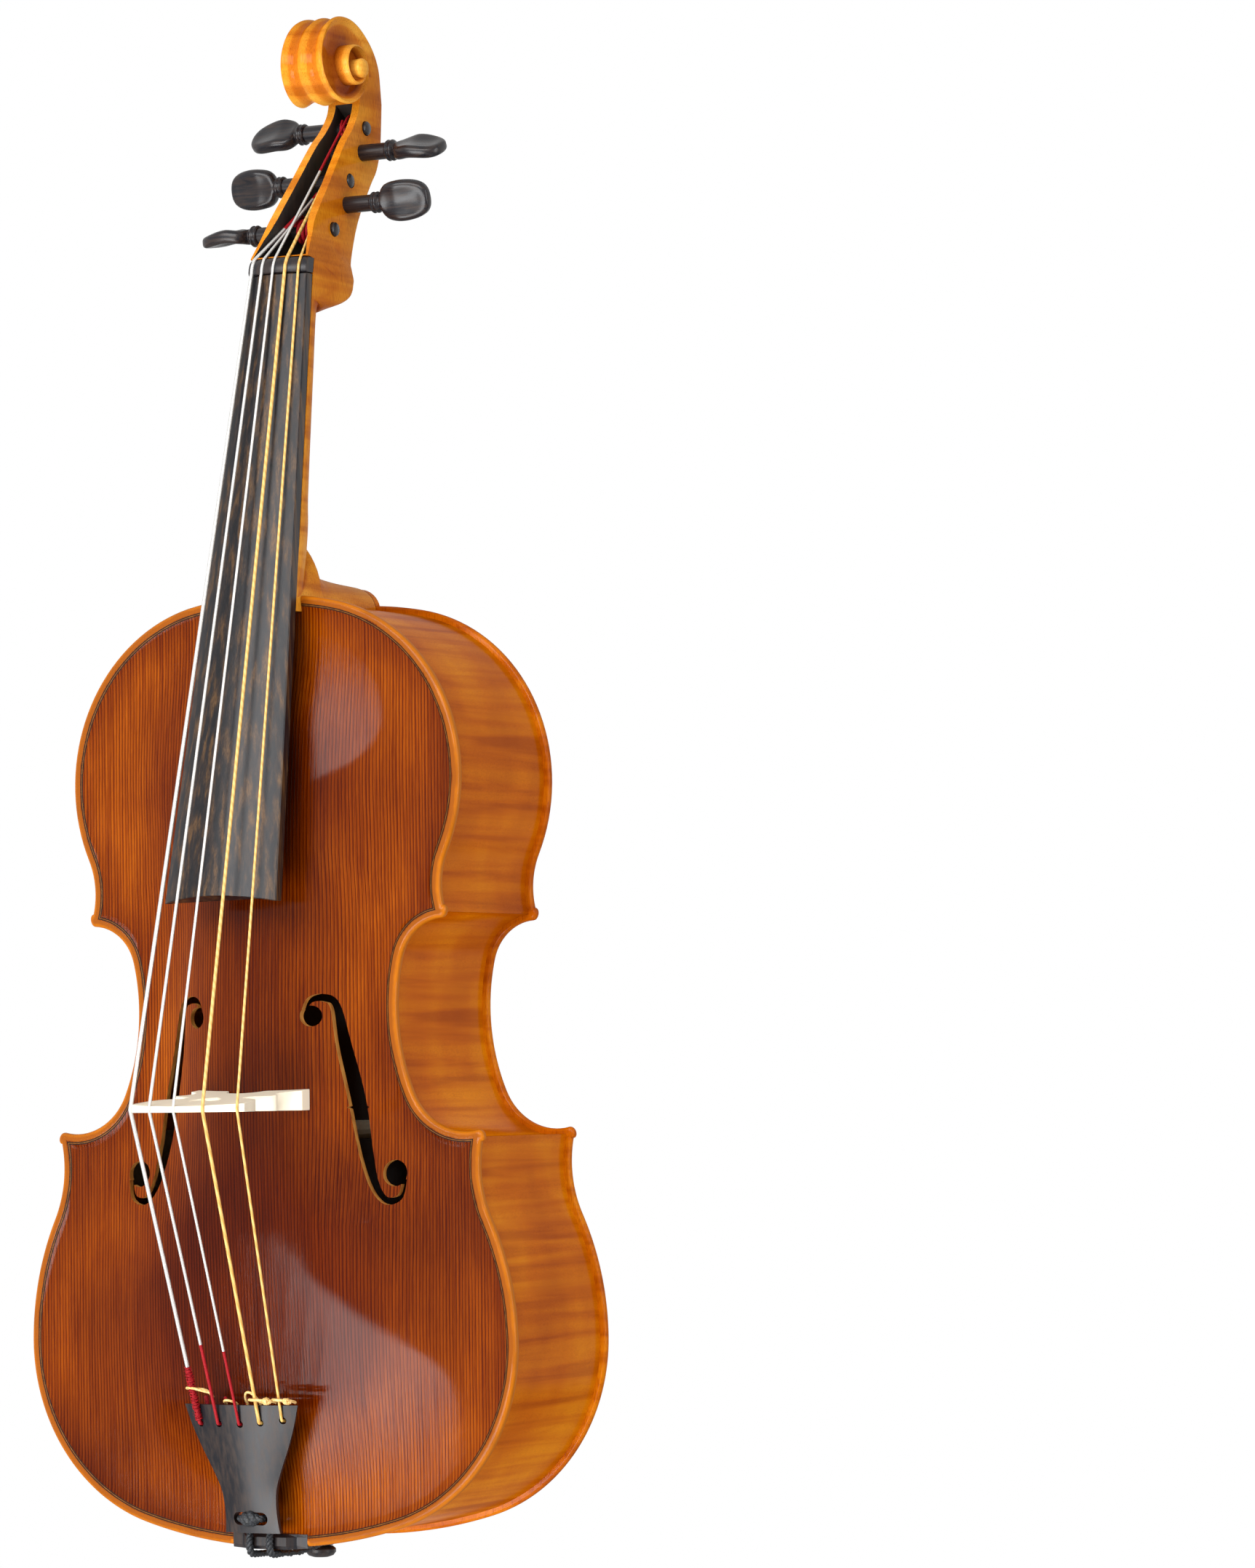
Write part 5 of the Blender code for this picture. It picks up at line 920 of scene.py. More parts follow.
def fingerboard_mesh():
    end_z = NUT_Z - BOARD_LENGTH
    hollow_end = BODY_LENGTH - MORTISE_DEEP - 0.004
    stations = [(end_z, 1.0), (blend(end_z, hollow_end, 0.5), 1.0), (hollow_end - 0.012, 0.8)]
    stations += [(hollow_end, 0.0), (NUT_Z - GAP, 0.0)]
    rings = []
    for i, (z, hollow) in enumerate(stations):
        half = board_half(z)
        rise = blend(BOARD_RISE_NUT, BOARD_RISE_END, (NUT_Z - z) / BOARD_LENGTH)
        ring = []
        for share in spread(-1.0, 1.0, 36):
            here = z + (BOARD_END_ARC * (1 - share**2) if i == 0 else 0.0)
            ring.append((half * share, arris_y(here) - rise * (1 - share**2), here))
        ring.append((0.995 * half, seat_y(z) - GAP / 3, z))
        for share in spread(0.86, -0.86, 20):
            bow = hollow * BOARD_SIDE * 0.6 * (1 - (share / 0.86) ** 2)
            here = z + (BOARD_END_ARC * (1 - share**2) if i == 0 else 0.0)
            ring.append((half * share, seat_y(here) - GAP / 3 - bow, here))
        ring.append((-0.995 * half, seat_y(z) - GAP / 3, z))
        rings.append(ring)
    return loft("fingerboard", rings)


def nut_mesh():
    rings = []
    profile = ((0.0, 0.0008), (0.06, 0.0002), (0.2, 0.0), (0.45, 0.0003), (0.7, 0.0010))
    for share, lower in (*profile, (0.88, 0.0019), (1.0, 0.0030)):
        z = NUT_Z + share * NUT_THICK
        ring = []
        for across in spread(-1.0, 1.0, 60):
            x = across * BOARD_NUT_HALF
            near = min(abs(x - string_x(i, NUT_SPREAD)) for i in range(5))
            groove = 0.0006 * max(0.0, 1 - (near / 0.0009) ** 2)
            ring.append((x, nut_crown(x) + lower + groove, z))
        ring += [(side * BOARD_NUT_HALF, seat_y(z) - GAP / 3, z) for side in (1, 0, -1)]
        rings.append(ring)
    return loft("nut", rings)


def bridge_mesh(top):
    """Bridge cut from a wedge of maple, its feet fitted to the carved top."""
    tree = BVHTree.FromObject(top, bpy.context.evaluated_depsgraph_get())

    def seat(x, z):
        start = Vector((x, -1.0, z)) + BODY_PLACE
        hit = tree.ray_cast(start, Vector((0.0, 1.0, 0.0)))
        return hit[0].y - BODY_PLACE.y

    def placed(x, y, back):
        share = (y - BRIDGE_CROWN_Y) / (-0.015 - BRIDGE_CROWN_Y)
        thick = blend(BRIDGE_TOP_THICK, BRIDGE_FOOT_THICK, share) if back else 0.0
        return (x, y, BRIDGE_Z - BRIDGE_TOP_THICK / 2 + thick)

    side = curve_points(BRIDGE_SIDE, 5)
    arch = curve_points(BRIDGE_ARCH, 5)
    foot = spread(FOOT_INNER, FOOT_OUTER, 10)
    rings = []
    for back in (False, True):
        foot_z = placed(0.0, -0.015, back)[2]
        half = [*arch[::-1], *((x, seat(x, foot_z) - 0.0001) for x in foot), *side]
        half += [(x, bridge_crown(x) + 0.0006) for x in spread(BRIDGE_HALF, BRIDGE_HALF / 24, 23)]
        other = []
        for x, y in half:
            if x > 0:
                on_foot = y > BRIDGE_SIDE[0][1] + 0.001 and x > FOOT_INNER - 0.0001
                other.append((-x, seat(-x, foot_z) - 0.0001 if on_foot else y))
        outline = half + [(0.0, bridge_crown(0.0) + 0.0006)] + other[::-1]
        rings.append([placed(x, y, back) for x, y in outline])
    bridge = loft("bridge", rings)
    heart = curve_points(HEART, 5)
    heart += [(-x, y) for x, y in heart[-2:0:-1]]
    hollow = [[(x, y, BRIDGE_Z + reach) for x, y in heart] for reach in (-0.01, 0.02)]
    return cut(bridge, [loft("heart", hollow)])


def button_mesh():
    rings = []
    for radius, z in BUTTON_PROFILE:
        turns = spread(0.0, math.tau, 48)[:-1]
        rings.append([(radius * math.cos(t), radius * math.sin(t), z) for t in turns])
    mesh = loft("end_button", rings)
    mesh.transform(Matrix.Translation((0.0, PLATE_SPACING / 2, 0.0)))
    return mesh


def peg_mesh(index):
    """Shank, turned collar and hollowed thumb piece of a peg, in one surface."""
    name, axis, side, half = peg_frame(index)
    turn = math.radians(PEGS[index][4])
    tail, collar = -(half + PEG_TAIL_SHOW), half + PEG_SHOW
    sections = [(tail, 0.0006, 0.0006, 0.0), (tail + 0.0002, 0.8 * PEG_TAIL_R, 0.8 * PEG_TAIL_R, 0.0)]
    sections += [(tail + 0.0008, PEG_TAIL_R, PEG_TAIL_R, 0.0), (half, PEG_COLLAR_R, PEG_COLLAR_R, 0.0)]
    sections.append((collar, PEG_COLLAR_R, PEG_COLLAR_R, 0.0))
    sections += [(collar + way + 0.0001, w, t, dish) for way, w, t, dish in curve_points(PEG_HEAD, 4)]
    rings = []
    for x, width, thick, dish in sections:
        reach = (x - collar - 0.006) / 0.0252
        lean = 0.0011 * math.sin(math.pi * 1.5 * reach) * min(1.0, reach * 3) if reach > 0 else 0.0
        flat = min(max((x - collar - 0.0046) / 0.002, 0.0), 1.0)
        ring = []
        for angle in spread(0.0, math.tau, 40)[:-1]:
            across, high = math.cos(angle), math.sin(angle)
            high = math.copysign(abs(high) ** (1 - 0.45 * flat), high) if abs(high) > 1e-6 else 0.0
            high *= thick - 1.25 * dish * max(0.0, 1 - (across / 0.8) ** 2)
            a, b = across * width, high + lean
            y = a * math.cos(turn) - b * math.sin(turn)
            ring.append((side * x, y, a * math.sin(turn) + b * math.cos(turn)))
        rings.append(ring)
    mesh = loft(name, rings)
    mesh.transform(Matrix.Translation((0.0, *axis)))
    return mesh


def tube(name, routes, radius, materials, resolution=3, closed=False):
    """A mesh with a round section along each route of points (x, y, z) or (x, y, z,
    size); a route may come as (points, index of its material)."""
    made = bpy.data.curves.new(name, "CURVE")
    made.dimensions = "3D"
    made.bevel_depth = radius
    made.bevel_resolution = resolution
    made.use_fill_caps = True
    for material in materials:
        made.materials.append(material)
    for route in routes:
        points, index = route if isinstance(route, tuple) else (route, 0)
        spline = made.splines.new("POLY")
        spline.points.add(len(points) - 1)
        for point, target in zip(spline.points, points):
            point.co = (*target[:3], 1.0)
            point.radius = target[3] if len(target) > 3 else 1.0
        spline.use_cyclic_u = closed
        spline.use_smooth = True
        spline.material_index = index
    helper = bpy.data.objects.new(name, made)
    bpy.context.scene.collection.objects.link(helper)
    bpy.context.view_layer.update()
    graph = bpy.context.evaluated_depsgraph_get()
    mesh = bpy.data.meshes.new_from_object(helper.evaluated_get(graph))
    bpy.data.objects.remove(helper)
    bpy.data.curves.remove(made)
    return mesh


def wind_frame(index):
    """A peg's winding in (y, z): its centre, the way to where the string meets it, and
    the string's own way there."""
    string = PEGS[index][5]
    centre = Vector(peg_frame(index)[1])
    run = centre - Vector(nut_exit(string)[1:])
    lean = math.asin(fixed_radius(string) / run.length)
    run.normalize()
    front = Vector((-run.y, run.x))
    if front.x > 0:
        front.negate()
    to_meet = front * math.cos(lean) - run * math.sin(lean)
    return centre, to_meet, run * math.cos(lean) + front * math.sin(lean)


def winding_radius(string):
    return PEG_COLLAR_R + GAP + STRING_R[string]


def fixed_radius(string):
    return winding_radius(string) + 2 * STRING_R[string] + WIND_SPACE


def nut_exit(string):
    x = string_x(string, NUT_SPREAD)
    return (x, nut_crown(x) + 0.0028 - STRING_R[string] * 0.6, NUT_Z + NUT_THICK)


def winding_route(index, per_turn=48):
    """Points of the turns of string on a peg, in body coordinates."""
    string = PEGS[index][5]
    radius = winding_radius(string)
    centre, to_meet, way = wind_frame(index)
    pitch = 2 * STRING_R[string] + WIND_SPACE
    route = []
    for i in range(WIND_TURNS[string] * per_turn + 1):
        turn = math.tau * i / per_turn
        at = (to_meet * math.cos(turn) + way * math.sin(turn)) * radius
        x = WIND_STARTS[string] + WIND_WAYS[string] * pitch * i / per_turn
        route.append(Vector((x, centre.x + at.x, centre.y + at.y)))
    run = 2 * STRING_R[string]
    head = route[0] + (route[0] - route[1]).normalized() * run
    foot = route[-1] + (route[-1] - route[-2]).normalized() * run
    return [head, *route, foot]


def rounded(points, steps=4):
    return [Vector(p) for p in curve_points([tuple(point) for point in points], steps)]


def string_route(index):
    """A string's parts: its tail through the tailpiece, its run from bridge to nut, its
    way on towards the peg, and its end on the peg's turns."""
    r = STRING_R[index]
    hole_x, hole_z = TAIL_HOLES[index]
    high_z = TAIL_STATIONS[-1][0]
    bridge = Vector((string_x(index, BRIDGE_SPREAD), 0.0, BRIDGE_Z))
    bridge.y = bridge_crown(bridge.x) + 0.00004
    front = tail_front(hole_x, hole_z) - r - GAP
    under = max(tail_under(hole_x, hole_z), tail_under(hole_x, high_z)) + r + GAP
    out = Vector((hole_x, front, hole_z + r))
    run = (bridge - out).normalized()
    over = high_z + r + 2 * GAP + 0.0012
    tail = [Vector((hole_x, under - r, over)), Vector((hole_x, under, over - r))]
    tail += [Vector((hole_x, under, hole_z + r)), Vector((hole_x, under - r, hole_z))]
    tail += [Vector((hole_x, front + 1.5 * r, hole_z)), Vector((hole_x, front + 0.3 * r, hole_z + 0.3 * r))]
    tail.append(out + run * 0.0012)
    x = string_x(index, NUT_SPREAD)
    nut_y = nut_crown(x) - 0.3 * r
    nut = Vector((x, nut_y, NUT_Z + 0.1 * NUT_THICK))
    onwards = (nut - bridge).normalized()
    speaking = [bridge - run * 0.002, bridge, bridge + onwards * 0.002, nut - onwards * 0.002]
    head = [nut - onwards * 0.002, nut, Vector((x, nut_y + 0.0003, NUT_Z + 0.35 * NUT_THICK))]
    head.append(Vector((x, nut_y + 0.0010, NUT_Z + 0.62 * NUT_THICK)))
    head.append(Vector((x, nut_y + 0.0018, NUT_Z + 0.82 * NUT_THICK)))
    head.append(Vector(nut_exit(index)))
    peg = next(i for i, row in enumerate(PEGS) if row[5] == index)
    centre, to_meet, way = wind_frame(peg)
    arc = []
    for turn in spread(0.0, math.radians(65), 10):
        at = centre + (to_meet * math.cos(turn) + way * math.sin(turn)) * fixed_radius(index)
        arc.append(Vector((WIND_STARTS[index], at.x, at.y)))
    head = rounded(head)
    change = head[-1] + (arc[0] - head[-1]) * SILK_SHARES[index]
    return rounded(tail), speaking, [*head, change], [change, *arc]


def noose_routes(index):
    """What shows of the knots above the tailpiece's edge; they are all made of pale gut."""
    r = STRING_R[index]
    hole_x = TAIL_HOLES[index][0]
    z = TAIL_STATIONS[-1][0] + 0.0024
    front = tail_front(hole_x, TAIL_STATIONS[-1][0])
    if index >= 3:
        left, right = hole_x - 0.0024, hole_x + (0.0088 if index == 3 else 0.0070)
        y = front - 0.0046 if index == 3 else front - 0.0040
        strand = [
            (right - 0.0006, front + 0.0030, z - 0.0010), (right, front + 0.0010, z - 0.0006),
            (right - 0.0006, y + 0.0016, z + 0.0001), (right - 0.0040, y + 0.0002, z + 0.0003),
            (hole_x, y - 0.0004, z + 0.0005), (left + 0.0004, y + 0.0004, z + 0.0005),
            (left - 0.0003, y + 0.0022, z + 0.0003), (left + 0.0010, y + 0.0038, z),
            (hole_x + 0.0008, y + 0.0040, z - 0.0002), (right - 0.0020, y + 0.0016, z - 0.0010),
            (right + 0.0006, y + 0.0004, z - 0.0006),
        ]
        knot = []
        for turn in spread(0.0, 2.4 * math.tau, 30):
            size = 0.8 * r + 0.0004
            knot.append(
                (right - 0.0030 + 0.0009 * turn / math.tau, y + 0.0008 + size * math.cos(turn),
                 z - 0.0002 + size * math.sin(turn))
            )
        return [rounded(strand), [Vector(p) for p in knot]]
    if index == 0:
        y = front - 0.0052
        tie = [
            (hole_x + 0.0090, y + 0.0040, z + 0.0008), (hole_x + 0.0086, y + 0.0030, z + 0.0030),
            (hole_x + 0.0050, y + 0.0012, z + 0.0042), (hole_x + 0.0010, y - 0.0004, z + 0.0054),
            (hole_x - 0.0030, y + 0.0004, z + 0.0056), (hole_x - 0.0036, y + 0.0020, z + 0.0052),
            (hole_x + 0.0010, y + 0.0042, z + 0.0050), (hole_x + 0.0060, y + 0.0036, z + 0.0042),
            (hole_x + 0.0098, y + 0.0030, z + 0.0012),
        ]
        return [rounded(tie)]
    tall = 0.0018 if index == 1 else 0.0058
    reach = 0.0030 if index == 1 else 0.0036
    middle = hole_x + (0.0052 if index == 1 else 0.0056)
    under = max(tail_under(middle - reach, z), tail_under(middle + reach, z)) + 0.0008
    arch = []
    for turn in spread(math.pi, 0.0, 14):
        y = blend(under, front + 0.0008, math.sin(turn))
        arch.append(Vector((middle + reach * math.cos(turn), y, z - 0.0020 + tall * math.sin(turn))))
    feet = [Vector((arch[i].x, under, z - 0.008)) for i in (0, -1)]
    return [[feet[0], *arch, feet[1]]]


def tailgut_route():
    """The closed loop of the tailgut: slot, saddle and round the button's neck."""
    r = TAILGUT_R
    left, right = TAIL_SHIFT - TAILGUT_HALF, TAIL_SHIFT + TAILGUT_HALF
    front = tail_front(TAIL_SHIFT, SLOT_Z) - r * 0.4
    under = tail_under(TAIL_SHIFT, TAIL_STATIONS[0][0]) + r + 2 * GAP
    over = -EDGE_THICK / 2 - SADDLE_RISE - r - GAP
    out = SADDLE_LOW_Z - r - 1.5 * GAP
    neck = BUTTON_PROFILE[5][0] + r + GAP
    groove = (BUTTON_PROFILE[5][1] + BUTTON_PROFILE[6][1]) / 2
    leg = [
        (right - 0.0022, front, SLOT_Z), (right, front + r, SLOT_Z), (right, under - r, SLOT_Z),
        (right, under, SLOT_Z - 1.2 * r), (right, blend(under, over, 0.6), 0.0062),
        (right, over, 0.0040), (right, over, 0.0010), (right, over + 0.0006, -0.0012),
        (right, over + 0.0025, out + 0.0003), (blend(right, neck, 0.2), 0.001, out),
        (blend(right, neck, 0.6), 0.020, out),
        (blend(right, neck, 0.9), 0.035, blend(out, groove, 0.9)),
    ]
    other = [(2 * TAIL_SHIFT - x, y, z) for x, y, z in leg[:9]]
    for x, y, z in leg[9:]:
        other.append((blend(left, -neck, (x - right) / (neck - right)), y, z))
    centre = PLATE_SPACING / 2
    around = []
    for turn in spread(0.0, math.pi, 8):
        around.append((neck * math.cos(turn), centre + neck * math.sin(turn), groove))
    return leg + around + other[::-1]


def strands_along(route, helix, pitch, count):
    """Strands laid round a closed route, each a list of points."""
    dense = rounded([*route, route[0]], 6)[:-1]
    strands = [[] for _ in range(count)]
    up = Vector((0.0, 0.0, 1.0))
    run = 0.0
    for i, point in enumerate(dense):
        ahead = (dense[(i + 1) % len(dense)] - dense[i - 1]).normalized()
        side = (up - ahead * up.dot(ahead)).normalized()
        up = side
        over = ahead.cross(side)
        for k, strand in enumerate(strands):
            turn = math.tau * (run / pitch + k / count)
            strand.append(point + (side * math.cos(turn) + over * math.sin(turn)) * helix)
        run += (dense[(i + 1) % len(dense)] - point).length
    return strands


def linear(channel):
    """One sRGB channel, 0 to 1, as linear light."""
    if channel <= 0.04045:
        return channel / 12.92
    return ((channel + 0.055) / 1.055) ** 2.4


def colour(hex_code):
    """A #RRGGBB colour as the linear colour that a socket takes."""
    return (*(linear(int(hex_code[i : i + 2], 16) / 255) for i in (1, 3, 5)), 1.0)


def add_node(tree, kind, links=None, **settings):
    """A node with its attributes, its input values and the sockets linked to it."""
    made = tree.nodes.new("ShaderNode" + kind)
    for key, value in settings.items():
        setattr(made, key, value)
    for key, value in (links or {}).items():
        if isinstance(value, bpy.types.NodeSocket):
            tree.links.new(value, made.inputs[key])
        else:
            made.inputs[key].default_value = value
    return made


def ramp(tree, value, *stops):
    """A colour ramp over a value, from (place, hex colour) stops."""
    made = add_node(tree, "ValToRGB", {0: value})
    elements = made.color_ramp.elements
    while len(elements) > 1:
        elements.remove(elements[-1])
    elements[0].position, elements[0].color = stops[0][0], colour(stops[0][1])
    for place, hex_code in stops[1:]:
        elements.new(place).color = colour(hex_code)
    return made.outputs[0]


def span(tree, value, low, high, to_low=0.0, to_high=1.0):
    """A value mapped from one span to another and held there."""
    links = {0: value, 1: low, 2: high, 3: to_low, 4: to_high}
    return add_node(tree, "MapRange", links).outputs[0]


def multiply(tree, under, over, share):
    """One colour darkened by another."""
    made = add_node(tree, "Mix", {0: share, 6: under, 7: over}, data_type="RGBA")
    made.blend_type = "MULTIPLY"
    return made.outputs[2]


def mix(tree, share, first, second):
    made = add_node(tree, "Mix", {0: share, 6: first, 7: second}, data_type="RGBA")
    return made.outputs[2]


def millimetres(tree, scale=(1.0, 1.0, 1.0)):
    """Object coordinates in millimetres, scaled along each axis."""
    place = add_node(tree, "TexCoord").outputs["Object"]
    scaled = tuple(1000.0 * s for s in scale)
    return add_node(tree, "Mapping", {"Vector": place, "Scale": scaled}).outputs[0]


def noise(tree, scale, detail=3.0, size=1.0, roughness=0.5):
    """Noise over millimetres, stretched by the scale along each axis."""
    links = {"Vector": millimetres(tree, scale), "Scale": size, "Detail": detail}
    links["Roughness"] = roughness
    return add_node(tree, "TexNoise", links).outputs[0]


def start_material(name):
    made = bpy.data.materials.new(name)
    made.use_nodes = True
    tree = made.node_tree
    tree.nodes.clear()
    shader = add_node(tree, "BsdfPrincipled")
    output = add_node(tree, "OutputMaterial")
    tree.links.new(shader.outputs[0], output.inputs[0])
    return made, tree, shader


def bump(tree, shader, height, strength, distance):
    links = {"Height": height, "Strength": strength, "Distance": distance}
    made = add_node(tree, "Bump", links)
    for socket in ("Normal", "Coat Normal"):
        tree.links.new(made.outputs[0], shader.inputs[socket])


def worn_edge(tree, base, look):
    """The varnish over a plate's edge: thin and golden on its rim, darker in the channel
    inside the purfling, where it has gathered."""
    inset = add_node(tree, "Attribute", attribute_name="inset").outputs["Fac"]
    uneven = span(tree, noise(tree, (0.08, 0.08, 0.08), 3.0), 0.3, 0.7, -0.5, 0.5)
    place = add_node(tree, "Math", {0: inset, 1: uneven}, operation="ADD").outputs[0]
    channel = ramp(tree, span(tree, place, 0.0, 20.0), (0.26, "#B07A5A"), (0.9, "#FFFFFF"))
    base = multiply(tree, base, channel, 0.45)
    middle = ramp(tree, span(tree, place, 20.0, 85.0), (0.0, "#FFFFFF"), (1.0, "#A87658"))
    base = multiply(tree, base, middle, 0.8)
    rim = ramp(tree, span(tree, place, 0.0, 3.5), (0.1, look.edge), (0.55, look.edge_dark))
    return mix(tree, span(tree, place, 3.3, 4.2), rim, base)


def varnished_spruce(look):
    """Spruce split on the quarter: fine dark year rings run along the body, under an
    orange brown spirit varnish that is thin and golden where hands have worn it."""
    made, tree, shader = start_material("varnished_spruce")
    wander = noise(tree, (0.02, 0.02, 0.004), 2.0)
    links = {
        "Vector": millimetres(tree),
        "Scale": 0.314 / look.ring_spacing / 1000,
        "Distortion": 1.6,
        "Detail": 3.0,
        "Detail Scale": 0.05,
    }
    rings = add_node(
        tree, "TexWave", links, wave_type="BANDS", bands_direction="X", wave_profile="SAW"
    ).outputs["Fac"]
    streaks = noise(tree, (1.6, 0.3, 0.02), 4.0, 1.0, 0.6)
    fibres = noise(tree, (5.0, 1.0, 0.15), 3.0)
    patches = noise(tree, (0.012, 0.012, 0.008), 3.0)
    base = ramp(tree, patches, (0.3, look.spruce_dark), (0.52, look.spruce), (0.75, look.spruce_pale))
    ring_dark = ramp(tree, rings, (0.0, "#FFFFFF"), (0.62, "#E8CDB4"), (0.86, "#7A4628"), (0.97, "#6A3A20"))
    base = multiply(tree, base, ring_dark, 0.8)
    streak = ramp(tree, streaks, (0.36, "#A8745A"), (0.55, "#FFFFFF"))
    base = multiply(tree, base, streak, 0.7)
    fine = ramp(tree, fibres, (0.3, "#C89A7C"), (0.6, "#FFFFFF"))
    base = multiply(tree, base, fine, 0.55)
    base = worn_edge(tree, base, look)
    tree.links.new(base, shader.inputs["Base Color"])
    rough = span(tree, wander, 0.3, 0.7, 0.20, 0.30)
    tree.links.new(rough, shader.inputs["Roughness"])
    shader.inputs["Specular IOR Level"].default_value = 0.0
    shader.inputs["Coat Weight"].default_value = 0.22
    shader.inputs["Coat Roughness"].default_value = 0.05
    shader.inputs["IOR"].default_value = 1.5
    height = add_node(tree, "Math", {0: rings, 1: streaks}, operation="ADD").outputs[0]
    bump(tree, shader, height, 0.7, 0.00011)
    return made


def inner_face(tree):
    """1 on the back's inner face, painted near black as the shade inside the closed body though its bare wood is
    pale, 0 on its outside.
    """
    facing = add_node(tree, "TexCoord").outputs["Normal"]
    facing = add_node(tree, "SeparateXYZ", {0: facing}).outputs[1]
    inset = add_node(tree, "Attribute", attribute_name="inset").outputs["Fac"]
    links = {0: span(tree, facing, -0.2, -0.4), 1: span(tree, inset, 4.0, 4.5)}
    return add_node(tree, "Math", links, operation="MULTIPLY").outputs[0]


def varnish_maple(name, look, bands, flame_at, tones=None):
    """Maple with a flame across its grain, under the same varnish, golden and glossy;
    flame_at gives the place that the flame's bands are counted along, in millimetres."""
    tones = tones or (look.maple_dark, look.maple, look.maple_pale)
    made, tree, shader = start_material(name)
    sway = noise(tree, (0.02, 0.02, 0.02), 2.0)
    across = 0.05
    stretch_to = (1.0, across, across) if bands == "X" else (across, across, 1.0)
    size = 1 / (1000 * look.flame_spacing)
    placed = add_node(tree, "Mapping", {"Vector": flame_at(tree), "Scale": stretch_to}).outputs[0]
    links = {"Vector": placed, "Scale": size, "Detail": 3.0, "Roughness": 0.55, "Distortion": 0.4}
    flame = add_node(tree, "TexNoise", links).outputs[0]
    pores = noise(tree, (3.0, 3.0, 0.25) if bands == "Z" else (0.3, 3.0, 3.0), 4.0)
    patches = noise(tree, (0.015, 0.015, 0.012), 3.0)
    base = ramp(tree, patches, *zip((0.3, 0.5, 0.72), tones))
    flame_dark = ramp(tree, flame, (0.36, "#B87A3C"), (0.47, "#E6C79E"), (0.6, "#FFFFFF"))
    base = multiply(tree, base, flame_dark, 0.55)
    pore_dark = ramp(tree, pores, (0.32, "#B98A66"), (0.5, "#FFFFFF"))
    base = multiply(tree, base, pore_dark, 0.6)
    if name == "varnished_maple_neck":
        # Darker in the hollows of neck, pegbox and scroll, read from pointiness: painted shade in the flutes and
        # coves.
        hollow = add_node(tree, "NewGeometry").outputs["Pointiness"]
        painted_hollow_shade = ramp(tree, hollow, (0.44, "#8A4418"), (0.495, "#E8C8A8"), (0.51, "#FFFFFF"))
        base = multiply(tree, base, painted_hollow_shade, 0.9)
    if name == "varnished_maple_back":
        # The back's inner face, seen through the sound holes, is painted near black: painted shade inside the
        # body.
        base = mix(tree, inner_face(tree), base, colour("#2A1508"))
    tree.links.new(base, shader.inputs["Base Color"])
    tree.links.new(span(tree, sway, 0.3, 0.7, 0.20, 0.34), shader.inputs["Roughness"])
    shader.inputs["Specular IOR Level"].default_value = 0.0
    shader.inputs["Coat Weight"].default_value = 0.16
    shader.inputs["Coat Roughness"].default_value = 0.10
    shader.inputs["IOR"].default_value = 1.5
    bump(tree, shader, pores, 0.25, 0.0001)
    return made


def varnished_maple_ribs(look):
    """Ribs sawn thin and bent: the flame stands across them all along the body's edge."""

    def along_edge(tree):
        run = add_node(tree, "Attribute", attribute_name="inset").outputs["Fac"]
        place = add_node(tree, "SeparateXYZ", {0: millimetres(tree)}).outputs[1]
        return add_node(tree, "CombineXYZ", {0: run, 1: place}).outputs[0]

    return varnish_maple("varnished_maple_ribs", look, "X", along_edge)


def varnished_maple_back(look):
    """The back, split from one wedge and joined: the flame runs across its width."""
    return varnish_maple("varnished_maple_back", look, "Z", millimetres)


def varnished_maple_neck(look):
    """The neck and scroll, carved and varnished, with the flame across them."""
    # Tones paler than the body's maple: partly the neck's own colour, partly painted light that lifts neck,
    # pegbox and scroll, which the lamps light less.
    tones = (look.neck_dark, look.neck, look.neck_pale)
    return varnish_maple("varnished_maple_neck", look, "Z", millimetres, tones)


def stained_maple(look):
    """The pegbox's inside, stained black with ink and left matt."""
    made, tree, shader = start_material("stained_maple")
    base = ramp(tree, noise(tree, (0.3, 0.3, 0.1), 3.0), (0.3, "#0E0B09"), (0.7, "#2A2019"))
    tree.links.new(base, shader.inputs["Base Color"])
    shader.inputs["Roughness"].default_value = 0.6
    return made


def bare_hole_edge(look):
    """The knife cut walls of the sound holes: golden, with little varnish."""
    made, tree, shader = start_material("bare_hole_edge")
    base = ramp(tree, noise(tree, (0.5, 0.5, 0.1), 3.0), (0.3, "#9A5E22"), (0.7, "#C98D42"))
    tree.links.new(base, shader.inputs["Base Color"])
    shader.inputs["Roughness"].default_value = 0.5
    return made


def pale_inlay(look):
    """The middle ply of the purfling: pale poplar, yellowed by the varnish."""
    made, tree, shader = start_material("pale_inlay")
    base = ramp(tree, noise(tree, (0.4, 0.4, 0.4), 3.0), (0.3, "#5E3410"), (0.7, "#8A5418"))
    tree.links.new(base, shader.inputs["Base Color"])
    shader.inputs["Roughness"].default_value = 0.5
    shader.inputs["Specular IOR Level"].default_value = 0.1
    return made


def polished_ebony(look):
    """Ebony, turned or carved and rubbed to a satin: black, with faint brown streaks."""
    made, tree, shader = start_material("polished_ebony")
    streaks = noise(tree, (0.5, 0.5, 0.02), 4.0)
    base = ramp(tree, streaks, (0.42, look.ebony), (0.66, look.ebony_streak))
    tree.links.new(base, shader.inputs["Base Color"])
    tree.links.new(span(tree, streaks, 0.3, 0.7, 0.30, 0.40), shader.inputs["Roughness"])
    shader.inputs["Specular IOR Level"].default_value = 0.3
    bump(tree, shader, noise(tree, (4.0, 4.0, 0.2), 3.0), 0.08, 0.0001)
    return made


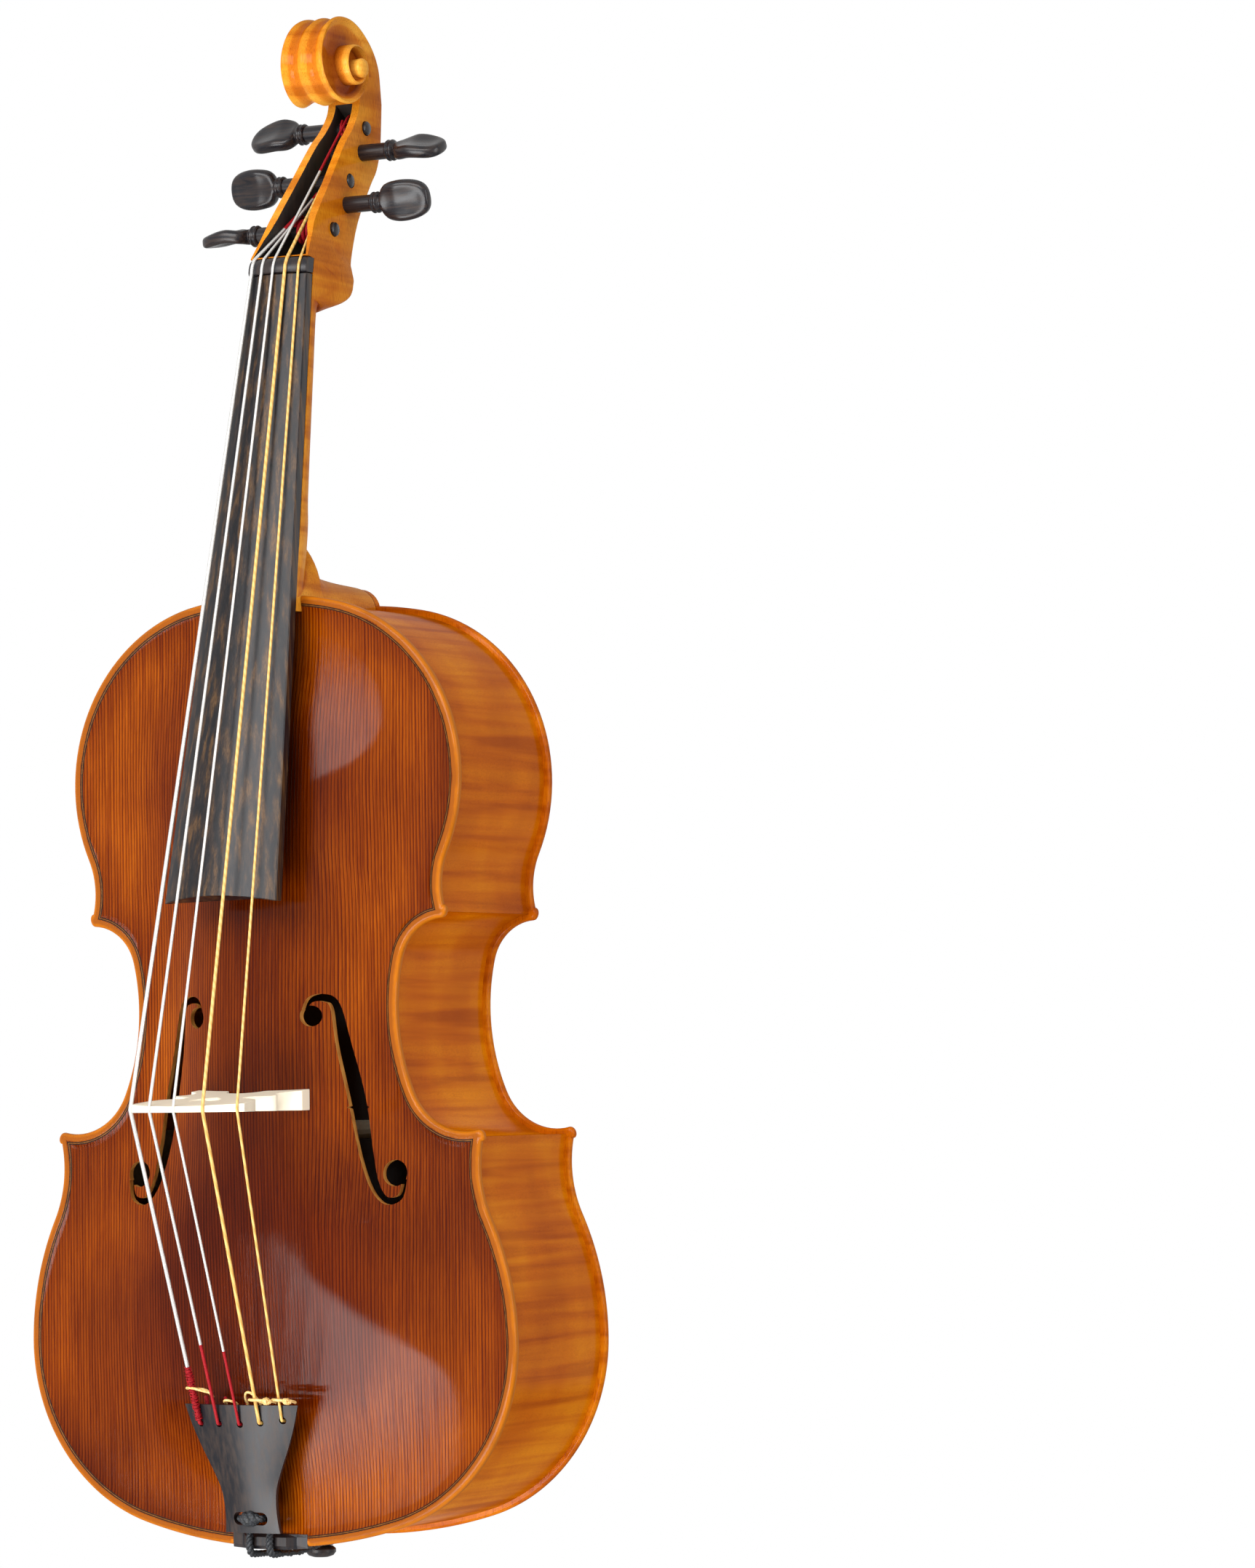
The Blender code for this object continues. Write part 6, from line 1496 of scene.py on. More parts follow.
def oiled_ebony(look):
    """The fingerboard's ebony, planed and oiled: brown streaks along it, satin."""
    made, tree, shader = start_material("oiled_ebony")
    streaks = noise(tree, (0.35, 0.35, 0.012), 5.0)
    fine = noise(tree, (2.5, 2.5, 0.08), 4.0)
    base = ramp(tree, streaks, (0.42, look.ebony), (0.52, look.ebony_streak), (0.66, "#5A4128"))
    base = multiply(tree, base, ramp(tree, fine, (0.35, "#8A8078"), (0.6, "#FFFFFF")), 0.8)
    tree.links.new(base, shader.inputs["Base Color"])
    tree.links.new(span(tree, fine, 0.3, 0.7, 0.30, 0.42), shader.inputs["Roughness"])
    shader.inputs["Specular IOR Level"].default_value = 0.28
    bump(tree, shader, fine, 0.12, 0.0001)
    return made


def turned_ebony(look):
    """The pegs' ebony, turned on a lathe and polished: black with a soft gloss."""
    made, tree, shader = start_material("turned_ebony")
    streaks = noise(tree, (0.03, 0.8, 0.8), 3.0)
    base = ramp(tree, streaks, (0.42, look.ebony), (0.7, look.ebony_streak))
    tree.links.new(base, shader.inputs["Base Color"])
    tree.links.new(span(tree, streaks, 0.3, 0.7, 0.24, 0.34), shader.inputs["Roughness"])
    shader.inputs["Specular IOR Level"].default_value = 0.3
    bump(tree, shader, noise(tree, (0.2, 4.0, 4.0), 3.0), 0.04, 0.0001)
    return made


def red_silk(look):
    """Silk thread wound over the strings' ends: deep red with a fine sheen."""
    made, tree, shader = start_material("red_silk")
    thread = noise(tree, (2.5, 2.5, 5.0), 3.0)
    base = ramp(tree, thread, (0.3, "#620810"), (0.5, look.silk), (0.8, "#B21C26"))
    tree.links.new(base, shader.inputs["Base Color"])
    shader.inputs["Roughness"].default_value = 0.55
    shader.inputs["Specular IOR Level"].default_value = 0.2
    bump(tree, shader, thread, 0.4, 0.0002)
    return made


def pale_gut(look):
    """Thin gut of the knots: dry and pale yellow."""
    made, tree, shader = start_material("pale_gut")
    base = ramp(tree, noise(tree, (1.0, 1.0, 1.0), 2.0), (0.3, "#C99A4E"), (0.7, "#EBCB8C"))
    tree.links.new(base, shader.inputs["Base Color"])
    shader.inputs["Roughness"].default_value = 0.5
    return made


def bare_maple(look):
    """Unfinished maple of the bridge: pale, with short dark rays like small dots."""
    made, tree, shader = start_material("bare_maple")
    dots = noise(tree, (0.9, 2.2, 2.2), 2.0)
    base = ramp(tree, dots, (0.34, "#B98F62"), (0.46, look.bridge_wood), (0.8, "#F3E2C4"))
    tree.links.new(base, shader.inputs["Base Color"])
    shader.inputs["Roughness"].default_value = 0.62
    bump(tree, shader, dots, 0.15, 0.0001)
    return made


def bare_spruce(look):
    """Unfinished spruce of blocks, linings, bass bar and sound post."""
    made, tree, shader = start_material("bare_spruce")
    grain = noise(tree, (1.2, 0.4, 0.02), 3.0)
    base = ramp(tree, grain, (0.35, "#B58E58"), (0.6, look.inside_wood))
    tree.links.new(base, shader.inputs["Base Color"])
    shader.inputs["Roughness"].default_value = 0.75
    return made


def dyed_inlay(look):
    """Purfling: three strips of wood, the outer two dyed black, under the varnish."""
    made, tree, shader = start_material("dyed_inlay")
    base = ramp(tree, noise(tree, (0.3, 0.3, 0.3), 3.0), (0.3, "#0C0603"), (0.7, "#28160A"))
    tree.links.new(base, shader.inputs["Base Color"])
    shader.inputs["Roughness"].default_value = 0.5
    shader.inputs["Specular IOR Level"].default_value = 0.1
    return made


def silver_winding(look):
    """Gut wound with fine silver wire: pale metal, darker in the hair-fine grooves between its turns, which is
    painted shade.
    """
    made, tree, shader = start_material("silver_winding")
    links = {"Vector": millimetres(tree), "Scale": 0.314 / 0.35}
    turns = add_node(tree, "TexWave", links, wave_type="BANDS", bands_direction="Z").outputs["Fac"]
    # Darker in the low bands between the turns of wire: painted shade in their grooves.
    base = ramp(tree, turns, (0.2, "#B9B7B4"), (0.7, look.wire))
    tree.links.new(base, shader.inputs["Base Color"])
    shader.inputs["Metallic"].default_value = 0.75
    shader.inputs["Roughness"].default_value = 0.34
    bump(tree, shader, turns, 0.5, 0.00006)
    return made


def plain_gut(look):
    """Twisted sheep gut, oiled: translucent amber yellow with a faint twist."""
    made, tree, shader = start_material("plain_gut")
    links = {"Vector": millimetres(tree, (1.2, 1.2, 1.0)), "Scale": 0.314 / 2.4}
    twist = add_node(tree, "TexWave", links, wave_type="BANDS", bands_direction="DIAGONAL").outputs["Fac"]
    base = ramp(tree, twist, (0.1, "#CC9C4C"), (0.8, look.gut))
    tree.links.new(base, shader.inputs["Base Color"])
    shader.inputs["Roughness"].default_value = 0.4
    shader.inputs["Subsurface Weight"].default_value = 0.15
    shader.inputs["Subsurface Scale"].default_value = 0.001
    return made


def braided_cord(look):
    """Black braided synthetic cord of the tailgut, woven over a core."""
    made, tree, shader = start_material("braided_cord")
    links = {"Vector": millimetres(tree), "Scale": 0.9, "Randomness": 0.4}
    weave = add_node(tree, "TexVoronoi", links).outputs["Distance"]
    base = ramp(tree, weave, (0.1, "#23282F"), (0.7, "#07080A"))
    tree.links.new(base, shader.inputs["Base Color"])
    shader.inputs["Roughness"].default_value = 0.55
    bump(tree, shader, weave, 0.8, 0.0004)
    return made


class DaSpallaFinish(bpy.types.PropertyGroup):
    """Colours and grain sizes of the instrument's woods and strings."""

    ring_spacing: bpy.props.FloatProperty(
        name="Year rings", description="Space between the top's year rings",
        default=0.0017, min=0.0005, subtype="DISTANCE", unit="LENGTH",
    )
    flame_spacing: bpy.props.FloatProperty(
        name="Flame", description="Space between the maple's flame bands",
        default=0.008, min=0.002, subtype="DISTANCE", unit="LENGTH",
    )
    spruce: bpy.props.StringProperty(
        name="Top varnish", description="Middle tone of the top, sRGB", default="#8A4102"
    )
    spruce_dark: bpy.props.StringProperty(
        name="Top varnish, dark", description="Darker patches of the top, sRGB", default="#682A01"
    )
    spruce_pale: bpy.props.StringProperty(
        name="Top varnish, pale", description="Paler patches of the top, sRGB", default="#AE5E0A"
    )
    edge: bpy.props.StringProperty(
        name="Edge", description="Worn rim of the plates, sRGB", default="#B4650F"
    )
    edge_dark: bpy.props.StringProperty(
        name="Edge, dark", description="Rim beside the purfling, sRGB", default="#8A480F"
    )
    maple: bpy.props.StringProperty(
        name="Maple varnish", description="Middle tone of ribs, back and neck, sRGB", default="#C86B05"
    )
    maple_dark: bpy.props.StringProperty(
        name="Maple varnish, dark", description="Darker patches of the maple, sRGB", default="#AE5603"
    )
    maple_pale: bpy.props.StringProperty(
        name="Maple varnish, pale", description="Paler patches of the maple, sRGB", default="#DC850C"
    )
    # The neck's tones: partly its own paler colour, partly painted light that lifts the neck and scroll where the
    # lamps light them less.
    neck: bpy.props.StringProperty(
        name="Neck varnish", description="Middle tone of neck and scroll, sRGB", default="#DE9022"
    )
    neck_dark: bpy.props.StringProperty(
        name="Neck varnish, dark", description="Darker patches of the neck, sRGB", default="#C57212"
    )
    neck_pale: bpy.props.StringProperty(
        name="Neck varnish, pale", description="Paler patches of the neck, sRGB", default="#F0AE44"
    )
    ebony: bpy.props.StringProperty(name="Ebony", description="Ebony, sRGB", default="#17161A")
    ebony_streak: bpy.props.StringProperty(
        name="Ebony streak", description="Brown streaks in the ebony, sRGB", default="#2E2420"
    )
    bridge_wood: bpy.props.StringProperty(
        name="Bridge", description="Unfinished maple, sRGB", default="#E6CDA4"
    )
    inside_wood: bpy.props.StringProperty(
        name="Inside", description="Unfinished spruce inside the body, sRGB", default="#D8BB87"
    )
    wire: bpy.props.StringProperty(name="Wire", description="Silver winding, sRGB", default="#E9E7E2")
    gut: bpy.props.StringProperty(name="Gut", description="Plain gut, sRGB", default="#DDB468")
    silk: bpy.props.StringProperty(name="Silk", description="Silk on the ends, sRGB", default="#98101A")


class DaSpallaStudio(bpy.types.PropertyGroup):
    """Camera and lamps of the white studio."""

    lens: bpy.props.FloatProperty(
        name="Lens", description="Focal length for a 36 mm high sensor", default=137.25, min=20.0
    )
    key_power: bpy.props.FloatProperty(
        name="Key lamp", description="Power of the large soft lamp", default=48.0, min=0.0, subtype="POWER"
    )
    world_level: bpy.props.FloatProperty(
        name="World", description="Strength of the even light", default=0.28, min=0.0
    )
    low_power: bpy.props.FloatProperty(
        name="Low lamp", description="Power of the soft lamp below", default=42.0, min=0.0, subtype="POWER"
    )
    fill_power: bpy.props.FloatProperty(
        name="Fill lamp", description="Power of the soft lamp on the ribs", default=20.0, min=0.0, subtype="POWER"
    )


def finish_of(context):
    return context.scene.da_spalla_finish


def material_once(name, make, context):
    return bpy.data.materials.get(name) or make(finish_of(context))


def dress(names, material):
    for name in names:
        NODES[name].data.materials.clear()
        NODES[name].data.materials.append(material)


def inlay_mesh(name, face_y, low, high, closed):
    """A purfling strip of three plies, dark, pale and dark, let into a plate; face_y
    gives the plate's face over an inset."""
    plies = [PURFLING_INSET + GAP + PURFLING_WIDTH * share for share in (0.0, 0.38, 0.62, 1.0)]
    lines = []
    for inset in plies:
        points = whole_outline(inset) if closed else half_outline(inset)[0]
        lines.append([(x, face_y(inset), z) for x, z in points])
    if not closed:
        places = [place_at_x([(p[0], p[2]) for p in lines[0]], *end) for end in (low, high)]
        lines = [stretch(line, *places) for line in lines]
    down = PURFLING_DEEP if face_y(0.0) < 0 else -PURFLING_DEEP
    count = len(lines) + 2
    points = []
    for station in zip(*lines):
        first, last = station[0], station[-1]
        points += [*station, (last[0], last[1] + down, last[2]), (first[0], first[1] + down, first[2])]
    total = len(lines[0])
    faces, plies_of = [], []
    for i in range(total if closed else total - 1):
        a, b = i * count, (i + 1) % total * count
        for j in range(count):
            k = (j + 1) % count
            faces.append((a + j, a + k, b + k, b + j))
            plies_of.append(1 if j == 1 else 0)
    if not closed:
        faces += [tuple(range(count))[::-1], tuple(range(len(points) - count, len(points)))]
        plies_of += [0, 0]
    mesh = bpy.data.meshes.new(name)
    mesh.from_pydata(points, [], faces)
    mesh.polygons.foreach_set("material_index", plies_of)
    shape = bmesh.new()
    shape.from_mesh(mesh)
    bmesh.ops.recalc_face_normals(shape, faces=shape.faces)
    shape.to_mesh(mesh)
    shape.free()
    return mesh


def mirror_mesh(mesh):
    """The mesh's mirror image over the centre joint, faces turned outwards again."""
    made = mesh.copy()
    made.transform(Matrix.Scale(-1, 4, (1, 0, 0)))
    made.flip_normals()
    return made


def rib_mesh(bout):
    """A bent strip of maple between the plates, with its run along the body's edge."""
    outer, corners = half_outline(OVERHANG)
    inner = half_outline(OVERHANG + RIB_THICK)[0]
    low_corner, high_corner = corners
    last = len(outer) - 1
    downwards = list(range(last, -1, -1))
    mitre = 0.3 * GAP
    if bout == "lower":
        begin = place_at_x(outer, GAP / 4, list(range(last)))
        end = place_at_length(outer, low_corner, mitre, -1)
    elif bout == "middle":
        begin = place_at_length(outer, low_corner, mitre, 1)
        end = place_at_length(outer, high_corner, mitre, -1)
    else:
        begin = place_at_length(outer, high_corner, mitre, 1)
        end = place_at_x(outer, HEEL_ROOT_HALF + 2 * RIB_THICK, downwards)
    front, back = EDGE_THICK / 2, PLATE_SPACING - EDGE_THICK / 2
    levels = [blend(front, back, share) for share in (0.0, 0.03, 0.25, 0.5, 0.75, 0.97, 1.0)]
    lines = [(outer, y) for y in levels] + [(inner, y) for y in reversed(levels)]
    rings = []
    for points, y in lines:
        line = stretch(points, begin, end)
        if bout == "upper":
            stop = place_at_x(points, heel_half(y) + GAP / 3, downwards)
            line.append(point_at(points, stop))
        rings.append([(x, y, z) for x, z in line])
    runs = [0.0]
    for a, b in zip(rings[0], rings[0][1:]):
        runs.append(runs[-1] + math.dist(a, b))
    points = [point for ring in rings for point in ring]
    count = len(rings[0])
    faces = ring_faces(count, len(rings), False)
    end_ring = (len(rings) - 1) * count
    faces += [(end_ring + j, end_ring + j + 1, j + 1, j) for j in range(count - 1)]
    for j in (0, count - 1):
        faces.append(tuple(i * count + j for i in range(len(rings))))
    mesh = mesh_from(f"{bout}_rib", points, faces, 1e-7, runs * len(rings))
    return mesh


def restore_insets(mesh):
    """Gives back the inset of points that the cuts made inside the plate."""
    values = mesh.attributes["inset"].data
    outline = whole_outline(0.0)
    for point, value in zip(mesh.vertices, values):
        if value.value < 1.5:
            x, z = point.co.x, point.co.z
            nearest = min(math.dist((x, z), other) for other in outline)
            if nearest > 0.003:
                value.value = nearest * 1000


class DASPALLA_OT_plates(bpy.types.Operator):
    """Carved spruce top with its sound holes, carved maple back, and their purfling"""

    bl_idname = "da_spalla.plates"
    bl_label = "Plates"

    def execute(self, context):
        spruce = material_once("varnished_spruce", varnished_spruce, context)
        maple = material_once("varnished_maple_back", varnished_maple_back, context)
        worn = material_once("bare_hole_edge", bare_hole_edge, context)
        top = plate_mesh("carved_top", TOP_THICK, False)
        top.materials.append(spruce)
        saddle_room = [(-SADDLE_HALF, -0.002), (SADDLE_HALF, -0.002)]
        saddle_room += [(SADDLE_HALF, 0.0065), (-SADDLE_HALF, 0.0065)]
        cutters = [*sound_hole_cutters(worn), mortise_mesh()]
        cutters.append(prism("saddle_room", saddle_room, -0.02, 0.02))
        top = cut(top, cutters)
        restore_insets(top)
        piece = add_piece("carved_top", soften(top), None)
        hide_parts("top_plate")

        back = plate_mesh("carved_back", BACK_THICK, True)
        middle, rise = BODY_LENGTH - 0.003, BUTTON_RISE + 0.003
        outline = []
        for turn in spread(0.0, math.pi, 24):
            outline.append((BUTTON_HALF * math.cos(turn), middle + rise * math.sin(turn)))
        low = PLATE_SPACING - EDGE_THICK / 2 + 0.0001
        back = cut(back, [prism("button", outline, low, low + EDGE_THICK - 0.0002)], "UNION")
        piece = add_piece("carved_back", soften(back), maple)
        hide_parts("back_plate")

        plies = [
            material_once("dyed_inlay", dyed_inlay, context),
            material_once("pale_inlay", pale_inlay, context),
        ]
        low = (SADDLE_HALF + GAP, list(range(120)))
        high = (HEEL_ROOT_HALF + GAP, list(range(len(half_outline(0.0)[0]) - 1, 120, -1)))
        treble = inlay_mesh(
            "top_inlay_treble", lambda inset: edge_profile(inset) - 0.00005, low, high, False
        )
        back_face = PLATE_SPACING + 0.00005
        back_inlay = inlay_mesh(
            "back_inlay", lambda inset: back_face - edge_profile(inset), None, None, True
        )
        meshes = {
            "top_purfling_treble": treble,
            "top_purfling_bass": mirror_mesh(treble),
            "back_purfling": back_inlay,
        }
        for node, mesh in meshes.items():
            for ply in plies:
                mesh.materials.append(ply)
            piece = add_piece(f"{node}_plies", mesh, None)
            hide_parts(node)
        return {"FINISHED"}


class DASPALLA_OT_ribs(bpy.types.Operator):
    """Six bent ribs of flamed maple"""

    bl_idname = "da_spalla.ribs"
    bl_label = "Ribs"

    def execute(self, context):
        maple = material_once("varnished_maple_ribs", varnished_maple_ribs, context)
        for bout in ("lower", "middle", "upper"):
            treble = soften(rib_mesh(bout), 40)
            for hand, mesh in (("treble", treble), ("bass", mirror_mesh(treble))):
                piece = add_piece(f"bent_{bout}_rib_{hand}", mesh, maple)
                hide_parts(f"{bout}_rib_{hand}")
        return {"FINISHED"}


class DASPALLA_OT_head(bpy.types.Operator):
    """Neck, heel, pegbox and scroll, carved from one piece of maple"""

    bl_idname = "da_spalla.head"
    bl_label = "Neck and Scroll"

    def execute(self, context):
        stain = material_once("stained_maple", stained_maple, context)
        maple = material_once("varnished_maple_neck", varnished_maple_neck, context)
        mesh = head_mesh(maple, stain)
        piece = add_piece("carved_neck_and_scroll", soften(mesh, 42), None)
        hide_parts("neck_and_scroll")
        return {"FINISHED"}


class DASPALLA_OT_inside(bpy.types.Operator):
    """Bare spruce of the blocks, linings, bass bar and sound post"""

    bl_idname = "da_spalla.inside"
    bl_label = "Inside"

    def execute(self, context):
        inside = [n for n in NODES if "lining" in n or "block" in n or n in ("bass_bar", "sound_post")]
        dress(inside, material_once("bare_spruce", bare_spruce, context))
        return {"FINISHED"}


def bevel(piece, width, angle=40):
    """Rounds a piece's sharp edges with a bevel modifier, which stays on the piece."""
    modifier = piece.modifiers.new("soft_edges", "BEVEL")
    modifier.width = width
    modifier.segments = 2
    modifier.limit_method = "ANGLE"
    modifier.angle_limit = math.radians(angle)
    modifier.use_clamp_overlap = True
    modifier.harden_normals = False
    return piece


def fit_piece(context, name, mesh, finish, node, edge=0.0, angle=40, body="instrument"):
    """One finished mesh in place of a node, with its edges softened."""
    material = material_once(finish.__name__, finish, context)
    piece = add_piece(name, soften(mesh, 35), material, body=body)
    if edge:
        bevel(piece, edge, angle)
    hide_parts(node)
    return piece


class DASPALLA_OT_board(bpy.types.Operator):
    """Fingerboard and nut of ebony"""

    bl_idname = "da_spalla.board"
    bl_label = "Fingerboard and Nut"

    def execute(self, context):
        board = fingerboard_mesh()
        fit_piece(context, "ebony_fingerboard", board, oiled_ebony, "fingerboard", 0.0005)
        fit_piece(context, "ebony_nut", nut_mesh(), polished_ebony, "nut", 0.0003, 50)
        return {"FINISHED"}


class DASPALLA_OT_tailpiece(bpy.types.Operator):
    """Tailpiece, its cord, the saddle and the end button"""

    bl_idname = "da_spalla.tailpiece"
    bl_label = "Tailpiece"

    def execute(self, context):
        mesh = tailpiece_mesh()
        fit_piece(context, "ebony_tailpiece", mesh, polished_ebony, "tailpiece", 0.0004)
        fit_piece(context, "turned_button", button_mesh(), polished_ebony, "end_button", 0.0003)
        dress(["saddle"], material_once("polished_ebony", polished_ebony, context))
        cord = material_once("braided_cord", braided_cord, context)
        strands = strands_along(tailgut_route(), 0.00085, 0.0072, 3)
        data = tube("twisted_tailgut", strands, 0.00098, [cord], 3, True)
        piece = add_piece("twisted_tailgut", data, None)
        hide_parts("tailgut")
        bar = []
        for strand in range(3):
            route = []
            for share in spread(0.0, 1.0, 24):
                turn = math.tau * (1.1 * share + strand / 3)
                out = 0.0017 * math.sin(math.pi * share)
                x = TAIL_SHIFT + (share - 0.5) * 1.9 * TAILGUT_HALF
                y = tail_front(TAIL_SHIFT, SLOT_Z) + 0.0004 - out * 0.4 + out * math.cos(turn)
                size = 0.62 + 0.38 * math.sin(math.pi * share)
                route.append((x, y, SLOT_Z + 1.2 * out * math.sin(turn), size))
            bar.append(route)
        data = tube("tailgut_bar", bar, 0.0020, [cord])
        add_piece("tailgut_bar", data, None)
        return {"FINISHED"}


class DASPALLA_OT_bridge(bpy.types.Operator):
    """Bridge of unfinished maple, fitted to the top"""

    bl_idname = "da_spalla.bridge"
    bl_label = "Bridge"

    def execute(self, context):
        mesh = bridge_mesh(bpy.data.objects["carved_top"])
        fit_piece(context, "cut_bridge", mesh, bare_maple, "bridge", 0.0003)
        return {"FINISHED"}


class DASPALLA_OT_pegs(bpy.types.Operator):
    """Five turned pegs, each with its turns of string"""

    bl_idname = "da_spalla.pegs"
    bl_label = "Pegs"

    def execute(self, context):
        ebony = material_once("turned_ebony", turned_ebony, context)
        silk = material_once("red_silk", red_silk, context)
        gut = material_once("plain_gut", plain_gut, context)
        for index, row in enumerate(PEGS):
            name, string = row[0], row[5]
            body = f"peg_{name}"
            peg = add_piece(f"turned_peg_{name}", soften(peg_mesh(index), 38), ebony, body)
            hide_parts(f"{name}_peg")
            wrap, slot = (gut, "gut_string") if string > 2 else (silk, "wound_string")
            data = tube(f"turns_{name}", [winding_route(index)], STRING_R[string], [wrap], 4)
            turns = add_piece(f"turns_{name}", data, None, body)
            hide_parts(f"winding_{name}")
        return {"FINISHED"}


class DASPALLA_OT_strings(bpy.types.Operator):
    """Three wound strings with silk at their ends, two plain gut ones and their knots"""

    bl_idname = "da_spalla.strings"
    bl_label = "Strings"

    def execute(self, context):
        wire = material_once("silver_winding", silver_winding, context)
        gut = material_once("plain_gut", plain_gut, context)
        silk = material_once("red_silk", red_silk, context)
        pale = material_once("pale_gut", pale_gut, context)
        for index in range(5):
            tail, speaking, head, wrapped = string_route(index)
            knots = noose_routes(index)
            if index < 3:
                run = (speaking[0] - tail[-1]).normalized()
                reach = (SILK_ENDS[index] - tail[-1].z) / run.z
                end = tail[-1] + run * reach
                parts = [(tail + [end], 2), ([end, *speaking], 0), (head, 0), (wrapped, 2)]
            else:
                parts = [(tail + speaking, 0), (head + wrapped[1:], 0)]
            main, slot = (wire, "wound_string") if index < 3 else (gut, "gut_string")
            name = f"spun_string_{index + 1}"
            data = tube(name, parts, STRING_R[index], [main, gut, silk])
            piece = add_piece(name, data, None)
            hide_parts(f"string_{index + 1}")
            data = tube(f"knot_{index + 1}", knots, 0.00062 if index < 3 else 0.00070, [pale])
            add_piece(f"knot_{index + 1}", data, None)
        self.silk_wrap(context, silk)
        return {"FINISHED"}

    def silk_wrap(self, context, silk):
        """The loose red silk wound round the lowest string at its tail."""
        tail, speaking = string_route(0)[:2]
        run = (speaking[0] - tail[-1]).normalized()
        start = tail[-1] - run * 0.0005
        length = (SILK_ENDS[0] - start.z) / run.z
        side = run.orthogonal().normalized()
        over = run.cross(side)
        chance = random.Random(5)
        threads = []
        for thread in range(5):
            route = []
            turns = 9 + 3 * thread
            lean = chance.uniform(0.0, math.tau)
            for i in range(turns * 14 + 1):
                share = i / (turns * 14)
                turn = math.tau * turns * share * (1 if thread % 2 else -1) + lean
                swell = 0.00035 * math.sin(5 * math.pi * share + lean) + 0.00022 * chance.random()
                radius = STRING_R[0] + 0.00030 + max(0.0, swell)
                at = start + run * (length * share)
                route.append(at + (side * math.cos(turn) + over * math.sin(turn)) * radius)
            threads.append(route)
        for _ in range(46):
            share = chance.random()
            turn = chance.uniform(0.0, math.tau)
            out = side * math.cos(turn) + over * math.sin(turn)
            at = start + run * (length * share) + out * (STRING_R[0] + 0.0002)
            drift = run * chance.uniform(-0.002, 0.002)
            threads.append([
                (*at, 0.5), (*(at + out * 0.0006 + drift * 0.5), 0.4),
                (*(at + out * chance.uniform(0.0006, 0.0014) + drift), 0.2),
            ])
        data = tube("silk_wrap", threads, 0.00022, [silk], 1)
        add_piece("silk_wrap", data, None)


def soft_lamp(name, place, target, width, height, power, tint="#FFFFFF"):
    data = bpy.data.lights.new(name, "AREA")
    data.shape = "RECTANGLE"
    data.size, data.size_y = width, height
    data.energy = power
    data.color = colour(tint)[:3]
    lamp = bpy.data.objects.new(name, data)
    bpy.context.scene.collection.objects.link(lamp)
    lamp.location = place
    lamp.visible_camera = False
    lamp.rotation_euler = (Vector(target) - Vector(place)).to_track_quat("-Z", "Y").to_euler()
    return lamp


def pale_floor():
    """A plain pale matt floor, which keeps the instrument's shadow; what the lamps leave
    dark of it is lifted for the camera alone, so it throws no light on the instrument."""
    made, tree, shader = start_material("pale_floor")
    shader.inputs["Base Color"].default_value = colour("#EDEDED")
    shader.inputs["Roughness"].default_value = 0.9
    shader.inputs["Emission Color"].default_value = colour("#FFFFFF")
    seen = add_node(tree, "LightPath").outputs["Is Camera Ray"]
    tree.links.new(span(tree, seen, 0.0, 1.0, 0.0, 0.68), shader.inputs["Emission Strength"])
    return made


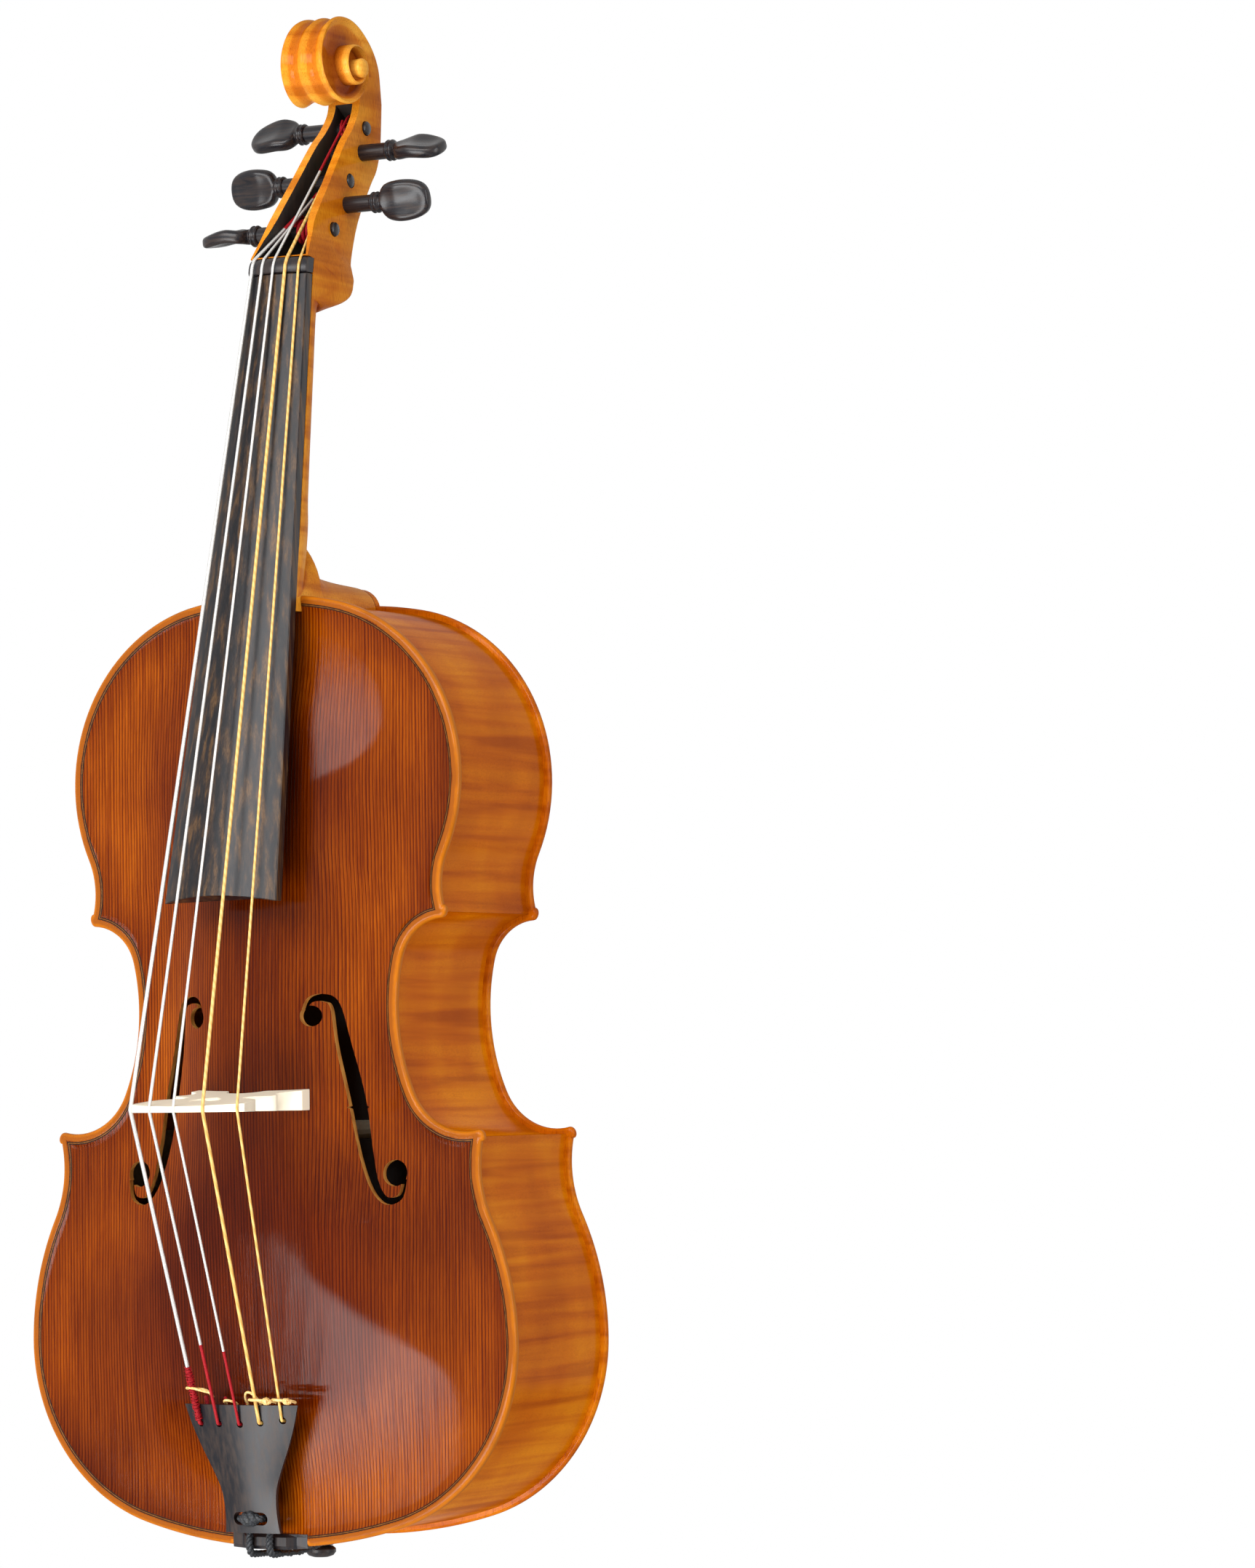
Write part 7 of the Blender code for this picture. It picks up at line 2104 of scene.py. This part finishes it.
class DASPALLA_OT_stage(bpy.types.Operator):
    """White floor and backdrop, soft lamps and the camera"""

    bl_idname = "da_spalla.stage"
    bl_label = "Studio"

    def execute(self, context):
        studio = context.scene.da_spalla_studio
        data = bpy.data.cameras.new("studio_camera")
        data.sensor_fit = "VERTICAL"
        data.sensor_height = 36.0
        data.lens = studio.lens
        data.clip_end = 50.0
        camera = bpy.data.objects.new("studio_camera", data)
        context.scene.collection.objects.link(camera)
        camera.location = (1.51484, -2.48088, 0.23318)
        camera.rotation_euler = [math.radians(a) for a in (92.7334, 0.7642, 28.4288)]
        context.scene.camera = camera

        bpy.ops.mesh.primitive_plane_add(size=7.0, location=(0.0, 0.0, -1.0))
        floor = context.object
        floor.name = "studio_floor"
        floor.data.materials.append(pale_floor())

        world = bpy.data.worlds.new("white_studio")
        context.scene.world = world
        world.use_nodes = True
        tree = world.node_tree
        tree.nodes.clear()
        rays = add_node(tree, "LightPath")
        seen = rays.outputs["Is Camera Ray"]
        for kind in ("Is Glossy Ray", "Is Transmission Ray"):
            links = {0: seen, 1: rays.outputs[kind]}
            seen = add_node(tree, "Math", links, operation="MAXIMUM").outputs[0]
        strength = span(tree, seen, 0.0, 1.0, studio.world_level, 1.0)
        sky = add_node(tree, "Background", {"Color": (1.0, 1.0, 1.0, 1.0), "Strength": strength})
        output = add_node(tree, "OutputWorld")
        tree.links.new(sky.outputs[0], output.inputs[0])

        middle = (0.0, 0.0, 0.3)
        soft_lamp("key_lamp", (0.0, -1.9, 1.15), middle, 2.0, 0.9, studio.key_power)
        soft_lamp("low_lamp", (-0.35, -1.85, -0.5), middle, 1.3, 0.9, studio.low_power)
        soft_lamp("rib_lamp", (2.1, -0.2, 0.6), middle, 0.8, 1.4, studio.fill_power)
        context.scene.view_settings.view_transform = "Standard"
        return {"FINISHED"}


class DASPALLA_PT_panel(bpy.types.Panel):
    """The pieces of the instrument and its studio"""

    bl_idname = "DASPALLA_PT_panel"
    bl_label = "Violoncello da Spalla"
    bl_space_type = "VIEW_3D"
    bl_region_type = "UI"
    bl_category = "Da Spalla"

    def draw(self, context):
        for group in (context.scene.da_spalla_finish, context.scene.da_spalla_studio):
            for key in group.__annotations__:
                self.layout.prop(group, key)
        for operator in OPERATORS:
            self.layout.operator(operator.bl_idname)


OPERATORS = (
    DASPALLA_OT_plates,
    DASPALLA_OT_ribs,
    DASPALLA_OT_head,
    DASPALLA_OT_inside,
    DASPALLA_OT_board,
    DASPALLA_OT_tailpiece,
    DASPALLA_OT_bridge,
    DASPALLA_OT_pegs,
    DASPALLA_OT_strings,
    DASPALLA_OT_stage,
)
CLASSES = (DaSpallaFinish, DaSpallaStudio, *OPERATORS, DASPALLA_PT_panel)


def register():
    for item in CLASSES:
        bpy.utils.register_class(item)
    bpy.types.Scene.da_spalla_finish = bpy.props.PointerProperty(type=DaSpallaFinish)
    bpy.types.Scene.da_spalla_studio = bpy.props.PointerProperty(type=DaSpallaStudio)


def unregister():
    del bpy.types.Scene.da_spalla_studio
    del bpy.types.Scene.da_spalla_finish
    for item in reversed(CLASSES):
        bpy.utils.unregister_class(item)


def main():
    register()
    bpy.ops.da_spalla.plates()
    bpy.ops.da_spalla.ribs()
    bpy.ops.da_spalla.head()
    bpy.ops.da_spalla.inside()
    bpy.ops.da_spalla.board()
    bpy.ops.da_spalla.tailpiece()
    bpy.ops.da_spalla.bridge()
    bpy.ops.da_spalla.pegs()
    bpy.ops.da_spalla.strings()
    bpy.ops.da_spalla.stage()
    bpy.context.view_layer.update()
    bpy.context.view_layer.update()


if __name__ == "__main__":
    main()
